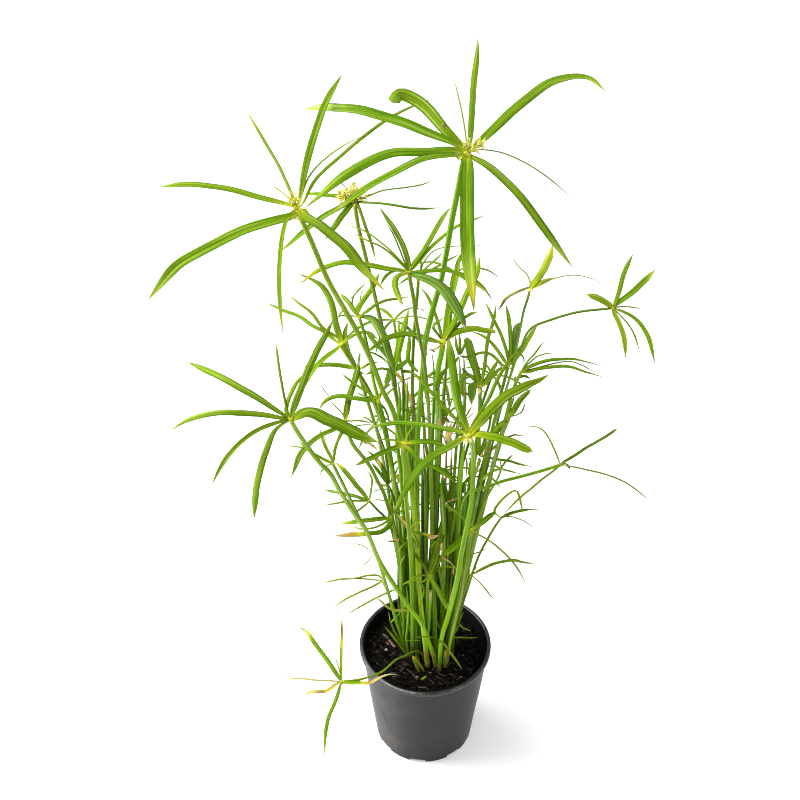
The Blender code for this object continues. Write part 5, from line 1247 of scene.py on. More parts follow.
def tip_paint(col, dry, x, c, tip, rnd):
    """Discolours the last part of a blade, its edges first."""
    x = x + 0.03 * np.abs(c) + rnd.uniform(-0.03, 0.03)
    if tip == "n":
        col = lerp(col, PALE, 0.45 * smooth(x, 0.94, 1.0))
    elif tip == "p":
        col = lerp(col, PALE, 0.75 * smooth(x, 0.82, 1.0))
    elif tip == "y":
        col = lerp(col, PALE, 0.6 * smooth(x, 0.72, 0.86))
        col = lerp(col, YELLOW, smooth(x, 0.84, 0.96))
        col = lerp(col, BROWN, 0.7 * smooth(x, 0.96, 1.01))
    elif tip == "o":
        col = lerp(col, YELLOW, 0.8 * smooth(x, 0.72, 0.86))
        col = lerp(col, ORANGE, smooth(x, 0.86, 0.93))
        col = lerp(col, BROWN, 0.8 * smooth(x, 0.93, 1.0))
        dry = np.maximum(dry, 0.6 * smooth(x, 0.86, 0.96))
    elif tip == "w":
        col = lerp(col, YELLOW, smooth(x, 0.50, 0.66))
        col = lerp(col, ORANGE, smooth(x, 0.66, 0.76))
        col = lerp(col, TAN, smooth(x, 0.78, 0.90))
        dry = np.maximum(dry, 0.8 * smooth(x, 0.66, 0.84))
    return col, dry


def leaf_shape(hold, foot=0.46, grow=0.20):
    """Share of a real bract's width along it: nearly parallel, then a keen tip."""
    def share(x):
        x = np.asarray(x, float)
        rise = foot + (1.0 - foot) * np.sin(0.5 * math.pi * np.clip(x / grow, 0.0, 1.0))
        t = np.clip((x - hold) / (1.0 - hold), 0.0, 1.0)
        fall = (1.0 - t ** 1.35) ** 0.85
        swell = 0.94 + 0.06 * np.sin(math.pi * np.clip(x, 0.0, 1.0))
        return rise * fall * swell
    return share


def drawn_out(x, a=0.20):
    """A short blade that runs out into a long thread from a on."""
    x = np.asarray(x, float)
    return (0.7 + 0.3 * smooth(x, 0.0, 0.12)) * (1.0 - 0.70 * smooth(x, a, a + 0.16)) \
        * (1.0 - 0.6 * smooth(x, 0.6, 1.0))


CROSS = np.array((-1.0, -0.80, -0.56, -0.36, -0.16, 0.0, 0.16, 0.36, 0.56, 0.80, 1.0))
CROSS_SLIM = np.array((-1.0, -0.5, 0.0, 0.5, 1.0))


def blade(heap, line, width, tone, tip, rnd, fold=0.22, ridge=0.05, roll=0.0, twist=0.0,
          shape=blade_width, hub=True, mat=0, thick=0.00042, stops=None, wave=0.0, base_dry=0.0,
          step=0.0042, gain=1.0, toward=None, slant=0.0, foot_col=None, foot_run=0.0055):
    """A folded, keeled blade swept along a line: a thin closed shell."""
    s = arc_lengths(line)
    n = int(min(46, max(9, s[-1] / step)))
    x = np.linspace(0.0, 1.0, n + 1)
    pts = resample(line, n + 1)
    t, side, face = blade_frames(pts)
    if toward is not None:                 # the blade turns its face to a point
        ray = pts - np.asarray(toward)
        side = np.cross(ray, t)
        side /= np.linalg.norm(side, axis=1, keepdims=True)
        face = np.cross(side, t)
    ang = roll + twist * x ** 1.3
    ca, sa = np.cos(ang)[:, None], np.sin(ang)[:, None]
    side, face = side * ca + face * sa, face * ca - side * sa
    half = np.maximum(0.5 * width * shape(x), 0.00040 - 0.00018 * smooth(x, 0.95, 1.0))
    if wave:
        k = rnd.uniform(2.0, 4.0)
        ph = rnd.uniform(0, 6.28)
        pts = pts + face * (wave * width * np.sin(k * 6.28 * x + ph) * x * (1 - x) * 4)[:, None]
    c = CROSS if width > 0.0030 else CROSS_SLIM
    m = len(c)
    ac = np.abs(c)
    f = (-0.50 + (0.50 + fold) * smooth(x, 0.0, 0.24))[:, None]
    up = half[:, None] * (-f * (ac[None, :] ** 1.12) + f * 0.5
                          + ridge * np.exp(-((ac[None, :] - 0.42) / 0.2) ** 2))
    flat = 1.0 / np.sqrt(1.0 + f * f)
    top = pts[:, None, :] + side[:, None, :] * (half[:, None] * flat * c[None, :])[:, :, None] \
        + face[:, None, :] * up[:, :, None] \
        + t[:, None, :] * (slant * half * smooth(x, 0.75, 1.0))[:, None, None] * c[None, :, None]
    tt = np.minimum(thick, 0.30 * half)[:, None]
    deep = tt * (1.0 - 0.72 * ac[None, :] ** 2) + np.minimum(0.10 * half, 0.0007)[:, None] \
        * np.exp(-(c[None, :] / 0.13) ** 2)
    low = top - face[:, None, :] * deep[:, :, None]
    ring = np.concatenate([top, low[:, m - 2:0:-1]], axis=1)      # (n+1, 2m-2, 3)
    k = ring.shape[1]
    u = np.concatenate([0.5 + 0.5 * c, (0.5 + 0.5 * c)[m - 2:0:-1]])
    cc = np.concatenate([c, c[m - 2:0:-1]])
    under = np.concatenate([np.zeros(m), np.ones(m - 2)])
    uv = np.stack(np.broadcast_arrays(u[None, :], (x * s[-1])[:, None] + rnd.uniform(0, 9)), axis=2)
    base = TONE[tone] * np.array((rnd.uniform(0.88, 1.14), rnd.uniform(0.92, 1.08),
                                  rnd.uniform(0.8, 1.2))) * gain
    col = np.broadcast_to(base, (n + 1, k, 3)).copy()
    xx = np.broadcast_to(x[:, None], (n + 1, k))
    dry = np.full((n + 1, k), float(base_dry))
    col = lerp(col, base * np.array((1.35, 1.18, 1.1)), smooth(xx, 0.45, 0.95) * 0.6)
    col = lerp(col, base * np.array((1.12, 1.06, 1.5)) + 0.006, under[None, :] * np.ones((n + 1, 1)) * 0.7)
    if hub:
        col = lerp(col, HUB_TONE if foot_col is None else foot_col,
                   0.80 * np.exp(-(xx * s[-1] / foot_run) ** 1.5))
    if stops is None:
        col, dry = tip_paint(col, dry, xx, cc[None, :], tip, rnd)
    else:
        for x0, x1, paint, d in stops:
            g = smooth(xx + 0.02 * np.abs(cc)[None, :], x0, x1)
            col = lerp(col, paint, g)
            dry = dry + (d - dry) * g
    verts = ring.reshape(-1, 3)
    faces = []
    for i in range(n):
        a, b = i * k, (i + 1) * k
        for j in range(k):
            j2 = (j + 1) % k
            faces.append((a + j, b + j, b + j2, a + j2))
    faces.append(tuple(range(k)))
    faces.append(tuple(n * k + j for j in reversed(range(k))))
    heap.add(verts, faces, uv.reshape(-1, 2), col.reshape(-1, 3), dry.reshape(-1), mat)


def frames_along(pts):
    """Direction and two cross directions that turn as little as they can."""
    t = np.gradient(pts, axis=0)
    t /= np.maximum(np.linalg.norm(t, axis=1, keepdims=True), 1e-12)
    a = np.array((1.0, 0.0, 0.0)) if abs(t[0][0]) < 0.8 else np.array((0.0, 1.0, 0.0))
    e = np.cross(t[0], a)
    e /= np.linalg.norm(e)
    es = [e]
    for i in range(1, len(pts)):
        e = es[-1] - t[i] * np.dot(es[-1], t[i])
        e /= max(np.linalg.norm(e), 1e-12)
        es.append(e)
    es = np.array(es)
    return t, es, np.cross(t, es)


def tube(heap, pts, radius, tint, dry=0.0, sides=8, ribs=0.0, tri=0.0, phase=0.0, mat=0,
         v0=0.0, caps=True):
    """A swept round or ribbed stalk. radius, tint and dry may change along it."""
    n = len(pts)
    t, a, b = frames_along(pts)
    th = np.linspace(0, 2 * math.pi, sides, endpoint=False)
    radius = np.broadcast_to(np.asarray(radius, float), (n,))
    r = radius[:, None] * (1.0 + tri * np.cos(3 * th + phase)[None, :]
                           + ribs * np.cos(9 * th)[None, :])
    ring = pts[:, None, :] + a[:, None, :] * (r * np.cos(th))[:, :, None] \
        + b[:, None, :] * (r * np.sin(th))[:, :, None]
    s = arc_lengths(pts)
    # the seam is hidden by running u up and down again round the stalk
    u = np.abs(((th / math.pi) + 1.0) % 2.0 - 1.0)
    uv = np.stack(np.broadcast_arrays(u[None, :], s[:, None] + v0), axis=2)
    tint = np.broadcast_to(np.asarray(tint, float)[:, None, :] if np.ndim(tint) == 2
                           else np.asarray(tint, float), (n, sides, 3))
    dry = np.broadcast_to(np.asarray(dry, float)[:, None] if np.ndim(dry) == 1
                          else np.asarray(dry, float), (n, sides))
    faces = []
    for i in range(n - 1):
        p, q = i * sides, (i + 1) * sides
        for j in range(sides):
            j2 = (j + 1) % sides
            faces.append((p + j, p + j2, q + j2, q + j))
    if caps:
        faces.append(tuple(reversed(range(sides))))
        faces.append(tuple((n - 1) * sides + j for j in range(sides)))
    heap.add(ring.reshape(-1, 3), faces, uv.reshape(-1, 2), tint.reshape(-1, 3),
             dry.reshape(-1), mat)


def lump(heap, centre, size, tint, rnd, mat=0, level=1, rough=0.25, dry=0.0, turn=None):
    """A closed irregular lump; size is its three half axes."""
    bm = bmesh.new()
    bmesh.ops.create_icosphere(bm, subdivisions=level, radius=1.0)
    seed = Vector((rnd.uniform(0, 99), rnd.uniform(0, 99), rnd.uniform(0, 99)))
    co = np.array([tuple(v.co * (1.0 + rough * noise.noise(v.co * 1.4 + seed) * 1.6))
                   for v in bm.verts])
    faces = [tuple(v.index for v in f.verts) for f in bm.faces]
    bm.free()
    q = turn if turn is not None else mathutils.Euler(
        (rnd.uniform(0, 6.28), rnd.uniform(0, 6.28), rnd.uniform(0, 6.28)))
    m = np.array(q.to_matrix())
    co = (co * np.asarray(size)) @ m.T + np.asarray(centre)
    heap.add(co, faces, np.zeros((len(co), 2)), np.broadcast_to(np.asarray(tint, float), (len(co), 3)),
             np.full(len(co), dry), mat)


# ---------------------------------------------------------------------------
# The plant
# ---------------------------------------------------------------------------
ONE_NODE = set(n[6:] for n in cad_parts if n.startswith("shoot_"))
shoots = plan()
BY = {sh["name"]: sh for sh in shoots}
# how a few bracts differ from their neighbours
BY["34"]["tone"] = "o"
for name, i, key, value in (("13", 0, "tone", "g"), ("13", 0, "w", 7.2), ("03", 4, "tip", "p"),
                             ("03", 0, "w", 6.0),
                             ("03", 6, "tone", "g"), ("03", 2, "tone", "g"),
                             ("08", 7, "tone", "e"), ("01", 5, "tone", "e"), ("01", 5, "tip", "n"), ("01", 6, "tone", "g"),
                             ("03", 7, "w", 8.8), ("13", 4, "w", 3.6), ("11", 0, "w", 3.4), ("11", 1, "w", 3.1),
                             ("01", 6, "w", 3.2), ("01", 3, "w", 4.0), ("01", 3, "tone", "b"),
                             ("13", 0, "tone", "e"), ("13", 1, "tone", "e"), ("13", 2, "tone", "e"),
                             ("13", 4, "tone", "g"), ("13", 5, "tone", "g"), ("13", 6, "tone", "b"),
                             ("13", 6, "w", 7.6), ("13", 6, "tip", "n"), ("04", 9, "tone", "e"),
                             ("04", 9, "w", 10.0), ("06", 2, "tone", "e"), ("14", 1, "w", 6.4), ("30", 0, "w", 8.6),
                             ("14", 1, "tone", "b"), ("14", 7, "w", 2.0), ("15", 0, "tone", "d"),
                             ("15", 0, "tip", "n"), ("15", 0, "w", 2.9), ("20", 0, "tip", "p"),
                             ("03", 7, "tone", "e"), ("03", 8, "tone", "e"), ("03", 4, "tone", "d"),
                             ("03", 5, "tone", "e"), ("03", 8, "w", 9.0), ("12", 2, "tone", "d"),
                             ("19", 3, "tone", "d"), ("22", 0, "tone", "d"), ("22", 1, "tone", "g"), ("31", 0, "tone", "g"),
                             ("31", 3, "tone", "d"), ("10", 2, "tone", "y"), ("10", 2, "w", 6.0),
                             ("11", 1, "tip", "n"), ("03", 9, "tip", "n"), ("04", 1, "tone", "d"),
                             ("02", 1, "tone", "e"), ("08", 3, "tone", "e"),
                             ("08", 0, "w", 6.4), ("08", 2, "w", 4.4), ("08", 3, "w", 6.3),
                             ("08", 7, "w", 11.5), ("34", 5, "w", 3.4)):
    BY[name]["leaves"][i][key] = value
for leaf in BY["02"]["leaves"]:
    if leaf["w"] is not None and leaf["w"] < 2.2 and leaf["tone"] == "d":
        leaf["tone"] = "g"


def relay(name, i, uvs):
    """Lays a bract on a new way in the view, at the depths it had."""
    leaf = BY[name]["leaves"][i]
    old = leaf["line"]
    s = arc_lengths(old) / arc_lengths(old)[-1]
    q = np.array(uvs, float)
    t = np.concatenate(([0.0], np.cumsum(np.linalg.norm(np.diff(q, axis=0), axis=1))))
    t = t / t[-1]
    pts = [np.array(at_depth(u, v, float(np.interp(k, s, old[:, 1])))) for (u, v), k in zip(uvs, t)]
    leaf["line"] = np.array(catmull(pts, 8))
    leaf["length"] = float(arc_lengths(leaf["line"])[-1])


BY["03"]["leaves"][6]["w"] = 13.2
relay("09", 2, [(529.8, 287.2), (519, 291), (510.5, 295.2), (504.6, 300), (501.4, 305.6), (497.6, 311)])


AIM = np.array((0.0, math.cos(PITCH), -math.sin(PITCH)))


def ray_to(p):
    d = np.asarray(p) - np.array(EYE)
    return d / np.linalg.norm(d)


def seen_width(line, roll=0.0):
    """How much of a level blade's width shows along the sight line."""
    pts = resample(line, 12)
    t, side, face = blade_frames(pts)
    side = side * math.cos(roll) + face * math.sin(roll)
    out = []
    for p, tt, sd in zip(pts[1:9], t[1:9], side[1:9]):
        d = ray_to(p)
        q = tt - d * np.dot(tt, d)
        q /= max(np.linalg.norm(q), 1e-9)
        across = np.cross(d, q)
        out.append(abs(float(np.dot(sd, across))))
    return float(np.mean(out))


FOLDS = {}          # (shoot, bract) -> fold of the blade, where it plainly shows
STOPS = {           # (shoot, bract) -> its own colours along it
    ("03", 7): [(0.66, 1.0, np.array((0.40, 0.54, 0.17)), 0.0)],
    ("03", 8): [(0.72, 0.90, np.array((0.24, 0.36, 0.020)), 0.0), (0.96, 1.0, BROWN * 0.8, 0.4)],
    ("03", 9): [(0.90, 0.96, np.array((0.46, 0.44, 0.10)), 0.1), (0.97, 1.0, ORANGE * 0.8, 0.4)],
    ("09", 2): [(-0.1, 0.02, np.array((0.15, 0.13, 0.035)), 0.2), (0.20, 0.45, np.array((0.42, 0.34, 0.08)), 0.2),
                (0.62, 0.80, BROWN * 0.35, 0.5)],
    ("09", 0): [(0.22, 0.50, np.array((0.36, 0.38, 0.020)), 0.05), (0.55, 0.85, np.array((0.50, 0.44, 0.04)), 0.15)],
    ("09", 1): [(0.10, 0.22, np.array((0.20, 0.19, 0.020)), 0.1), (0.26, 0.34, np.array((0.42, 0.28, 0.07)), 0.3),
                (0.38, 0.46, np.array((0.26, 0.32, 0.10)), 0.1)],
    ("12", 2): [(-0.2, -0.1, np.array((0.030, 0.085, 0.026)), 0.0)],
    ("11", 0): [(0.55, 0.85, np.array((0.20, 0.25, 0.040)), 0.1)],
    ("08", 0): [(-0.2, -0.1, np.array((0.055, 0.108, 0.004)), 0.0), (0.35, 0.90, np.array((0.150, 0.250, 0.010)), 0.0)],
    ("08", 1): [(-0.2, -0.1, np.array((0.060, 0.120, 0.004)), 0.0), (0.40, 0.85, np.array((0.170, 0.280, 0.020)), 0.0),
                (0.90, 1.0, np.array((0.40, 0.50, 0.12)), 0.0)],
    ("08", 2): [(-0.2, -0.1, np.array((0.055, 0.105, 0.004)), 0.0), (0.40, 0.85, np.array((0.120, 0.200, 0.015)), 0.0),
                (0.93, 1.0, np.array((0.40, 0.36, 0.15)), 0.2)],
    ("08", 3): [(-0.2, -0.1, np.array((0.050, 0.100, 0.004)), 0.0), (0.45, 0.85, np.array((0.140, 0.245, 0.010)), 0.0),
                (0.95, 1.0, np.array((0.44, 0.38, 0.12)), 0.1)],
    ("04", 9): [(-0.2, -0.1, np.array((0.034, 0.094, 0.028)), 0.0), (0.93, 0.97, np.array((0.46, 0.38, 0.16)), 0.1)],
    ("06", 2): [(-0.2, -0.1, np.array((0.034, 0.090, 0.022)), 0.0)],
    ("14", 1): [(0.84, 0.96, np.array((0.52, 0.48, 0.06)), 0.1)],
    ("20", 2): [(-0.2, -0.1, np.array((0.34, 0.50, 0.020)), 0.0)],
    ("20", 0): [(0.46, 0.60, np.array((0.30, 0.31, 0.17)), 0.2)],
    ("03", 6): [(0.78, 0.96, np.array((0.22, 0.36, 0.040)), 0.0)],
    ("11", 1): [(0.70, 0.96, np.array((0.22, 0.24, 0.040)), 0.1)],
    ("34", 0): [(0.40, 0.50, YELLOW, 0.0), (0.54, 0.60, ORANGE * 0.75, 0.3), (0.62, 0.70, BROWN, 0.3),
                (0.78, 0.88, np.array((0.80, 0.66, 0.36)), 0.2)],
    ("34", 1): [(0.66, 0.82, YELLOW, 0.0), (0.85, 0.95, BROWN, 0.6)],
    ("34", 3): [(0.00, 0.12, np.array((0.60, 0.42, 0.04)), 0.1), (0.36, 0.46, BROWN, 0.4),
                (0.56, 0.68, np.array((0.56, 0.42, 0.13)), 0.3)],
    ("34", 5): [(0.36, 0.44, YELLOW, 0.0), (0.44, 0.50, ORANGE, 0.35),
                (0.53, 0.62, np.array((0.80, 0.56, 0.22)), 0.25),
                (0.68, 0.84, np.array((0.82, 0.70, 0.42)), 0.25),
                (0.90, 0.99, np.array((0.50, 0.46, 0.38)), 0.5)],
}
SHAPES = {          # (shoot, bract) -> its own outline
    ("01", 2): leaf_shape(0.80, 0.5, 0.22), ("01", 4): leaf_shape(0.72, 0.5, 0.25),
    ("01", 5): leaf_shape(0.82, 0.40, 0.40), ("01", 1): leaf_shape(0.84, 0.55, 0.3),
    ("01", 3): leaf_shape(0.80, 0.5, 0.3), ("01", 6): leaf_shape(0.72, 0.5, 0.3),
    ("03", 0): leaf_shape(0.68, 0.45, 0.25), ("03", 2): leaf_shape(0.70, 0.5, 0.3),
    ("03", 4): leaf_shape(0.80, 0.5, 0.25), ("03", 5): leaf_shape(0.76, 0.62, 0.22),
    ("03", 6): leaf_shape(0.975, 0.56, 0.75), ("03", 7): leaf_shape(0.84, 0.5, 0.35),
    ("03", 8): leaf_shape(0.70, 0.5, 0.25), ("03", 9): leaf_shape(0.80, 0.45, 0.3),
    ("08", 7): leaf_shape(0.78, 0.5, 0.3), ("04", 9): leaf_shape(0.72, 0.45, 0.35),
    ("12", 2): leaf_shape(0.965, 0.5, 0.25), ("13", 4): leaf_shape(0.50, 0.6, 0.3),
    ("30", 0): leaf_shape(0.985, 0.5, 0.6), ("14", 1): leaf_shape(0.93, 0.5, 0.2), ("13", 6): leaf_shape(0.90, 0.5, 0.3),
    ("15", 0): leaf_shape(0.95, 0.75, 0.1), ("20", 0): lambda x: drawn_out(x, 0.34),
    ("08", 0): leaf_shape(0.80, 0.40, 0.45), ("08", 1): leaf_shape(0.74, 0.45, 0.4),
    ("08", 3): leaf_shape(0.84, 0.35, 0.5), ("34", 5): leaf_shape(0.40, 0.7, 0.15),
    ("13", 5): leaf_shape(0.62, 0.5, 0.3), ("11", 0): leaf_shape(0.35, 0.6, 0.2),
    ("11", 1): leaf_shape(0.40, 0.6, 0.2), ("09", 1): drawn_out,
}


# the bracts' feet are yellow for a longer way in some whorls
FOOT_RUN = {"01": 0.0135, "03": 0.0085, "13": 0.0090, "09": 0.0080, "22": 0.0075, "14": 0.0075,
            "27": 0.0075, "07": 0.0085}
BRIGHT_FOOT = np.array((0.80, 0.78, 0.050))


def grow_umbel(heap, sh):
    rnd = random.Random(int(sh["name"]) * 977 + 5)
    for i, leaf in enumerate(sh["leaves"]):
        line = leaf["line"]
        width = leaf["width"]
        roll = 0.0
        if leaf["w"] is not None:
            k0 = seen_width(line)
            best = (seen_width(line, 0.12), 0.12)
            other = (seen_width(line, -0.12), -0.12)
            sign = 1.0 if best[0] > other[0] else -1.0
            roll = sign * min(0.42, 0.75 * (1.0 - k0))
            k1 = seen_width(line, roll)
            width = min(leaf["w"] * scale_at(line[len(line) // 2]) / max(k1, 0.55) * 1.12, 0.0160)
            width = max(width, 0.0013)
        else:
            roll = rnd.uniform(-0.25, 0.25)
        shape = SHAPES.get((sh["name"], i))
        if shape is None:
            if width > 0.0040:
                shape = leaf_shape(rnd.uniform(0.66, 0.80), rnd.uniform(0.42, 0.55),
                                   rnd.uniform(0.16, 0.28))
            else:
                shape = leaf_shape(rnd.uniform(0.66, 0.82), 0.55, 0.15)
        fold = FOLDS.get((sh["name"], i), rnd.uniform(0.22, 0.50) * (1 if rnd.random() < 0.75 else -0.8))
        # painted shade: wide bracts, which face the light most, are given a darker colour; all bracts of shoot 08 are
        # darker too
        gain = 1.0 - 0.22 * float(smooth(np.array(leaf["w"] or 4.0), 4.5, 8.0))
        gain *= 0.84 if sh["name"] == "08" else 1.0
        turn = rnd.uniform(-0.22, 0.22)
        more = {}
        if (sh["name"], i) == ("03", 6):   # its face shows fully, its end is torn off at a slant
            width = leaf["w"] * scale_at(line[len(line) // 2])
            roll, turn, more = 0.0, 0.10, {"toward": EYE, "slant": 0.55}
        if sh["name"] in FOOT_RUN:
            more["foot_col"], more["foot_run"] = BRIGHT_FOOT, FOOT_RUN[sh["name"]]
        blade(heap, line, width, leaf["tone"], leaf["tip"], rnd, fold=fold,
              ridge=rnd.uniform(0.03, 0.07), roll=roll, twist=turn, shape=shape, gain=gain,
              stops=STOPS.get((sh["name"], i)), wave=0.05 if leaf["length"] > 0.05 else 0.0, **more)


FOOT = {            # culms whose very foot has its own colour
    "01": np.array((0.52, 0.50, 0.030)), "19": np.array((0.55, 0.52, 0.050)),
    "16": np.array((0.34, 0.48, 0.016)), "04": np.array((0.24, 0.42, 0.012)),
    "13": np.array((0.24, 0.17, 0.095)), "08": np.array((0.30, 0.42, 0.020)),
}
FEET_TONE = {       # culms whose lower part has its own colour
    "01": np.array((0.40, 0.47, 0.020)), "16": np.array((0.30, 0.44, 0.012)),
    "19": np.array((0.26, 0.40, 0.012)), "13": np.array((0.20, 0.33, 0.012)),
    "34": np.array((0.110, 0.160, 0.030)),
}


# culms whose upper part is painted lighter, as painted light where it catches the light; a negative share paints it
# darker, as painted shade
SUN_AND_SHADE = {"02": 0.9, "04": 0.8, "06": 0.5, "07": 0.8, "08": 0.5, "12": 0.6, "15": 0.5, "16": 0.7,
         "17": 0.5, "18": 0.9, "19": 0.9, "21": 0.9, "24": 0.6, "25": 0.8, "28": 0.6, "35": 0.8,
         "40": 0.7, "20": 0.6, "05": 0.4, "11": 0.5, "01": 0.5, "27": 0.6, "38": 0.3,
         "13": -0.12, "14": -0.25, "22": -0.25, "26": -0.3, "09": -0.20, "10": -0.28}
SUN = np.array((0.166, 0.270, 0.022))
SLIM_TOP = {"09": 0.80, "10": 0.80, "02": 0.92, "04": 0.92}


def culm_tone(sh, x, s):
    """Colour of a culm from its foot (x 0) to its hub (x 1); s in metres."""
    rnd = random.Random(int(sh["name"]) * 31 + 7)
    top = TONE[sh["tone"]] * np.array((rnd.uniform(0.9, 1.12), rnd.uniform(0.93, 1.08), 1.0)) \
        * rnd.uniform(0.85, 1.15)
    low = lerp(TONE["b"], TONE["g"], rnd.uniform(0.0, 1.0)) * rnd.uniform(0.85, 1.20)
    # painted shade: the lower part of culms standing further back in the tuft is made darker
    low = low * (1.0 - 0.42 * float(smooth(np.array(sh["xy"][1]), -0.012, 0.012)))
    low = FEET_TONE.get(sh["name"], low)
    col = lerp(np.broadcast_to(low, (len(x), 3)), top, smooth(x, 0.10, 0.65))
    col = col * np.array((1.07, 1.41, 0.68))
    # painted light on the upper part; a negative share paints shade instead
    k = SUN_AND_SHADE.get(sh["name"], 0.0)
    sun = smooth(x, 0.25, 0.60)
    if k > 0:
        col = lerp(col, SUN, k * sun)
    else:
        col = col * (1.0 + k * sun)[:, None]
    col = lerp(col, HUB_TONE, 0.6 * smooth(s, s[-1] - 0.014, s[-1]))
    foot = (np.array((0.36, 0.44, 0.05)), np.array((0.26, 0.17, 0.065)),
            np.array((0.46, 0.44, 0.06)))[rnd.randrange(3)]
    foot = FOOT.get(sh["name"], foot)
    col = lerp(col, foot, 1.0 - smooth(s, 0.006, 0.026 + 0.012 * rnd.random()))
    col = lerp(col, BROWN * 0.55, 0.9 * (1.0 - smooth(s, 0.004, 0.011)))
    return col


def grow_culm(heap, sh):
    line = sh["line"]
    length = arc_lengths(line)[-1]
    n = int(max(18, length / 0.0065))
    pts = resample(line, n + 1)
    pts = np.vstack([pts[:1] - np.array((0, 0, 0.004)), pts])
    s = arc_lengths(pts)
    x = s / s[-1]
    rnd = random.Random(int(sh["name"]) * 53 + 3)
    r = sh["r1"] + (sh["r0"] - sh["r1"]) * x
    r = r * (1.0 + 0.10 * np.exp(-s / 0.006) + 0.12 * smooth(s, 0.05, 0.16))
    r = r * (1.0 - (1.0 - SLIM_TOP.get(sh["name"], 1.0)) * smooth(x, 0.35, 0.6))
    if sh["name"] == "34":
        r = r * (0.62 + 0.38 * smooth(x, 0.75, 1.0))
    if sh["name"] == "13":
        r = r * (1.0 - 0.42 * (1.0 - smooth(s, 0.004, 0.036)))
    big = sh["r1"] > 0.0020
    tube(heap, pts, r, culm_tone(sh, x, s), sides=18 if big else 12,
         ribs=0.035 if big else 0.0, tri=0.07, phase=rnd.uniform(0, 6.28), mat=0,
         v0=rnd.uniform(0, 5))
    # the crown, where the bracts' feet overlap round the culm's top
    top = sh["normal"]
    c = sh["hub3"]
    for k in range(3):
        h = (k - 1) * 0.35 * sh["r0"]
        lump(heap, c + top * h, (1.30 * sh["r0"], 1.30 * sh["r0"], 0.55 * sh["r0"]),
             lerp(BRIGHT_FOOT if sh["name"] in FOOT_RUN else HUB_TONE, TONE["g"], 0.20 * k), rnd,
             level=2, rough=0.10,
             turn=Vector(top).to_track_quat("Z", "Y").to_euler())


def grow_sheaths(heap, sh):
    """Bladeless sheaths round the culm's foot: thin open-topped sleeves."""
    slim = {"13": 0.64, "34": 0.64}.get(sh["name"], 1.0)
    rnd = random.Random(int(sh["name"]) * 71 + 1)
    line = sh["line"]
    s = arc_lengths(line)
    for k in range(2):
        h = rnd.uniform(0.012, 0.022) if k == 0 else rnd.uniform(0.024, 0.046)
        h = min(h, s[-1] * 0.3)
        n = 9
        run = np.linspace(0.0, h, n)
        pts = np.stack([np.interp(run, s, line[:, q]) for q in range(3)], axis=1)
        t, a, b = frames_along(pts)
        sides = 14
        th = np.linspace(0, 2 * math.pi, sides, endpoint=False)
        lean = rnd.uniform(0, 6.28)
        base = slim * sh["r1"] * (1.16 - 0.07 * k) + 0.0002
        outer, inner = [], []
        for j in range(n):
            x = run[j] / h
            # the mouth is cut obliquely: one side rises to a point
            rise = (0.30 * h) * (0.5 - 0.5 * np.cos(th - lean)) ** 1.5 * x - 0.15 * h * x
            rr = base * (1.0 + 0.16 * x ** 4 - 0.10 * x)
            ring = pts[j] + t[j] * rise[:, None] + a[j] * (rr * np.cos(th))[:, None] \
                + b[j] * (rr * np.sin(th))[:, None]
            rin = rr - 0.00016
            rng = pts[j] + t[j] * rise[:, None] + a[j] * (rin * np.cos(th))[:, None] \
                + b[j] * (rin * np.sin(th))[:, None]
            outer.append(ring)
            inner.append(rng)
        rings = np.array(outer + inner[::-1])
        verts = rings.reshape(-1, 3)
        faces = []
        for i in range(2 * n - 1):
            p, q = i * sides, (i + 1) * sides
            for j in range(sides):
                j2 = (j + 1) % sides
                faces.append((p + j, p + j2, q + j2, q + j))
        p, q = (2 * n - 1) * sides, 0
        for j in range(sides):
            j2 = (j + 1) % sides
            faces.append((p + j, p + j2, q + j2, q + j))
        x = np.concatenate([run / h, (run / h)[::-1]])
        green = lerp(TONE["b"], TONE["o"], rnd.random())
        straw = np.array((0.46, 0.36, 0.13))
        rust = np.array((0.22, 0.105, 0.050))
        low = rust if rnd.random() < 0.55 else straw * 0.7
        if sh["name"] in FOOT:
            low, green = FOOT[sh["name"]] * 0.8, lerp(FOOT[sh["name"]], green, 0.35)
        col = lerp(np.broadcast_to(low, (2 * n, 3)), green, smooth(x, 0.05, 0.55))
        col = lerp(col, straw, smooth(x, 0.80, 1.0) * rnd.uniform(0.3, 1.0))
        dry = smooth(x, 0.75, 1.0) * 0.7 + 0.5 * (1 - smooth(x, 0.0, 0.35))
        uv = np.stack(np.broadcast_arrays((np.abs(((th / math.pi) + 1.0) % 2.0 - 1.0))[None, :],
                                          (x * h)[:, None]), axis=2)
        heap.add(verts, faces, uv.reshape(-1, 2), np.repeat(col, sides, axis=0),
                 np.repeat(dry, sides), 0)


PIECES = []
for sh in shoots:
    one = sh["name"] in ONE_NODE
    heap = Heap()
    grow_culm(heap, sh)
    grow_sheaths(heap, sh)
    ob = heap.make("culm_%s_skin" % sh["name"], CULM)
    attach(ob, "root")
    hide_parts(("shoot_%s" if one else "culm_%s") % sh["name"])
    PIECES.append(ob)
    heap = Heap()
    grow_umbel(heap, sh)
    ob = heap.make("umbel_%s_skin" % sh["name"], LEAF)
    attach(ob, "root")
    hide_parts(("shoot_%s" if one else "umbel_%s") % sh["name"])
    PIECES.append(ob)


# ---------------------------------------------------------------------------
# The pot: a turned shell with a rolled rim and drain notches in its foot
# ---------------------------------------------------------------------------
POT_H, RIM_R, RIM_IN_R, RIM_BAND = 0.166, 0.0850, 0.0793, 0.0052
WALL_TOP_R, BASE_R, WALL, FLOOR = 0.0814, 0.0644, 0.0018, 0.0026
NOTCHES, NOTCH_W, NOTCH_H = 8, 0.0222, 0.0052
NOTCH_TURN = math.radians(-98.6)
BAND = 0.0048            # height of the rim's outer lip


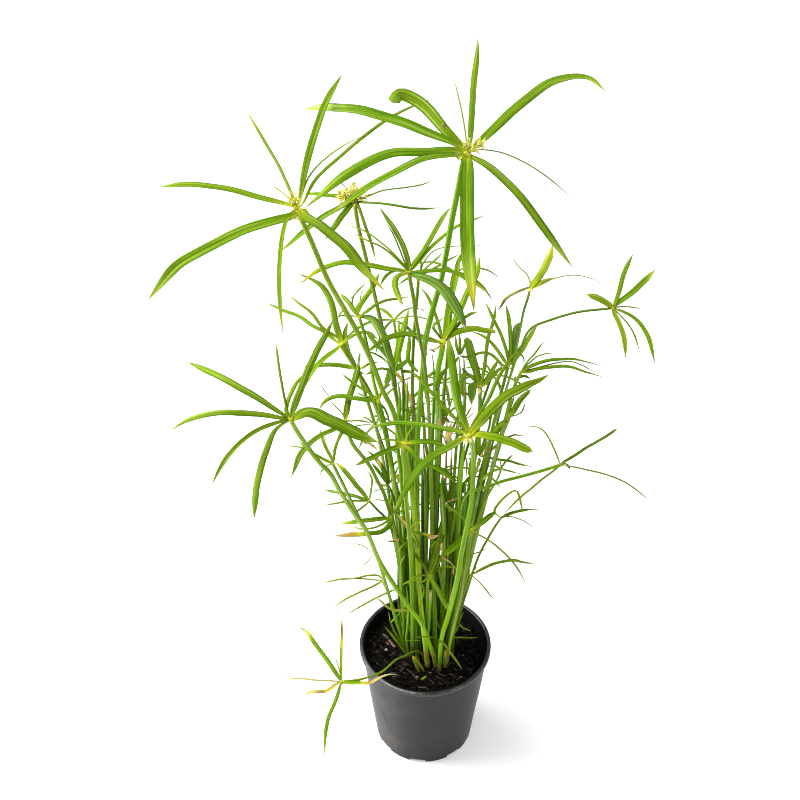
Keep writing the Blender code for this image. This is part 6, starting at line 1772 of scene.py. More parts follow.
def rounded(points, radius, steps=5):
    """Rounds the corners of a profile; radius is one number for each point."""
    p = [np.array(q, float) for q in points]
    out = [p[0]]
    for i in range(1, len(p) - 1):
        r = radius[i]
        a, b = p[i - 1] - p[i], p[i + 1] - p[i]
        la, lb = np.linalg.norm(a), np.linalg.norm(b)
        r = min(r, 0.45 * la, 0.45 * lb)
        if r <= 0:
            out.append(p[i])
            continue
        s, e = p[i] + a / la * r, p[i] + b / lb * r
        for k in range(steps + 1):
            t = k / steps
            out.append(s * (1 - t) ** 2 + 2 * p[i] * t * (1 - t) + e * t * t)
    out.append(p[-1])
    return out


def spread(points, gap):
    """Adds points so that none are further apart than gap."""
    out = [points[0]]
    for a, b in zip(points, points[1:]):
        n = max(1, int(math.ceil(np.linalg.norm(b - a) / gap)))
        out += [a + (b - a) * (k / n) for k in range(1, n + 1)]
    return out


def inner_r(z):
    return (BASE_R - WALL) + (WALL_TOP_R - BASE_R) * (z - FLOOR) / (POT_H - RIM_BAND - 0.001 - FLOOR)


def make_pot():
    corners = [
        (0.0, FLOOR),
        (BASE_R - WALL, FLOOR),
        (WALL_TOP_R - WALL, POT_H - RIM_BAND - 0.0016),
        (RIM_IN_R, POT_H - 0.0052),
        (RIM_IN_R + 0.0006, POT_H - 0.0006),
        (RIM_IN_R + 0.0024, POT_H - 0.0001),
        (RIM_R - 0.0022, POT_H - 0.0004),
        (RIM_R - 0.0004, POT_H - 0.0010),
        (RIM_R, POT_H - BAND),
        (RIM_R - 0.0014, POT_H - BAND - 0.0002),
        (WALL_TOP_R + 0.0004, POT_H - BAND + 0.0016),
        (WALL_TOP_R + 0.0002, POT_H - BAND - 0.0030),
        (BASE_R + 0.0004, 0.0060),
        (BASE_R - 0.0002, 0.0008),
        (BASE_R - 0.0018, 0.0),
        (BASE_R - 0.0052, 0.0),
        (BASE_R - 0.0060, 0.0012),
        (0.0, 0.0012),
    ]
    soft = [0, 0.002, 0.002, 0.0012, 0.0007, 0.0010, 0.0009, 0.0009, 0.0006, 0.0003, 0.0003,
            0.0012, 0.003, 0.0010, 0.0008, 0.0004, 0.0004, 0]
    prof = spread(rounded(corners, soft, 4), 0.0065)
    steps = 168
    rnd = random.Random(11)
    bm = bmesh.new()
    rings = []
    for r, z in prof:
        if r < 1e-6:
            rings.append([bm.verts.new((0, 0, z))])
            continue
        ring = []
        for k in range(steps):
            a = 2 * math.pi * k / steps
            # the moulding isn't quite true: the wall and the rim wander a little
            q = Vector((math.cos(a) * 1.3, math.sin(a) * 1.3, z * 14.0))
            dr = 0.00035 * noise.noise(q) * min(1.0, z / 0.05)
            ring.append(bm.verts.new(((r + dr) * math.cos(a), (r + dr) * math.sin(a), z)))
        rings.append(ring)
    for a, b in zip(rings, rings[1:]):
        for k in range(steps):
            k2 = (k + 1) % steps
            if len(a) == 1:
                bm.faces.new((a[0], b[k2], b[k]))
            elif len(b) == 1:
                bm.faces.new((a[k], a[k2], b[0]))
            else:
                bm.faces.new((a[k], a[k2], b[k2], b[k]))
    bmesh.ops.recalc_face_normals(bm, faces=bm.faces)
    mesh = bpy.data.meshes.new("pot_skin")
    bm.to_mesh(mesh)
    bm.free()
    ob = bpy.data.objects.new("pot_skin", mesh)
    scene.collection.objects.link(ob)
    # drain notches, with rounded upper corners
    bm = bmesh.new()
    for k in range(NOTCHES):
        w, h = NOTCH_W / 2, NOTCH_H
        turn = NOTCH_TURN + 2 * math.pi * k / NOTCHES
        m = mathutils.Matrix.Rotation(turn, 4, "Z")
        ends = []
        for r, left, right in ((BASE_R - 0.0064, -w + 0.0022, w - 0.0006), (BASE_R + 0.0060, -w, w)):
            ends.append([bm.verts.new(m @ Vector((r, y, z))) for y, z in (
                (left, -0.002), (right, -0.002), (right, h - 0.0010), (right - 0.0004, h - 0.0003),
                (right - 0.0012, h), (left + 0.0012, h), (left + 0.0004, h - 0.0003),
                (left, h - 0.0010))])
        near, far = ends
        bm.faces.new(near)
        bm.faces.new(reversed(far))
        for i in range(len(near)):
            j = (i + 1) % len(near)
            bm.faces.new((near[i], far[i], far[j], near[j]))
    bmesh.ops.recalc_face_normals(bm, faces=bm.faces)
    cm = bpy.data.meshes.new("notch_cutter")
    bm.to_mesh(cm)
    bm.free()
    cutter = bpy.data.objects.new("notch_cutter", cm)
    scene.collection.objects.link(cutter)
    mod = ob.modifiers.new("notches", "BOOLEAN")
    mod.operation = "DIFFERENCE"
    mod.solver = "EXACT"
    mod.object = cutter
    dg = bpy.context.evaluated_depsgraph_get()
    dg.update()
    done = bpy.data.meshes.new_from_object(ob.evaluated_get(dg))
    done.name = "pot_skin"
    ob.modifiers.clear()
    ob.data = done
    bpy.data.objects.remove(cutter, do_unlink=True)
    co = np.empty(len(done.vertices) * 3)
    done.vertices.foreach_get("co", co)
    co = co.reshape(-1, 3)
    rr = np.hypot(co[:, 0], co[:, 1])
    inner = ((rr < RIM_IN_R + 0.0004) & (co[:, 2] > FLOOR - 1e-4)
             & (rr < inner_r(co[:, 2]) + 0.0006)).astype(np.float32)
    rim = smooth(co[:, 2], POT_H - BAND - 0.0010, POT_H - BAND) * (1 - inner)
    a = done.attributes.new("inner", "FLOAT", "POINT")
    a.data.foreach_set("value", inner)
    a = done.attributes.new("rim", "FLOAT", "POINT")
    a.data.foreach_set("value", rim.astype(np.float32))
    done.polygons.foreach_set("use_smooth", np.ones(len(done.polygons), dtype=bool))
    done.set_sharp_from_angle(angle=math.radians(42))
    done.materials.clear()
    done.materials.append(POT)
    done.materials.append(RIM)
    for f in done.polygons:
        c = f.center
        if c.z > POT_H - BAND - 0.0006 and math.hypot(c.x, c.y) > RIM_IN_R - 0.0006:
            f.material_index = 1
    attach(ob, "root")
    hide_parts("pot")
    return ob


make_pot()


# ---------------------------------------------------------------------------
# The peat: an uneven surface with crumbs, bark, fibres and perlite on it
# ---------------------------------------------------------------------------
FEET = np.array([sh["xy"] for sh in shoots])


def ground(x, y):
    """Height of the peat at a place."""
    p = Vector((x * 38.0, y * 38.0, 3.1))
    h = 0.0016 * noise.noise(p) + 0.0011 * noise.noise(p * 3.1) + 0.0006 * noise.noise(p * 8.3)
    d = np.min(np.hypot(FEET[:, 0] - x, FEET[:, 1] - y))
    h += 0.0022 * math.exp(-(d / 0.010) ** 2)           # earth drawn up round the culms
    r = math.hypot(x, y)
    h -= 0.0014 * smooth(np.array(r), 0.066, 0.078).item()
    return SOIL_Z + 0.0010 + h


def make_peat():
    edge = inner_r(SOIL_Z) + 0.0006
    bm = bmesh.new()
    rows, cols = 46, 132
    rings = [[bm.verts.new((0, 0, ground(0, 0)))]]
    for i in range(1, rows + 1):
        r = edge * (i / rows) ** 0.92
        rings.append([])
        for k in range(cols):
            a = 2 * math.pi * (k + 0.5 * (i % 2)) / cols
            x, y = r * math.cos(a), r * math.sin(a)
            rings[-1].append(bm.verts.new((x, y, ground(x, y))))
    low = [[], []]
    for q, (r, z) in enumerate(((inner_r(0.060) - 0.0008, 0.060), (inner_r(0.0065) - 0.0012, 0.0050))):
        for k in range(cols):
            a = 2 * math.pi * (k + 0.5 * (rows % 2)) / cols
            low[q].append(bm.verts.new((r * math.cos(a), r * math.sin(a), z)))
    rings += low
    for a, b in zip(rings, rings[1:]):
        for k in range(cols):
            k2 = (k + 1) % cols
            if len(a) == 1:
                bm.faces.new((a[0], b[k], b[k2]))
            else:
                bm.faces.new((a[k], b[k], b[k2], a[k2]))
    bm.faces.new(list(reversed(rings[-1])))
    bmesh.ops.recalc_face_normals(bm, faces=bm.faces)
    mesh = bpy.data.meshes.new("soil_bed")
    bm.to_mesh(mesh)
    bm.free()
    a = mesh.attributes.new("tint", "FLOAT_COLOR", "POINT")
    n = len(mesh.vertices)
    a.data.foreach_set("color", np.tile(np.array((0.0045, 0.0032, 0.0024, 1.0), np.float32), n))
    mesh.polygons.foreach_set("use_smooth", np.ones(len(mesh.polygons), dtype=bool))
    mesh.materials.append(PEAT)
    ob = bpy.data.objects.new("soil_bed", mesh)
    scene.collection.objects.link(ob)
    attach(ob, "root")
    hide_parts("soil")
    return ob


def make_crumbs():
    """Crumbs of peat of many sizes: they carry the surface's roughness."""
    rnd = random.Random(2024)
    heap = Heap()
    edge = inner_r(SOIL_Z) - 0.0012
    for k in range(3300):
        r = edge * math.sqrt(rnd.random())
        a = rnd.uniform(0, 2 * math.pi)
        x, y = r * math.cos(a), r * math.sin(a)
        size = 0.00042 + 0.0024 * rnd.random() ** 4.2
        if r > edge - size:
            continue
        tint = np.array((0.0040, 0.0030, 0.0025)) * rnd.uniform(0.3, 2.2)
        q = rnd.random()
        if q < 0.10:
            tint = np.array((0.024, 0.015, 0.011)) * rnd.uniform(0.5, 1.4)
        elif q < 0.20:
            tint = np.array((0.030, 0.029, 0.027)) * rnd.uniform(0.4, 1.2)
        lump(heap, (x, y, ground(x, y) + rnd.uniform(-0.1, 0.55) * size),
             (size * rnd.uniform(0.8, 1.5), size * rnd.uniform(0.6, 1.1), size * rnd.uniform(0.5, 0.9)),
             tint, rnd, level=2 if size > 0.0013 else 1, rough=0.42)
    # earth and shreds of old sheath packed between the feet
    for k in range(900):
        f = FEET[rnd.randrange(len(FEET))]
        a, d = rnd.uniform(0, 2 * math.pi), rnd.uniform(0.0022, 0.0075)
        x, y = f[0] + d * math.cos(a), f[1] + d * math.sin(a)
        size = 0.0004 + 0.0010 * rnd.random() ** 2
        tint = np.array((0.0060, 0.0042, 0.0034)) * rnd.uniform(0.4, 2.0)
        if rnd.random() < 0.25:
            tint = np.array((0.050, 0.028, 0.022)) * rnd.uniform(0.4, 1.3)
        lump(heap, (x, y, ground(x, y) + rnd.uniform(-0.1, 0.6) * size + 0.0022 * max(0.0, 1 - d / 0.006)),
             (size * rnd.uniform(0.8, 1.6), size * rnd.uniform(0.6, 1.1), size * rnd.uniform(0.5, 0.9)),
             tint, rnd, level=1, rough=0.42)
    ob = heap.make("soil_crumbs", PEAT)
    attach(ob, "root")


def soil_at(u, v, up=0.0):
    """The place on the peat that shows at (u, v)."""
    p = at_height(u, v, SOIL_Z + 0.001)
    for _ in range(3):
        p = at_height(u, v, ground(p[0], p[1]) + up)
    return p


def chip(heap, uvs, width, tint, rnd, thick=0.5, up=0.0008):
    """A splinter or bark chip that lies along the given places on the peat."""
    pts = catmull([soil_at(u, v, up) for u, v in uvs], 5)
    n = len(pts)
    w = 0.5 * width * 0.00129
    x = np.linspace(0, 1, n)
    r = w * (0.45 + 0.55 * np.sin(math.pi * np.clip(x * 0.86 + 0.07, 0, 1)) ** 0.5)
    r = r * np.array([1.0 + 0.25 * noise.noise(Vector((i * 0.9, width, w * 1e4))) for i in range(n)])
    t, a, b = frames_along(pts)
    up_v = np.array((0.0, 0.0, 1.0))
    side = np.cross(t, up_v)
    side /= np.maximum(np.linalg.norm(side, axis=1, keepdims=True), 1e-9)
    nor = np.cross(side, t)
    sides = 8
    th = np.linspace(0, 2 * math.pi, sides, endpoint=False)
    rough = np.array([[1.0 + 0.22 * noise.noise(Vector((i * 1.7, j * 2.3, w * 3e4)))
                       for j in range(sides)] for i in range(n)])
    ring = pts[:, None, :] + side[:, None, :] * (r[:, None] * np.cos(th) * rough)[:, :, None] \
        + nor[:, None, :] * (r[:, None] * thick * np.sin(th) * rough)[:, :, None]
    faces = []
    for i in range(n - 1):
        p, q = i * sides, (i + 1) * sides
        for j in range(sides):
            j2 = (j + 1) % sides
            faces.append((p + j, p + j2, q + j2, q + j))
    faces.append(tuple(reversed(range(sides))))
    faces.append(tuple((n - 1) * sides + j for j in range(sides)))
    k = n * sides
    heap.add(ring.reshape(-1, 3), faces, np.zeros((k, 2)),
             np.broadcast_to(np.asarray(tint, float), (k, 3)), np.zeros(k))


def make_litter():
    rnd = random.Random(77)
    heap = Heap()
    pink = np.array((0.30, 0.175, 0.115))
    tan = np.array((0.26, 0.20, 0.10))
    red = np.array((0.115, 0.048, 0.026))
    grey = np.array((0.075, 0.058, 0.055))
    pale = np.array((0.50, 0.44, 0.36))
    brown = np.array((0.050, 0.031, 0.022))
    for uvs, w, tint in (
        ([(383, 634), (385.5, 636), (388, 638.5)], 2.4, tan * 0.8),
        ([(389, 640), (391.5, 643), (395.5, 647.5)], 3.4, pink),
        ([(386, 642), (389, 645)], 2.2, pink * 0.7),
        ([(376, 653), (378.5, 650)], 1.6, red * 0.8),
        ([(388, 656.5), (392, 654), (396.5, 651.5)], 1.8, red * 1.5),
        ([(396, 664.5), (400, 667), (404.5, 669)], 2.0, grey),
        ([(399, 670), (405, 669), (410, 671)], 1.6, brown),
        ([(403, 664), (409, 666)], 1.4, brown * 1.3),
        ([(392, 677.5), (394.5, 676), (397, 677)], 1.6, grey * 1.1),
        ([(416, 676), (418.5, 678)], 2.4, pink * 1.15),
        ([(431, 671), (434, 668), (436, 665.5)], 1.3, red * 0.9),
        ([(434, 672), (437.5, 677), (441, 678.5)], 1.1, red),
        ([(456, 680), (459, 678), (462, 676.5)], 2.0, grey * 1.3),
        ([(448, 665), (452, 663), (455, 664.5)], 1.3, brown * 1.4),
        ([(415, 688.5), (420, 687), (425, 688)], 1.2, tan * 0.7),
        ([(462, 654.5), (463.6, 656)], 1.5, tan),
        ([(470, 664), (472.5, 662)], 1.2, grey),
        ([(474, 655), (477, 656.5)], 1.2, brown),
        ([(455, 644), (458, 641), (456, 638)], 1.1, brown * 1.5),
        ([(396, 668), (401, 671), (406, 674)], 1.6, red * 0.8),
        ([(402, 661.5), (408, 664.5), (412, 668)], 1.5, red * 0.7),
        ([(408, 670), (413, 674), (417.5, 680)], 1.8, red * 0.9),
        ([(425, 677), (430, 679.5), (434, 684)], 1.5, grey * 0.9),
        ([(436, 670), (440, 674), (446, 676.5)], 1.4, red * 0.8),
        ([(419, 683.5), (424, 686), (429, 689.5)], 1.2, brown * 1.4),
        ([(452, 668), (457, 670), (463, 669)], 1.6, grey * 1.1),
        ([(449, 673.5), (453, 675), (457, 674.5)], 1.5, brown * 1.6),
        ([(466, 668), (471, 669.6), (474.5, 667.6)], 1.3, grey),
        ([(478, 656), (481.5, 652.5)], 1.2, grey * 0.9),
        ([(390, 672), (395, 673.4), (400, 676)], 1.6, grey * 0.8),
        ([(384, 660), (388, 663), (391, 667)], 1.3, red * 0.6),
        ([(380, 645), (383, 649)], 1.5, red * 0.5),
        ([(400, 655), (403.6, 659)], 1.4, grey * 0.7),
        ([(373, 642), (375.4, 646)], 1.3, brown * 1.4),
        ([(375, 662), (379, 665)], 1.3, brown * 1.3),
        ([(439, 683), (444.6, 684), (449, 682)], 1.4, grey * 0.7),
        ([(427, 671.4), (431.6, 674.6)], 1.6, red * 0.7),
    ):
        chip(heap, uvs, w, tint, rnd)
    for u, v, size, tint in ((386, 650, 1.9, pale), (463.3, 655.2, 0.8, tan), (431, 673, 1.0, pale),
                             (467, 660, 0.9, grey * 1.6), (461.5, 677, 1.1, pale * 0.7),
                             (394, 679, 1.0, grey * 1.5), (389, 684, 0.9, grey), (404, 640, 0.9, tan * 0.6),
                             (471, 672, 0.9, grey * 1.3), (376, 668, 0.8, grey)):
        p = soil_at(u, v, 0.0008)
        r = size * 0.00129
        lump(heap, p, (r, r * 0.8, r * 0.6), tint, rnd, level=2, rough=0.30)
    # loose bark, twig ends and perlite over the rest of the surface
    edge = inner_r(SOIL_Z) - 0.003
    for k in range(96):
        a, r = rnd.uniform(0, 6.28), edge * math.sqrt(rnd.uniform(0.12, 1.0))
        x, y = r * math.cos(a), r * math.sin(a)
        if np.min(np.hypot(FEET[:, 0] - x, FEET[:, 1] - y)) < 0.003:
            continue
        turn = rnd.uniform(0, 6.28)
        length = rnd.uniform(0.0014, 0.0052)
        bend = rnd.uniform(-0.3, 0.3)
        pts = []
        for q in (-0.5, 0.0, 0.5):
            px = x + math.cos(turn + bend * q) * length * q
            py = y + math.sin(turn + bend * q) * length * q
            if math.hypot(px, py) > edge:
                break
            pts.append(project((px, py, ground(px, py) + 0.0004)))
        if len(pts) == 3:
            tint = (brown * 0.7, brown * 0.4, grey * 0.4, red * 0.5, grey * 0.6, brown * 0.5)[rnd.randrange(6)]
            chip(heap, pts, rnd.uniform(0.4, 1.0), tint, rnd, up=0.0004)
    for k in range(14):
        a, r = rnd.uniform(0, 6.28), edge * math.sqrt(rnd.uniform(0.1, 1.0))
        x, y = r * math.cos(a), r * math.sin(a)
        s = rnd.uniform(0.0004, 0.0009)
        lump(heap, (x, y, ground(x, y) + 0.3 * s), (s, s * 0.9, s * 0.7), pale * rnd.uniform(0.15, 0.5),
             rnd, level=1, rough=0.3)
    ob = heap.make("soil_litter", CHIP)
    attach(ob, "root")
    # fine roots and fibres that curl on and out of the peat
    heap = Heap()
    for k in range(80):
        a, r = rnd.uniform(0, 6.28), edge * math.sqrt(rnd.uniform(0.05, 1.0))
        x, y = r * math.cos(a), r * math.sin(a)
        turn = rnd.uniform(0, 6.28)
        step = rnd.uniform(0.0007, 0.0015)
        pts = []
        hop = rnd.uniform(0.0002, 0.0016)
        n = rnd.randrange(6, 12)
        for q in range(n):
            if math.hypot(x, y) > edge:
                break
            pts.append((x, y, ground(x, y) + 0.0001 + hop * math.sin(math.pi * q / (n - 1))))
            turn += rnd.uniform(-0.55, 0.55)
            x += step * math.cos(turn)
            y += step * math.sin(turn)
        if len(pts) < 4:
            continue
        pts = catmull(pts, 3)
        tint = (np.array((0.050, 0.030, 0.020)), np.array((0.090, 0.062, 0.042)),
                np.array((0.022, 0.015, 0.011)))[rnd.randrange(3)] * rnd.uniform(0.6, 1.1)
        tube(heap, pts, rnd.uniform(0.00009, 0.00024), tint, sides=5)
    ob = heap.make("soil_fibres", CHIP)
    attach(ob, "root")


make_peat()
make_crumbs()
make_litter()


# ---------------------------------------------------------------------------
# Slender things between the shoots: thin culms, young leaves, dry sheaths
# ---------------------------------------------------------------------------
WAY = []            # (point, radius) of every strand that is already placed
for sh in shoots:
    run = resample(sh["line"], max(8, int(arc_lengths(sh["line"])[-1] / 0.003)))
    for k, p in enumerate(run):
        WAY.append((p, sh["r1"] + (sh["r0"] - sh["r1"]) * k / (len(run) - 1)))
    for leaf in sh["leaves"]:
        run = resample(leaf["line"], max(4, int(leaf["length"] / 0.006)))
        for p in run[1:]:
            WAY.append((p, 0.0016))


def near_tree():
    tree = mathutils.kdtree.KDTree(len(WAY))
    for k, (p, r) in enumerate(WAY):
        tree.insert(Vector(p), k)
    tree.balance()
    return tree


TREE = near_tree()
FRESH = 0


def settle(pts, r, rooted, reach=0.014):
    """Slides a strand along its sight lines into the nearest gap between the others."""
    global TREE, FRESH
    pts = np.asarray(pts)
    rays = pts - np.array(EYE)
    rays /= np.linalg.norm(rays, axis=1, keepdims=True)
    s = arc_lengths(pts)
    ease = smooth(s, 0.0, 0.035) if rooted else np.ones(len(pts))
    best = None
    for k in range(15):
        for sign in ((1.0,) if k == 0 else (1.0, -1.0)):
            off = sign * reach * k / 14
            q = pts + rays * (ease * off)[:, None]
            bad = 0.0
            for p in q[::2]:
                _, i, d = TREE.find(Vector(p))
                bad += max(0.0, WAY[i][1] + r - d)
            cost = bad / max(len(q[::2]), 1) * 30 + abs(off)
            if best is None or cost < best[0]:
                best = (cost, q, bad)
        if best[2] < 1e-5:
            break
    q = best[1]
    for p in q[::2]:
        WAY.append((p, r))
    FRESH += 1
    if FRESH % 12 == 0:
        TREE = near_tree()
    return q


def strand(uvs, y0, y1=None, step=0.006):
    """World points under view points, first to last, from depth y0 to y1.
    Without y1 the last point stands on the soil."""
    uvs = [tuple(map(float, q)) for q in uvs]
    if y1 is None:
        foot = at_height(uvs[-1][0], uvs[-1][1], SOIL_Z)
        y1 = foot[1]
    q = np.array(uvs)
    s = np.concatenate(([0.0], np.cumsum(np.linalg.norm(np.diff(q, axis=0), axis=1))))
    t = s / s[-1]
    pts = [at_depth(u, v, y0 + (y1 - y0) * k) for (u, v), k in zip(uvs, t)]
    line = catmull(pts, 8) if len(pts) > 2 else np.array(pts)
    return resample(line, max(5, int(arc_lengths(line)[-1] / step) + 1))


def thin_culm(heap, uvs, y, w, tone, rnd, end="spear", w1=None, foot_col=None, top_col=None):
    """A slender culm given from its top to its foot on the soil."""
    line = strand(uvs, y * 0.001)[::-1]
    r_top = 0.5 * w * scale_at(line[-1])
    r_foot = 0.5 * (w1 or w) * scale_at(line[0])
    line = settle(line, 0.8 * max(r_top, r_foot), True)
    n = len(line)
    s = arc_lengths(line)
    x = s / s[-1]
    r = r_foot + (r_top - r_foot) * x
    if end == "spear":
        r = r * np.clip((1.0 - x) / min(0.5, 0.055 / s[-1]), 0.0, 1.0) ** 0.6 + 0.00012
    base = TONE[tone] * np.array((rnd.uniform(0.85, 1.15), rnd.uniform(0.9, 1.08), 1.0)) \
        * rnd.uniform(0.8, 1.25)
    low = lerp(TONE["b"], TONE[tone], 0.6) * rnd.uniform(0.75, 1.25)
    col = lerp(np.broadcast_to(low, (n, 3)), base, smooth(x, 0.15, 0.7)) * np.array((1.05, 1.39, 0.68))
    if tone == "d":
        col = col * 0.62
    foot = foot_col if foot_col is not None else (
        np.array((0.36, 0.44, 0.05)), np.array((0.30, 0.20, 0.075)))[rnd.randrange(2)]
    col = lerp(col, foot, 1.0 - smooth(s, 0.006, 0.030))
    col = lerp(col, BROWN * 0.5, 0.85 * (1.0 - smooth(s, 0.002, 0.010)))
    if top_col is not None:
        col = lerp(col, top_col, smooth(x, 0.80, 0.97))
    pts = np.vstack([line[:1] - np.array((0, 0, 0.004)), line])
    tube(heap, pts, np.concatenate([r[:1], r]), np.vstack([col[:1], col]), sides=10,
         tri=0.08, phase=rnd.uniform(0, 6), v0=rnd.uniform(0, 5))
    return line


def strip(heap, line, w, tone, tip, rnd, fold=None, shape=None, stops=None, hub=False, wave=0.0,
          twist=None, thick=0.00036, base_dry=0.0, mat=0):
    """A blade on a given line, w view units wide as it is seen."""
    k0 = seen_width(line)
    a, b = seen_width(line, 0.12), seen_width(line, -0.12)
    roll = (1.0 if a > b else -1.0) * min(0.9, 1.1 * (1.0 - k0))
    width = w * scale_at(line[len(line) // 2]) / max(seen_width(line, roll), 0.5)
    blade(heap, line, width, tone, tip, rnd, fold=rnd.uniform(0.2, 0.45) if fold is None else fold,
          ridge=0.04, roll=roll, twist=rnd.uniform(-0.2, 0.2) if twist is None else twist,
          shape=shape or leaf_shape(rnd.uniform(0.55, 0.7), 0.6, 0.2), hub=hub, stops=stops,
          wave=wave, thick=thick, base_dry=base_dry, mat=mat, step=0.003)


def thin_leaf(heap, uvs, y, w, tone, tip, rnd, dy=0.0, **more):
    line = strand(uvs, y * 0.001, (y + dy) * 0.001, 0.003)
    line = settle(line, 0.0012, False, 0.008)
    strip(heap, line, w, tone, tip, rnd, **more)
    return line


rnd = random.Random(5150)
stems = Heap()
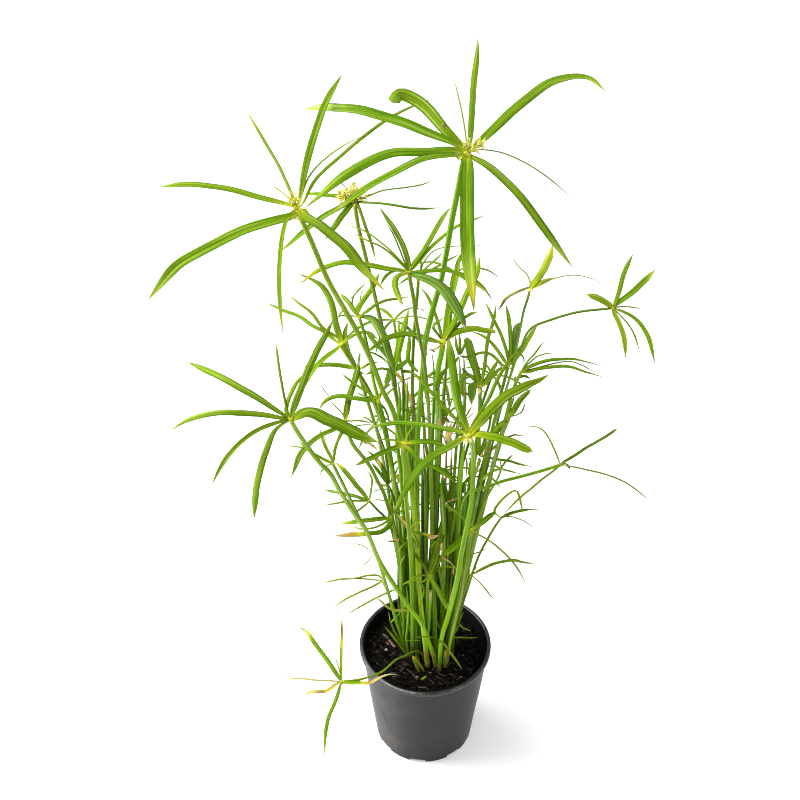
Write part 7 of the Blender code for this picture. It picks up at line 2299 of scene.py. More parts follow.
# (top to foot in the view, depth of the top in mm, width, tone, foot's width)
THIN_CULMS = [
    ([(384, 574), (387.5, 590), (391.5, 606), (396, 619), (400, 631), (404, 643), (407, 655)],
     -16, 2.2, "b", 2.2),
    ([(406.5, 586), (407.6, 598), (408.4, 612), (407.6, 625), (406.4, 639), (408, 650), (410, 658)],
     -38, 2.3, "b", 2.0),
    ([(400.5, 540), (400.5, 575), (402, 608), (404.5, 635), (407, 652)], -6, 3.2, "b", 2.6),
    ([(406, 538), (405.5, 575), (405.4, 608), (406.5, 635), (408.5, 652)], 0, 3.2, "g", 2.6),
    ([(411, 545), (411.5, 580), (412, 615), (413, 651)], -14, 3.0, "d", 2.6),
    ([(416, 548), (416.6, 580), (416.5, 615), (416, 652)], -18, 2.8, "g", 2.6),
    ([(421.5, 560), (421, 590), (420, 620), (420, 655)], -16, 2.6, "d", 2.6),
    ([(428.3, 572), (427.6, 596), (426.6, 608), (425.4, 620), (425.6, 640), (426.5, 655)],
     -36, 2.6, "b", 2.6),
    ([(434.2, 585), (434.8, 605), (435.6, 630), (436.5, 650), (437, 660)], -22, 3.6, "g", 3.0),
    ([(438, 535), (439, 575), (440, 605), (439.5, 646)], 4, 3.6, "d", 3.0),
    ([(443, 530), (443.5, 575), (443, 605), (441, 650)], 0, 3.6, "d", 3.0),
    ([(448, 532), (447.5, 575), (446.5, 605), (444, 648)], -8, 3.2, "g", 3.0),
    ([(452.5, 540), (451.5, 575), (449.5, 605), (446.5, 650)], -2, 3.4, "d", 3.0),
    ([(434.5, 540), (435, 580), (433, 610), (432, 648)], 2, 3.4, "d", 3.0),
    ([(430.5, 545), (430, 580), (429, 612), (428, 645)], 8, 3.2, "d", 3.0),
    ([(425.5, 545), (424.5, 580), (424, 612), (423.5, 642)], 6, 3.2, "d", 3.0),
    ([(465.5, 441), (463.5, 450), (462, 462), (460.5, 478), (459.5, 495), (459, 512),
      (457.5, 535), (455.5, 560), (453.5, 590), (450.5, 620), (448, 648)], -20, 4.0, "b", 3.2),
    ([(458, 560), (456, 590), (452.5, 618), (448.5, 645)], -24, 3.6, "b", 3.4),
    ([(467, 545), (463.5, 575), (458.5, 603), (453.5, 628), (450, 650)], -8, 2.8, "g", 3.0),
    ([(470, 570), (466.5, 588), (461, 606), (455.5, 626), (451.5, 648)], -14, 2.2, "d", 2.6),
    ([(461.5, 480), (461.5, 500), (460, 530), (457, 565), (453, 600), (447, 640)], 6, 2.6, "d", 2.8),
    ([(466, 480), (464.5, 505), (462.5, 535), (459, 570), (454.5, 605), (447, 643)], 0, 3.0, "g", 3.0),
    ([(473.5, 455), (470, 480), (468, 505), (465.5, 535), (461.5, 570), (455.5, 608), (449, 644)],
     14, 3.2, "g", 3.0),
    ([(482, 470), (479, 490), (475, 515), (470, 545), (463.5, 580), (455.5, 615), (448, 644)],
     18, 3.0, "g", 2.8),
    ([(421, 372), (422, 400), (423.5, 420), (425, 440), (427.5, 458), (428, 490), (427, 530),
      (426, 580), (425, 646)], 22, 2.6, "o", 2.6),
    ([(411, 372), (412.5, 390), (414, 405), (414.5, 430), (413, 470), (413, 520), (414, 580),
      (416, 646)], 40, 2.4, "d", 2.6),
    ([(403, 376), (403.5, 400), (404, 420), (405.5, 440), (406, 480), (407, 530), (408.5, 590),
      (411, 645)], 30, 4.4, "d", 2.8),
    ([(407.5, 380), (407.2, 400), (407, 425), (409, 450), (411.5, 480), (412.5, 520), (413, 575),
      (414, 644)], 18, 3.6, "g", 2.6),
    ([(398, 380), (400, 400), (398.5, 420), (397, 440), (400.5, 470), (403, 510), (404, 560),
      (405, 605), (409, 648)], 6, 3.6, "b", 3.0),
    ([(389, 484), (392, 494), (396, 506), (399, 525), (402, 555), (404, 590), (408.5, 645)],
     22, 3.6, "d", 3.0),
    ([(394, 511), (396, 522), (398.5, 540), (400.5, 565), (403, 600), (407, 648)], -8, 3.0, "o", 3.0),
    ([(415.5, 478), (416.5, 500), (417.5, 520), (418, 545), (417.5, 580), (417, 650)], -12, 4.6, "b", 3.4),
    ([(421.5, 455), (422.5, 480), (422.5, 510), (422.5, 545), (421.5, 590), (420.5, 648)], 14, 2.6, "d", 2.8),
    ([(425.5, 470), (425.8, 500), (426, 530), (425.6, 570), (425, 610), (425, 646)], 0, 2.6, "g", 2.6),
    ([(433, 462), (434.5, 490), (436, 520), (436.5, 560), (436, 600), (435, 648)], 20, 3.2, "d", 3.0),
    ([(441, 478), (442, 500), (443.5, 525), (443.5, 560), (442.5, 600), (439.5, 650)], -10, 4.6, "g", 3.4),
    ([(447, 500), (447, 520), (446.5, 550), (445.5, 590), (442.5, 644)], 12, 3.6, "d", 3.0),
    ([(453.5, 505), (453, 530), (451.5, 560), (449, 600), (445, 645)], 10, 3.6, "d", 3.0),
    ([(494, 468), (489, 490), (483, 512), (477, 535), (471, 560), (463.5, 590), (452, 642)], 12, 2.4, "b", 2.6),
    ([(446, 405), (447, 425), (446.5, 450), (446, 471), (445, 500), (444, 540), (442, 590), (440, 646)],
     36, 2.0, "t", 2.2),
    ([(451.5, 440), (451, 460), (450, 480), (448.5, 500), (448, 540), (446, 590), (443, 644)],
     44, 1.6, "t", 2.0),
    ([(463.5, 352), (464.5, 372), (465, 395), (463.5, 420), (461, 450), (458, 485), (455, 525),
      (451.5, 570), (445, 643)], 50, 2.6, "g", 2.8),
    ([(459, 355), (460, 370), (459.5, 392), (458, 415), (456, 450), (453, 490), (450, 530),
      (447, 580), (442, 643)], 34, 2.6, "b", 2.8),
    ([(432, 352), (434, 372), (434, 395), (433, 430), (432, 470), (431.5, 520), (431, 580),
      (430, 643)], 56, 2.4, "g", 2.6),
    ([(368.5, 351), (370.5, 362), (373, 378), (378, 398), (384, 420), (389, 445), (394, 475),
      (398, 510), (402, 560), (410, 643)], 34, 2.6, "b", 2.6),
]
for uvs, y, w, tone, w1 in THIN_CULMS:
    dry = np.array((0.42, 0.28, 0.11)) if tone == "t" else None
    k = 1.25 if uvs[0][1] < 490 and tone != "t" else 1.0
    thin_culm(stems, uvs, y, w * k, tone, rnd, w1=w1, foot_col=dry)

# the cut stub of an old culm, and the pale sheath beside the bright culm on the right
line = thin_culm(stems, [(430.4, 591), (429.8, 605), (429, 620), (428.2, 634), (427.6, 648), (428, 657)],
                 -36, 3.4, "b", rnd, end="cut", w1=3.6, top_col=np.array((0.62, 0.56, 0.26)))
lump(stems, line[-1], (0.0019, 0.0019, 0.0007), (0.50, 0.38, 0.18), rnd, level=2, rough=0.15, dry=0.6,
     turn=mathutils.Euler((0.1, 0.0, 0.0)))

# slender culms of every age fill the middle of the tuft; each ends in a spear
# of leaves that have not yet opened
LEFT = [(430, 384), (480, 391), (520, 394), (560, 396), (600, 394), (625, 399), (640, 405), (652, 408)]
RIGHT = [(430, 482), (480, 478), (520, 472), (560, 466), (600, 459), (625, 454), (640, 450), (652, 447)]
for k in range(12):
    f = (k + rnd.uniform(0.15, 0.85)) / 12
    top = rnd.uniform(470, 585) if k % 4 else rnd.uniform(430, 480)
    foot_v = 640 + 14 * rnd.random()
    rows = np.linspace(top, foot_v, 6)
    q = []
    for v in rows:
        a = np.interp(v, [c[0] for c in LEFT], [c[1] for c in LEFT])
        b = np.interp(v, [c[0] for c in RIGHT], [c[1] for c in RIGHT])
        q.append((a + (b - a) * f, v))
    y = 1000 * at_height(q[-1][0], foot_v, SOIL_Z)[1] + rnd.uniform(0.0, 0.30) * (foot_v - top)
    thin_culm(stems, q, y, rnd.uniform(2.0, 3.0), "dddgob"[rnd.randrange(6)], rnd, w1=rnd.uniform(1.8, 2.4))
ob = stems.make("thin_culms", CULM)
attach(ob, "root")

# (way in the view, depth in mm, width, tone, tip, depth gained along it)
THIN_LEAVES = [
    # the loop of a thin leaf across the front, and threads lying over the foot
    ([(424.6, 626), (421.8, 618), (419.7, 611), (420.8, 603), (423.2, 596), (424, 590), (423.2, 586),
      (421, 584), (418, 581.3), (415, 579.4), (412, 579.8), (409.4, 582.5), (407.5, 586)],
     -40, 1.9, "b", "n", -4),
    ([(432, 613), (436, 620), (439, 626), (441.5, 632)], -46, 1.4, "d", "p", 4),
    ([(438.5, 566), (440.5, 576), (442.5, 586), (444.5, 597)], -40, 2.8, "d", "p", 4),
    ([(449, 637.4), (458, 637.4), (468, 637.6), (477.5, 637.8)], -28, 1.7, "o", "p", 3),
    ([(420, 640.4), (413, 640.3), (406.5, 640.4)], -42, 1.3, "d", "p", 2),
    ([(438, 637.6), (430, 637.2), (424, 636.8), (415.5, 637.4)], -42, 1.3, "d", "p", 2),
    ([(438, 640), (444, 644), (450, 652), (456, 660), (462, 669)], -44, 2.5, "o", "p", -4),
    ([(448, 603), (447, 607), (444.6, 609.6), (446, 606.6), (450, 604.6)], -60, 1.6, "y", "p", 2),
    # left of the foot
    ([(407, 655), (400, 645), (392.5, 635.5), (385, 626.8)], -20, 2.8, "o", "n", 0),
    ([(406, 653), (400, 640), (394, 630), (390.4, 620.5), (388.6, 612)], -14, 2.2, "o", "y", 2),
    ([(391, 622.5), (395, 618), (399, 613.5), (402.5, 610)], -22, 1.7, "b", "n", 2),
    ([(409, 610.3), (401, 610.5), (394, 610), (387, 606.5), (381, 601), (375.6, 597)],
     -34, 2.8, "a", "w", -6),
    ([(404.8, 607.5), (404.4, 602), (404.3, 596)], -36, 2.4, "a", "o", 0),
    ([(419, 681), (422, 679), (424.5, 677.3), (426.8, 675.6)], -46, 2.6, "b", "n", 0),
    # the small whorl on the soil at the right
    ([(458.6, 624.4), (460.2, 618), (463.6, 612)], -2, 2.1, "o", "n", 6),
    ([(459, 624.6), (464, 628.3), (470.6, 631)], -2, 1.9, "o", "p", 0),
    ([(458.4, 625), (456.5, 630), (452.6, 635.4)], -2, 1.9, "y", "w", -5),
    ([(458.6, 624.8), (460.6, 625.2), (461.6, 626.6)], -2, 2.4, "b", "p", 0),
    # dark whorl at the left of the clump
    ([(389, 483), (384.5, 472), (378, 461), (370.5, 453), (366, 450)], 22, 5.0, "d", "n", 20),
    ([(389, 483), (388, 470), (386.4, 460), (384.5, 449)], 22, 3.0, "d", "n", 22),
    ([(388, 484), (382, 475.5), (376, 468), (371, 462)], 22, 3.8, "d", "n", 12),
    ([(387.5, 485), (383, 485.5), (379, 484), (374, 481.6)], 22, 2.6, "o", "p", 4),
    ([(389, 484), (392.5, 478), (396, 472), (398.6, 464)], 22, 2.0, "o", "y", 8),
    ([(397, 474), (398.6, 478.6), (400.8, 485)], 12, 4.0, "t", "w", 2),
    # the yellow hub below it
    ([(394, 511), (400, 511.4), (407, 508.2), (413.5, 505)], -8, 1.8, "b", "p", 2),
    ([(395, 512), (399, 514.5), (402, 511.6), (405, 510.4)], -8, 1.3, "y", "p", 2),
    ([(394, 511), (398, 516.4), (402.4, 521.6), (405.6, 526.4), (407.6, 530)], -12, 4.0, "y", "w", -4),
    ([(393.6, 510.6), (392, 507), (388.6, 503.6)], -8, 1.8, "y", "p", 2),
    ([(410.8, 530), (413, 524), (415.6, 518)], -46, 1.9, "b", "n", 4),
    ([(411, 530.4), (416, 525.6), (419.4, 522.4), (421.4, 518.6)], -46, 2.3, "y", "y", 2),
    ([(427, 537.4), (431, 536.6), (435, 536.4), (438.4, 535.4)], -46, 4.8, "t", "w", -2),
    ([(411, 531), (408.6, 534.6), (406.6, 539.4)], -44, 2.4, "t", "w", -3),
    ([(399.6, 540.6), (396, 539), (391.4, 538.2)], -30, 4.4, "t", "w", 0),
    ([(397, 541.4), (392, 541.2), (385.6, 541)], -30, 1.7, "o", "n", 0),
    ([(405, 543.4), (401.4, 546.8), (398.8, 551), (397, 553.6)], -30, 1.6, "y", "y", 0),
    ([(401, 549), (403, 552.6), (406, 555.4)], -30, 1.8, "y", "y", 0),
    ([(404.4, 555.6), (402.2, 560), (399.6, 565)], -30, 1.8, "y", "y", 0),
    ([(430.6, 548), (433, 544.4), (436, 541)], -30, 3.0, "y", "y", 2),
    ([(442, 553), (442.6, 561), (442.4, 572)], -34, 1.9, "y", "p", 0),
    ([(441.6, 558), (445, 559), (448.4, 560.6), (452, 564), (456.6, 569)], -36, 2.2, "t", "w", -2),
    ([(438.6, 567.6), (444, 566.8), (450, 566.8), (456, 568)], -40, 1.7, "b", "p", -3),
    ([(453.4, 567.6), (453.4, 571), (454, 575)], -40, 2.0, "t", "w", 0),
    ([(442, 543), (441.4, 548.4), (442.4, 553)], -34, 2.2, "t", "p", 0),
    ([(462.4, 553), (462, 565), (461.6, 576), (460.4, 588)], -20, 2.2, "y", "y", -3),
    # dark whorl in the middle
    ([(447, 502), (443, 493), (437.4, 482), (433, 469)], 10, 4.6, "d", "n", 18),
    ([(447, 502), (446, 493), (444, 484), (442.4, 474)], 10, 5.0, "d", "o", 16),
    ([(447.4, 502), (450, 496), (453, 489), (457.4, 481.6)], 10, 3.8, "d", "n", 10),
    ([(448, 503), (453, 508), (457, 512), (462, 517.4), (466, 523)], 8, 1.9, "d", "n", -8),
    ([(458, 498), (453, 500), (448, 501.6), (443.4, 504)], 2, 2.0, "t", "w", 0),
    ([(449.4, 506), (449.6, 509), (449, 512)], 0, 3.6, "y", "w", 0),
    ([(456, 481.4), (451, 476), (445, 470.6), (438, 465.6)], 0, 3.6, "d", "n", 10),
    ([(456, 507), (454.4, 518), (452, 530), (450.4, 545)], -6, 4.0, "g", "n", -3),
    # right part of the clump
    ([(464.4, 455), (466.8, 461), (466.6, 469), (466.4, 477)], 10, 1.8, "o", "n", -4),
    ([(463, 493), (463.6, 485), (467.6, 479.4), (472.2, 473.6)], 6, 3.8, "d", "n", 6),
    ([(468.6, 489), (469.4, 483), (470.8, 477)], 4, 3.0, "o", "n", 4),
    ([(468.6, 475), (470, 465), (471.4, 455)], 0, 2.8, "b", "n", 4),
    ([(479.6, 456), (478.8, 448), (478.6, 438), (479.4, 428)], 24, 5.0, "b", "n", 8),
    ([(480.2, 456), (482.4, 448), (485, 440), (488.6, 431)], 18, 4.4, "d", "n", 8),
    ([(480, 457), (481.4, 455), (483, 452)], 10, 2.8, "t", "w", 2),
    ([(480, 458), (478.4, 464), (476, 471)], 10, 3.6, "y", "w", -2),
    ([(487, 434), (489, 427), (490.6, 418), (492, 408)], 22, 2.8, "d", "n", 6),
    ([(492, 434), (493, 426), (494.6, 416)], 26, 2.4, "b", "n", 6),
    ([(496.6, 434), (499.6, 427.6), (503.4, 420)], 22, 4.2, "d", "w", 6),
    ([(506, 437.6), (511, 436), (514.4, 434.6), (519, 435.4), (524, 436)], 16, 1.9, "d", "w", 4),
    ([(502, 470), (508, 471), (515, 472.6), (521, 473.4)], -14, 1.2, "o", "p", 2),
    # long narrow bract out of the tuft to the left
    ([(398, 588.4), (384, 594), (370, 601), (356, 609), (342, 616.8)], -34, 2.1, "g", "p", -6),
    # upper middle
    ([(437, 391), (438.6, 381), (443, 372), (451.5, 364)], -20, 5.0, "d", "n", 20),
    ([(462, 369), (466, 372), (470, 376)], 6, 3.0, "d", "n", 6),
    ([(418, 372), (412, 366), (408, 358), (409, 346), (409.5, 330)], 14, 4.6, "b", "n", 24),
    ([(430, 376), (434, 372), (440, 370)], 8, 2.4, "d", "n", 4),
    ([(396, 371), (401, 366), (406, 361), (409, 357.6)], 30, 4.2, "d", "n", 6),
    ([(401, 372), (408, 371), (414, 374)], 30, 3.6, "d", "n", 3),
    ([(421, 381), (427, 377), (433, 371)], 12, 2.0, "g", "n", 3),
    ([(385, 383), (387, 376), (390, 367)], 20, 3.0, "g", "n", 8),
    ([(380.4, 403.6), (385, 409), (387.6, 415), (389.6, 422)], -10, 2.4, "d", "n", -5),
    ([(386, 395.6), (390, 391), (395.4, 387)], 10, 2.6, "g", "n", 4),
    ([(411.4, 408), (409.6, 414), (408.6, 421)], 0, 2.8, "d", "n", -4),
    ([(412, 408), (410.8, 401), (410.4, 393)], 4, 4.0, "t", "w", 4),
    ([(412, 409), (415.6, 410), (418, 404), (418.6, 396)], 4, 2.2, "d", "n", 6),
    ([(412, 409), (408, 411), (404.6, 409)], 4, 2.2, "d", "n", 2),
    ([(412.6, 410), (413, 414), (410.4, 416)], 0, 2.2, "y", "y", -2),
    ([(420, 415), (425, 418), (431, 422)], -6, 1.8, "d", "n", 0),
    ([(450.4, 443.6), (448.8, 437), (449.6, 429), (451.6, 420.6)], 4, 6.6, "t", "w", 4),
    ([(441, 429), (440, 424), (439.4, 418)], 6, 4.6, "t", "w", 3),
    ([(466.6, 371), (462, 378), (460.6, 387), (462.6, 396.4)], 4, 5.0, "d", "n", 2),
    ([(477, 381), (473.6, 386), (471.8, 395), (471.6, 404)], 2, 6.8, "d", "p", 2),
    ([(446, 444), (444.4, 438), (441.4, 433), (438.4, 430)], 10, 2.0, "t", "w", 4),
    ([(442, 427), (439.4, 422), (440.6, 415)], 14, 3.2, "t", "w", 4),
    ([(445, 416), (443, 411), (441.4, 408)], 20, 3.6, "d", "n", 5),
    ([(445.4, 417), (448, 419.6), (449.8, 424)], 18, 3.0, "t", "o", 0),
    ([(445, 416.6), (444.6, 421), (442, 427)], 18, 2.6, "o", "y", -2),
    ([(446.4, 416), (448.6, 410), (451, 402), (453.6, 396)], 22, 2.0, "d", "n", 8),
    ([(459, 428), (458, 424), (459.4, 418.6)], 8, 3.4, "t", "w", 2),
    ([(464.6, 392.6), (467.6, 394), (471, 396.4)], 18, 3.0, "t", "o", 0),
    ([(465.6, 417), (468.4, 412), (472, 406)], 0, 2.0, "o", "n", 3),
    ([(466, 418.6), (471, 415.4), (476.4, 409.6)], 0, 1.2, "o", "p", 3),
    ([(363, 442), (368.6, 442.8), (374, 446), (378.6, 452)], -20, 3.6, "t", "w", 0),
    ([(376.4, 458), (379.4, 462), (380.8, 469)], -14, 4.4, "t", "w", -2),
    # round the hubs higher up
    ([(368.6, 351), (373, 347.8), (378, 345), (384, 343.4)], 34, 2.8, "g", "n", 6),
    ([(369, 351.6), (375.6, 354), (381.6, 357), (387, 360.6)], 34, 1.8, "d", "n", 0),
    ([(368.4, 351), (367, 345), (365.6, 339)], 34, 2.2, "g", "n", 8),
    ([(372, 370.6), (369, 373), (365.4, 375)], 30, 1.9, "d", "n", 0),
    ([(376, 371), (378.6, 369), (384, 368.4), (391, 369)], 26, 2.2, "d", "n", 2),
    ([(357.4, 370), (358.2, 364), (358.8, 358)], 88, 2.0, "o", "p", 6),
    ([(359.4, 371), (362, 373), (364.6, 374.6)], 86, 1.8, "o", "p", -2),
    ([(354, 384), (348, 379), (342, 374)], -20, 1.4, "d", "p", 6),
    ([(329, 396), (324, 390), (320, 383)], -20, 1.2, "o", "p", 6),
    ([(349.6, 300), (356, 293.4), (362, 287), (367, 282)], 60, 1.3, "d", "p", 8),
    ([(360, 301), (361, 294), (363.4, 287.6)], 58, 1.3, "o", "p", 6),
    ([(337.6, 317), (342, 315.4), (346, 314.6)], 50, 1.5, "d", "n", 2),
    ([(338.6, 316), (341, 312.4), (343.6, 309)], 50, 1.9, "g", "n", 4),
    ([(358, 368), (352, 375)], 60, 1.6, "g", "n", 0),
    ([(440.6, 338), (436, 332.4), (431.6, 327.8)], 14, 2.0, "d", "n", 8),
    ([(431.6, 328), (436, 324), (440.6, 320), (445.6, 316.6)], 24, 1.5, "o", "p", 6),
    ([(441, 343.6), (435, 341), (428, 338)], 12, 1.8, "d", "n", 3),
    ([(435, 352), (431, 349.6), (428, 349.4)], 14, 1.9, "t", "o", 3),
    ([(459, 355), (456.4, 345), (455.4, 335)], 32, 3.2, "y", "n", 8),
    ([(459.6, 355), (460, 344), (459.2, 332.6)], 32, 3.2, "b", "n", 10),
    ([(460.4, 354.6), (463.6, 347), (467, 340)], 32, 3.0, "g", "n", 7),
    ([(460, 356), (466, 357), (474, 354)], 30, 2.2, "d", "n", 0),
    ([(459, 357), (455, 362), (452, 368)], 28, 3.0, "d", "n", -3),
    ([(464.6, 318), (469.6, 313.6), (475.6, 312)], 40, 2.6, "b", "p", 4),
    ([(520, 354), (523.4, 357), (524, 362), (521.6, 366)], 18, 1.6, "g", "n", 0),
    ([(455, 155), (459, 158.6), (463.6, 160.4)], -24, 1.8, "y", "p", 0),
    ([(370, 550), (361, 545), (352, 543)], -30, 1.1, "o", "p", 0),
    ([(372, 556), (366, 563), (360, 568)], -30, 1.1, "o", "p", 0),
    ([(345, 578), (334, 580), (323, 583)], -28, 1.1, "o", "p", 0),
    ([(516, 386), (515.4, 381), (515, 375)], 18, 3.0, "y", "y", 3),
    ([(518, 378), (524, 375.6), (531, 379)], 18, 3.0, "d", "p", 2),
]
rnd = random.Random(808)
green, dry = Heap(), Heap()
OLD = [(0.00, 0.30, np.array((0.82, 0.58, 0.28)), 0.25), (0.35, 0.60, np.array((0.74, 0.42, 0.15)), 0.4),
       (0.70, 0.95, np.array((0.88, 0.72, 0.44)), 0.3)]
for uvs, y, w, tone, tip, dy in THIN_LEAVES:
    if tone == "a":
        thin_leaf(dry, uvs, y, w, "y", tip, rnd, dy, fold=0.3, stops=[
            (-0.2, -0.1, np.array((0.46, 0.42, 0.07)), 0.1), (0.45, 0.75, np.array((0.74, 0.50, 0.10)), 0.15),
            (0.85, 1.0, np.array((0.80, 0.60, 0.20)), 0.2)])
    elif tone == "t":
        brown = tip == "o"
        stops = [(0.0, 0.2, BROWN * 0.8, 0.6), (0.5, 0.9, TAN * 0.7, 0.6)] if brown else OLD
        thin_leaf(dry, uvs, y, w, tone, tip, rnd, dy, stops=stops, wave=0.10,
                  fold=rnd.uniform(0.5, 0.9), shape=leaf_shape(0.55, 0.8, 0.2), thick=0.0003)
    else:
        thin_leaf(green, uvs, y, w, tone, tip, rnd, dy)

# small whorls end the thin culms that the leaves above hide
for k in range(14):
    v = rnd.uniform(400, 520)
    u = rnd.uniform(392, 470)
    y = rnd.uniform(40, 80)
    hub_at = at_depth(u, v, y * 0.001)
    for j in range(4):
        a = 2 * math.pi * (j + rnd.uniform(-0.2, 0.2)) / 4 + k
        reach = rnd.uniform(0.020, 0.042)
        way = np.array((math.cos(a), math.sin(a), 0.0))
        line = catmull([hub_at, hub_at + way * 0.35 * reach + np.array((0, 0, 0.22 * reach)),
                        hub_at + way * 0.75 * reach + np.array((0, 0, 0.22 * reach)),
                        hub_at + way * reach + np.array((0, 0, -0.02 * reach))], 6)
        blade(green, line, rnd.uniform(0.0022, 0.0040), "ddg"[rnd.randrange(3)], "n", rnd,
              fold=0.35, shape=leaf_shape(0.6, 0.5, 0.2), step=0.004)
ob = green.make("thin_leaves", LEAF)
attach(ob, "root")


# short brown scales stand round the feet of the culms in front
rnd = random.Random(4242)
RUST = np.array((0.16, 0.075, 0.040))
PLUM = np.array((0.075, 0.040, 0.032))
for sh in shoots:
    x, y = sh["xy"]
    front = y < 0.012
    for k in range(5 if front else 2):
        a = rnd.uniform(math.pi, 2 * math.pi) if front else rnd.uniform(0, 2 * math.pi)
        out = np.array((math.cos(a), math.sin(a), 0.0))
        r = sh["r1"] * 0.95
        z0 = SOIL_Z - 0.001
        h = rnd.uniform(0.007, 0.016)
        base = np.array((x, y, z0)) + out * (r + 0.0002)
        grow = (sh["line"][1] - sh["line"][0])
        grow = grow / np.linalg.norm(grow)
        line = catmull([base, base + grow * 0.45 * h + out * 0.0005,
                        base + grow * h + out * rnd.uniform(0.0003, 0.0030)], 4)
        c0 = (RUST, PLUM, np.array((0.24, 0.15, 0.075)))[rnd.randrange(3)] * rnd.uniform(0.6, 1.2)
        blade(dry, line, rnd.uniform(0.0022, 0.0036), "t", "n", rnd, fold=-0.5, hub=False,
              stops=[(-0.2, -0.1, c0, 0.6), (0.55, 0.95, c0 * 1.8, 0.8)],
              shape=leaf_shape(0.35, 0.9, 0.1), thick=0.0003, step=0.002)


# ---------------------------------------------------------------------------
# Dry sheaths, young shoots
# ---------------------------------------------------------------------------
ob = dry.make("dry_sheaths", LEAF)
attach(ob, "root")

young = Heap()
for u, v, y, size, col in ((530.2, 290.0, 0.046, (0.0026, 0.0024, 0.0016), (0.84, 0.70, 0.20)),
                           (478.9, 391.2, 0.000, (0.0027, 0.0022, 0.0030), (0.84, 0.80, 0.34)),
                           (443.2, 126.6, None, (0.0017, 0.0006, 0.0029), (0.40, 0.28, 0.16)),
                           (445.2, 124.8, None, (0.0007, 0.0008, 0.0024), (0.11, 0.060, 0.045))):
    if y is None:                          # a scar on the upper edge of a wide bract
        y = -0.0045
    lump(young, at_depth(u, v, y), size, col, rnd, level=2, rough=0.3, dry=0.2,
         turn=mathutils.Euler((0.0, -0.5 if u < 450 else 0.0, 0.0)))
lime = np.array((0.34, 0.47, 0.020))
for uvs, w in (([(413, 656.5), (414.6, 660.5), (417, 666), (419.4, 671.5)], 2.8),
               ([(413.4, 656), (417, 660.5), (421, 666), (424.4, 671.5)], 2.9),
               ([(445.4, 650), (445.2, 656), (444.8, 662), (444.6, 668.5)], 3.6)):
    line = strand(uvs, at_height(uvs[-1][0], uvs[-1][1], SOIL_Z)[1] - 0.001, None, 0.002)[::-1]
    line = line + np.array((0.0, -0.0005, 0.0))
    x = np.linspace(0, 1, len(line))
    r = 0.5 * w * scale_at(line[0]) * (0.85 + 0.3 * np.sin(math.pi * np.clip(x, 0, 0.8)))
    r = r * np.clip((1.04 - x) / 0.16, 0.0, 1.0) ** 0.5
    col = lerp(np.broadcast_to(np.array((0.30, 0.33, 0.040)), (len(line), 3)), lime, smooth(x, 0.1, 0.7))
    col = lerp(col, np.array((0.66, 0.60, 0.08)), smooth(x, 0.55, 0.9) * (1.0 if w > 3 else 0.5))
    tube(young, line, np.maximum(r, 0.0002), col, sides=12, tri=0.06)
ob = young.make("young_shoots", CULM)
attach(ob, "root")


# ---------------------------------------------------------------------------
# Flower spikelets in the whorls' middles
# ---------------------------------------------------------------------------
flowers = Heap()
rnd = random.Random(66)


def spikelets(centre, up, count, reach, size, cols, lean=None, spread_=1.0):
    """Short rays from a hub, each with a small flat spikelet at its end."""
    up = np.asarray(up) / np.linalg.norm(up)
    for k in range(count):
        z = rnd.uniform(0.05, 1.0)
        a = rnd.uniform(0, 2 * math.pi)
        ring = math.sqrt(max(0.0, 1 - z * z)) * spread_
        e1 = np.cross(up, (0.0, 1.0, 0.3))
        e1 /= np.linalg.norm(e1)
        e2 = np.cross(up, e1)
        d = up * z * 0.75 + e1 * ring * math.cos(a) + e2 * ring * math.sin(a)
        if lean is not None:
            d = d + np.asarray(lean)
        d /= np.linalg.norm(d)
        far = reach * rnd.uniform(0.45, 1.0)
        tip_at = centre + d * far
        mid_at = centre + d * far * 0.5 + up * 0.10 * far
        colour = cols[rnd.randrange(len(cols))] * rnd.uniform(0.8, 1.15)
        tube(flowers, catmull([centre, mid_at, tip_at], 3), np.full(7, 0.00028),
             np.array((0.40, 0.46, 0.08)), sides=5)
        q = Vector(d).to_track_quat("Z", "Y")
        for j in range(rnd.randrange(1, 4)):
            turn = q @ mathutils.Euler((rnd.uniform(-0.7, 0.7), rnd.uniform(-0.7, 0.7), 0)).to_quaternion()
            s = size * rnd.uniform(0.7, 1.2)
            off = np.array(turn @ Vector((0, 0, 1))) * s * 0.8
            lump(flowers, tip_at + off, (s * 0.30, s * 0.16, s), colour, rnd, level=2, rough=0.12,
                 turn=turn.to_euler())


STRAW = [np.array((0.68, 0.62, 0.07)), np.array((0.76, 0.66, 0.12)), np.array((0.54, 0.56, 0.04)),
         np.array((0.82, 0.75, 0.22))]
GOLD = [np.array((0.66, 0.60, 0.030)), np.array((0.58, 0.58, 0.030)), np.array((0.74, 0.66, 0.10))]
CREAMY = [np.array((0.84, 0.78, 0.16)), np.array((0.86, 0.82, 0.36)), np.array((0.70, 0.66, 0.05))]


def hub_of(name):
    return BY[name]["hub3"], BY[name]["normal"]


c, n = hub_of("02")
spikelets(c + n * 0.001, n, 16, 0.0165, 0.0025, STRAW)
for u, v, count, reach in ((345.5, 196, 24, 0.0072), (352.5, 193, 26, 0.0080), (361, 195, 22, 0.0070),
                           (348, 200.5, 16, 0.0070), (356.5, 198.5, 18, 0.0072)):
    at = np.array(at_depth(u, v, c[1] - 0.003))
    tube(flowers, catmull([c, 0.5 * (c + at) + n * 0.001, at], 4), np.full(9, 0.00055),
         np.array((0.44, 0.50, 0.06)), sides=6)
    spikelets(at, n, count, reach, 0.0029, STRAW, lean=(0.0, -0.35, -0.15), spread_=1.2)
for u, v in ((357.5, 200), (346.6, 197), (360.4, 196.6), (351.6, 198.2), (344.6, 192.6), (354.6, 202)):
    lump(flowers, at_depth(u, v, c[1] - 0.0115), (0.0009, 0.0007, 0.0010), (0.030, 0.034, 0.012), rnd,
         level=2, rough=0.3)
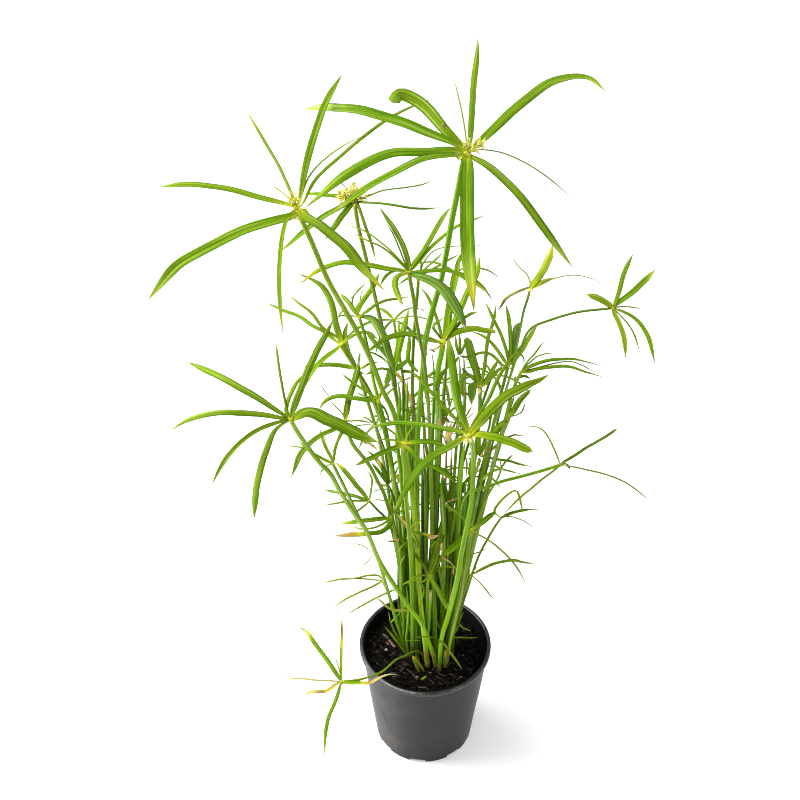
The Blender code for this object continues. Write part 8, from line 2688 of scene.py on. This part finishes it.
c, n = hub_of("03")
spikelets(c + n * 0.001, n, 10, 0.0100, 0.0024, STRAW, lean=(0.5, 0.0, 0.3))
spikelets(c, n, 16, 0.0072, 0.0026, CREAMY, lean=(0.1, -0.8, -0.45))
spikelets(at_depth(467, 147, c[1] - 0.003), n, 8, 0.0060, 0.0026, CREAMY, lean=(0.0, -0.5, 0.5))
spikelets(at_depth(477, 147.5, c[1] - 0.004), n, 14, 0.0065, 0.0026, CREAMY, lean=(0.5, -0.2, 0.3))
spikelets(at_depth(480, 144, c[1] - 0.004), n, 8, 0.0055, 0.0022, STRAW, lean=(0.5, -0.2, 0.4))
c, n = hub_of("01")
spikelets(c + n * 0.002, n, 10, 0.0075, 0.0024, GOLD, lean=(-0.5, -0.2, 0.6))
spikelets(c, n, 16, 0.0085, 0.0030, GOLD, lean=(0.3, -0.9, -0.5))
spikelets(at_depth(294.5, 199, c[1] - 0.004), n, 10, 0.0070, 0.0026, GOLD, lean=(-0.2, -0.5, 0.3))
spikelets(at_depth(301, 214.5, c[1] - 0.006), n, 9, 0.0050, 0.0026, GOLD, lean=(0.2, -0.6, -0.6))
c, n = hub_of("04")
spikelets(c, n, 10, 0.0060, 0.0018, GOLD, lean=(0.0, -0.4, 0.1))
c, n = hub_of("13")
spikelets(c, n, 12, 0.0050, 0.0024, GOLD, lean=(0.2, -0.7, -0.4))
spikelets(at_depth(468.6, 437.6, c[1] - 0.006), n, 9, 0.0030, 0.0024, CREAMY, lean=(0.1, -0.8, -0.5))
c, n = hub_of("14")
spikelets(c, n, 6, 0.0055, 0.0020, GOLD, lean=(0.0, -0.6, -0.7))
for name, count in (("06", 5), ("07", 6), ("08", 4), ("10", 4), ("16", 4), ("22", 5), ("25", 4),
                    ("28", 4), ("31", 4), ("34", 4), ("30", 5), ("12", 4), ("27", 4), ("05", 5),
                    ("35", 8), ("36", 6), ("39", 6)):
    c, n = hub_of(name)
    spikelets(c, n, count, 0.0038, 0.0015, GOLD, lean=(0.0, -0.3, 0.1))
ob = flowers.make("flower_spikelets", FLORET)
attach(ob, "root")


# ---------------------------------------------------------------------------
# Floor and light
# ---------------------------------------------------------------------------
def floor_material():
    s = Shade("floor", 0.95, 0.0)
    a = s.noise(s.here(), 3.0, 2.0)
    s.link(s.mix(s.ramp(a, 0.3, 0.7), (0.90, 0.90, 0.905), (0.92, 0.92, 0.925)),
           s.b.inputs["Base Color"])
    s.b.inputs["Emission Color"].default_value = (1.0, 1.0, 1.0, 1.0)
    s.b.inputs["Emission Strength"].default_value = 0.31
    return s.mat


bm = bmesh.new()
bmesh.ops.create_circle(bm, cap_ends=True, segments=96, radius=24.0)
mesh = bpy.data.meshes.new("floor")
bm.to_mesh(mesh)
bm.free()
mesh.materials.append(floor_material())
floor = bpy.data.objects.new("floor", mesh)
floor.location.z = -0.0002
scene.collection.objects.link(floor)

world = bpy.data.worlds.new("studio")
scene.world = world
world.use_nodes = True
wt = world.node_tree
bg = wt.nodes["Background"]
coord = wt.nodes.new("ShaderNodeTexCoord")
parts = wt.nodes.new("ShaderNodeSeparateXYZ")
wt.links.new(coord.outputs["Generated"], parts.inputs[0])
dome = wt.nodes.new("ShaderNodeMapRange")
dome.interpolation_type = "SMOOTHSTEP"
dome.inputs[1].default_value = -0.1
dome.inputs[2].default_value = 0.9
dome.inputs[3].default_value = 0.50
dome.inputs[4].default_value = 0.74
wt.links.new(parts.outputs[2], dome.inputs[0])
wt.links.new(dome.outputs[0], bg.inputs[1])
bg.inputs[0].default_value = (0.97, 0.985, 1.0, 1.0)


def softbox(name, place, aim, size, power, colour):
    data = bpy.data.lights.new(name, "AREA")
    data.shape = "DISK"
    data.size = size
    data.energy = power
    data.color = colour
    ob = bpy.data.objects.new(name, data)
    ob.location = place
    ob.rotation_euler = (Vector(aim) - Vector(place)).to_track_quat("-Z", "Y").to_euler()
    scene.collection.objects.link(ob)


softbox("key", (-1.35, 0.40, 2.7), (0.0, 0.0, 0.35), 2.5, 101.0, (1.0, 0.985, 0.95))
softbox("side", (-1.7, 0.1, 0.75), (0.0, 0.0, 0.25), 0.9, 25.0, (1.0, 0.99, 0.97))
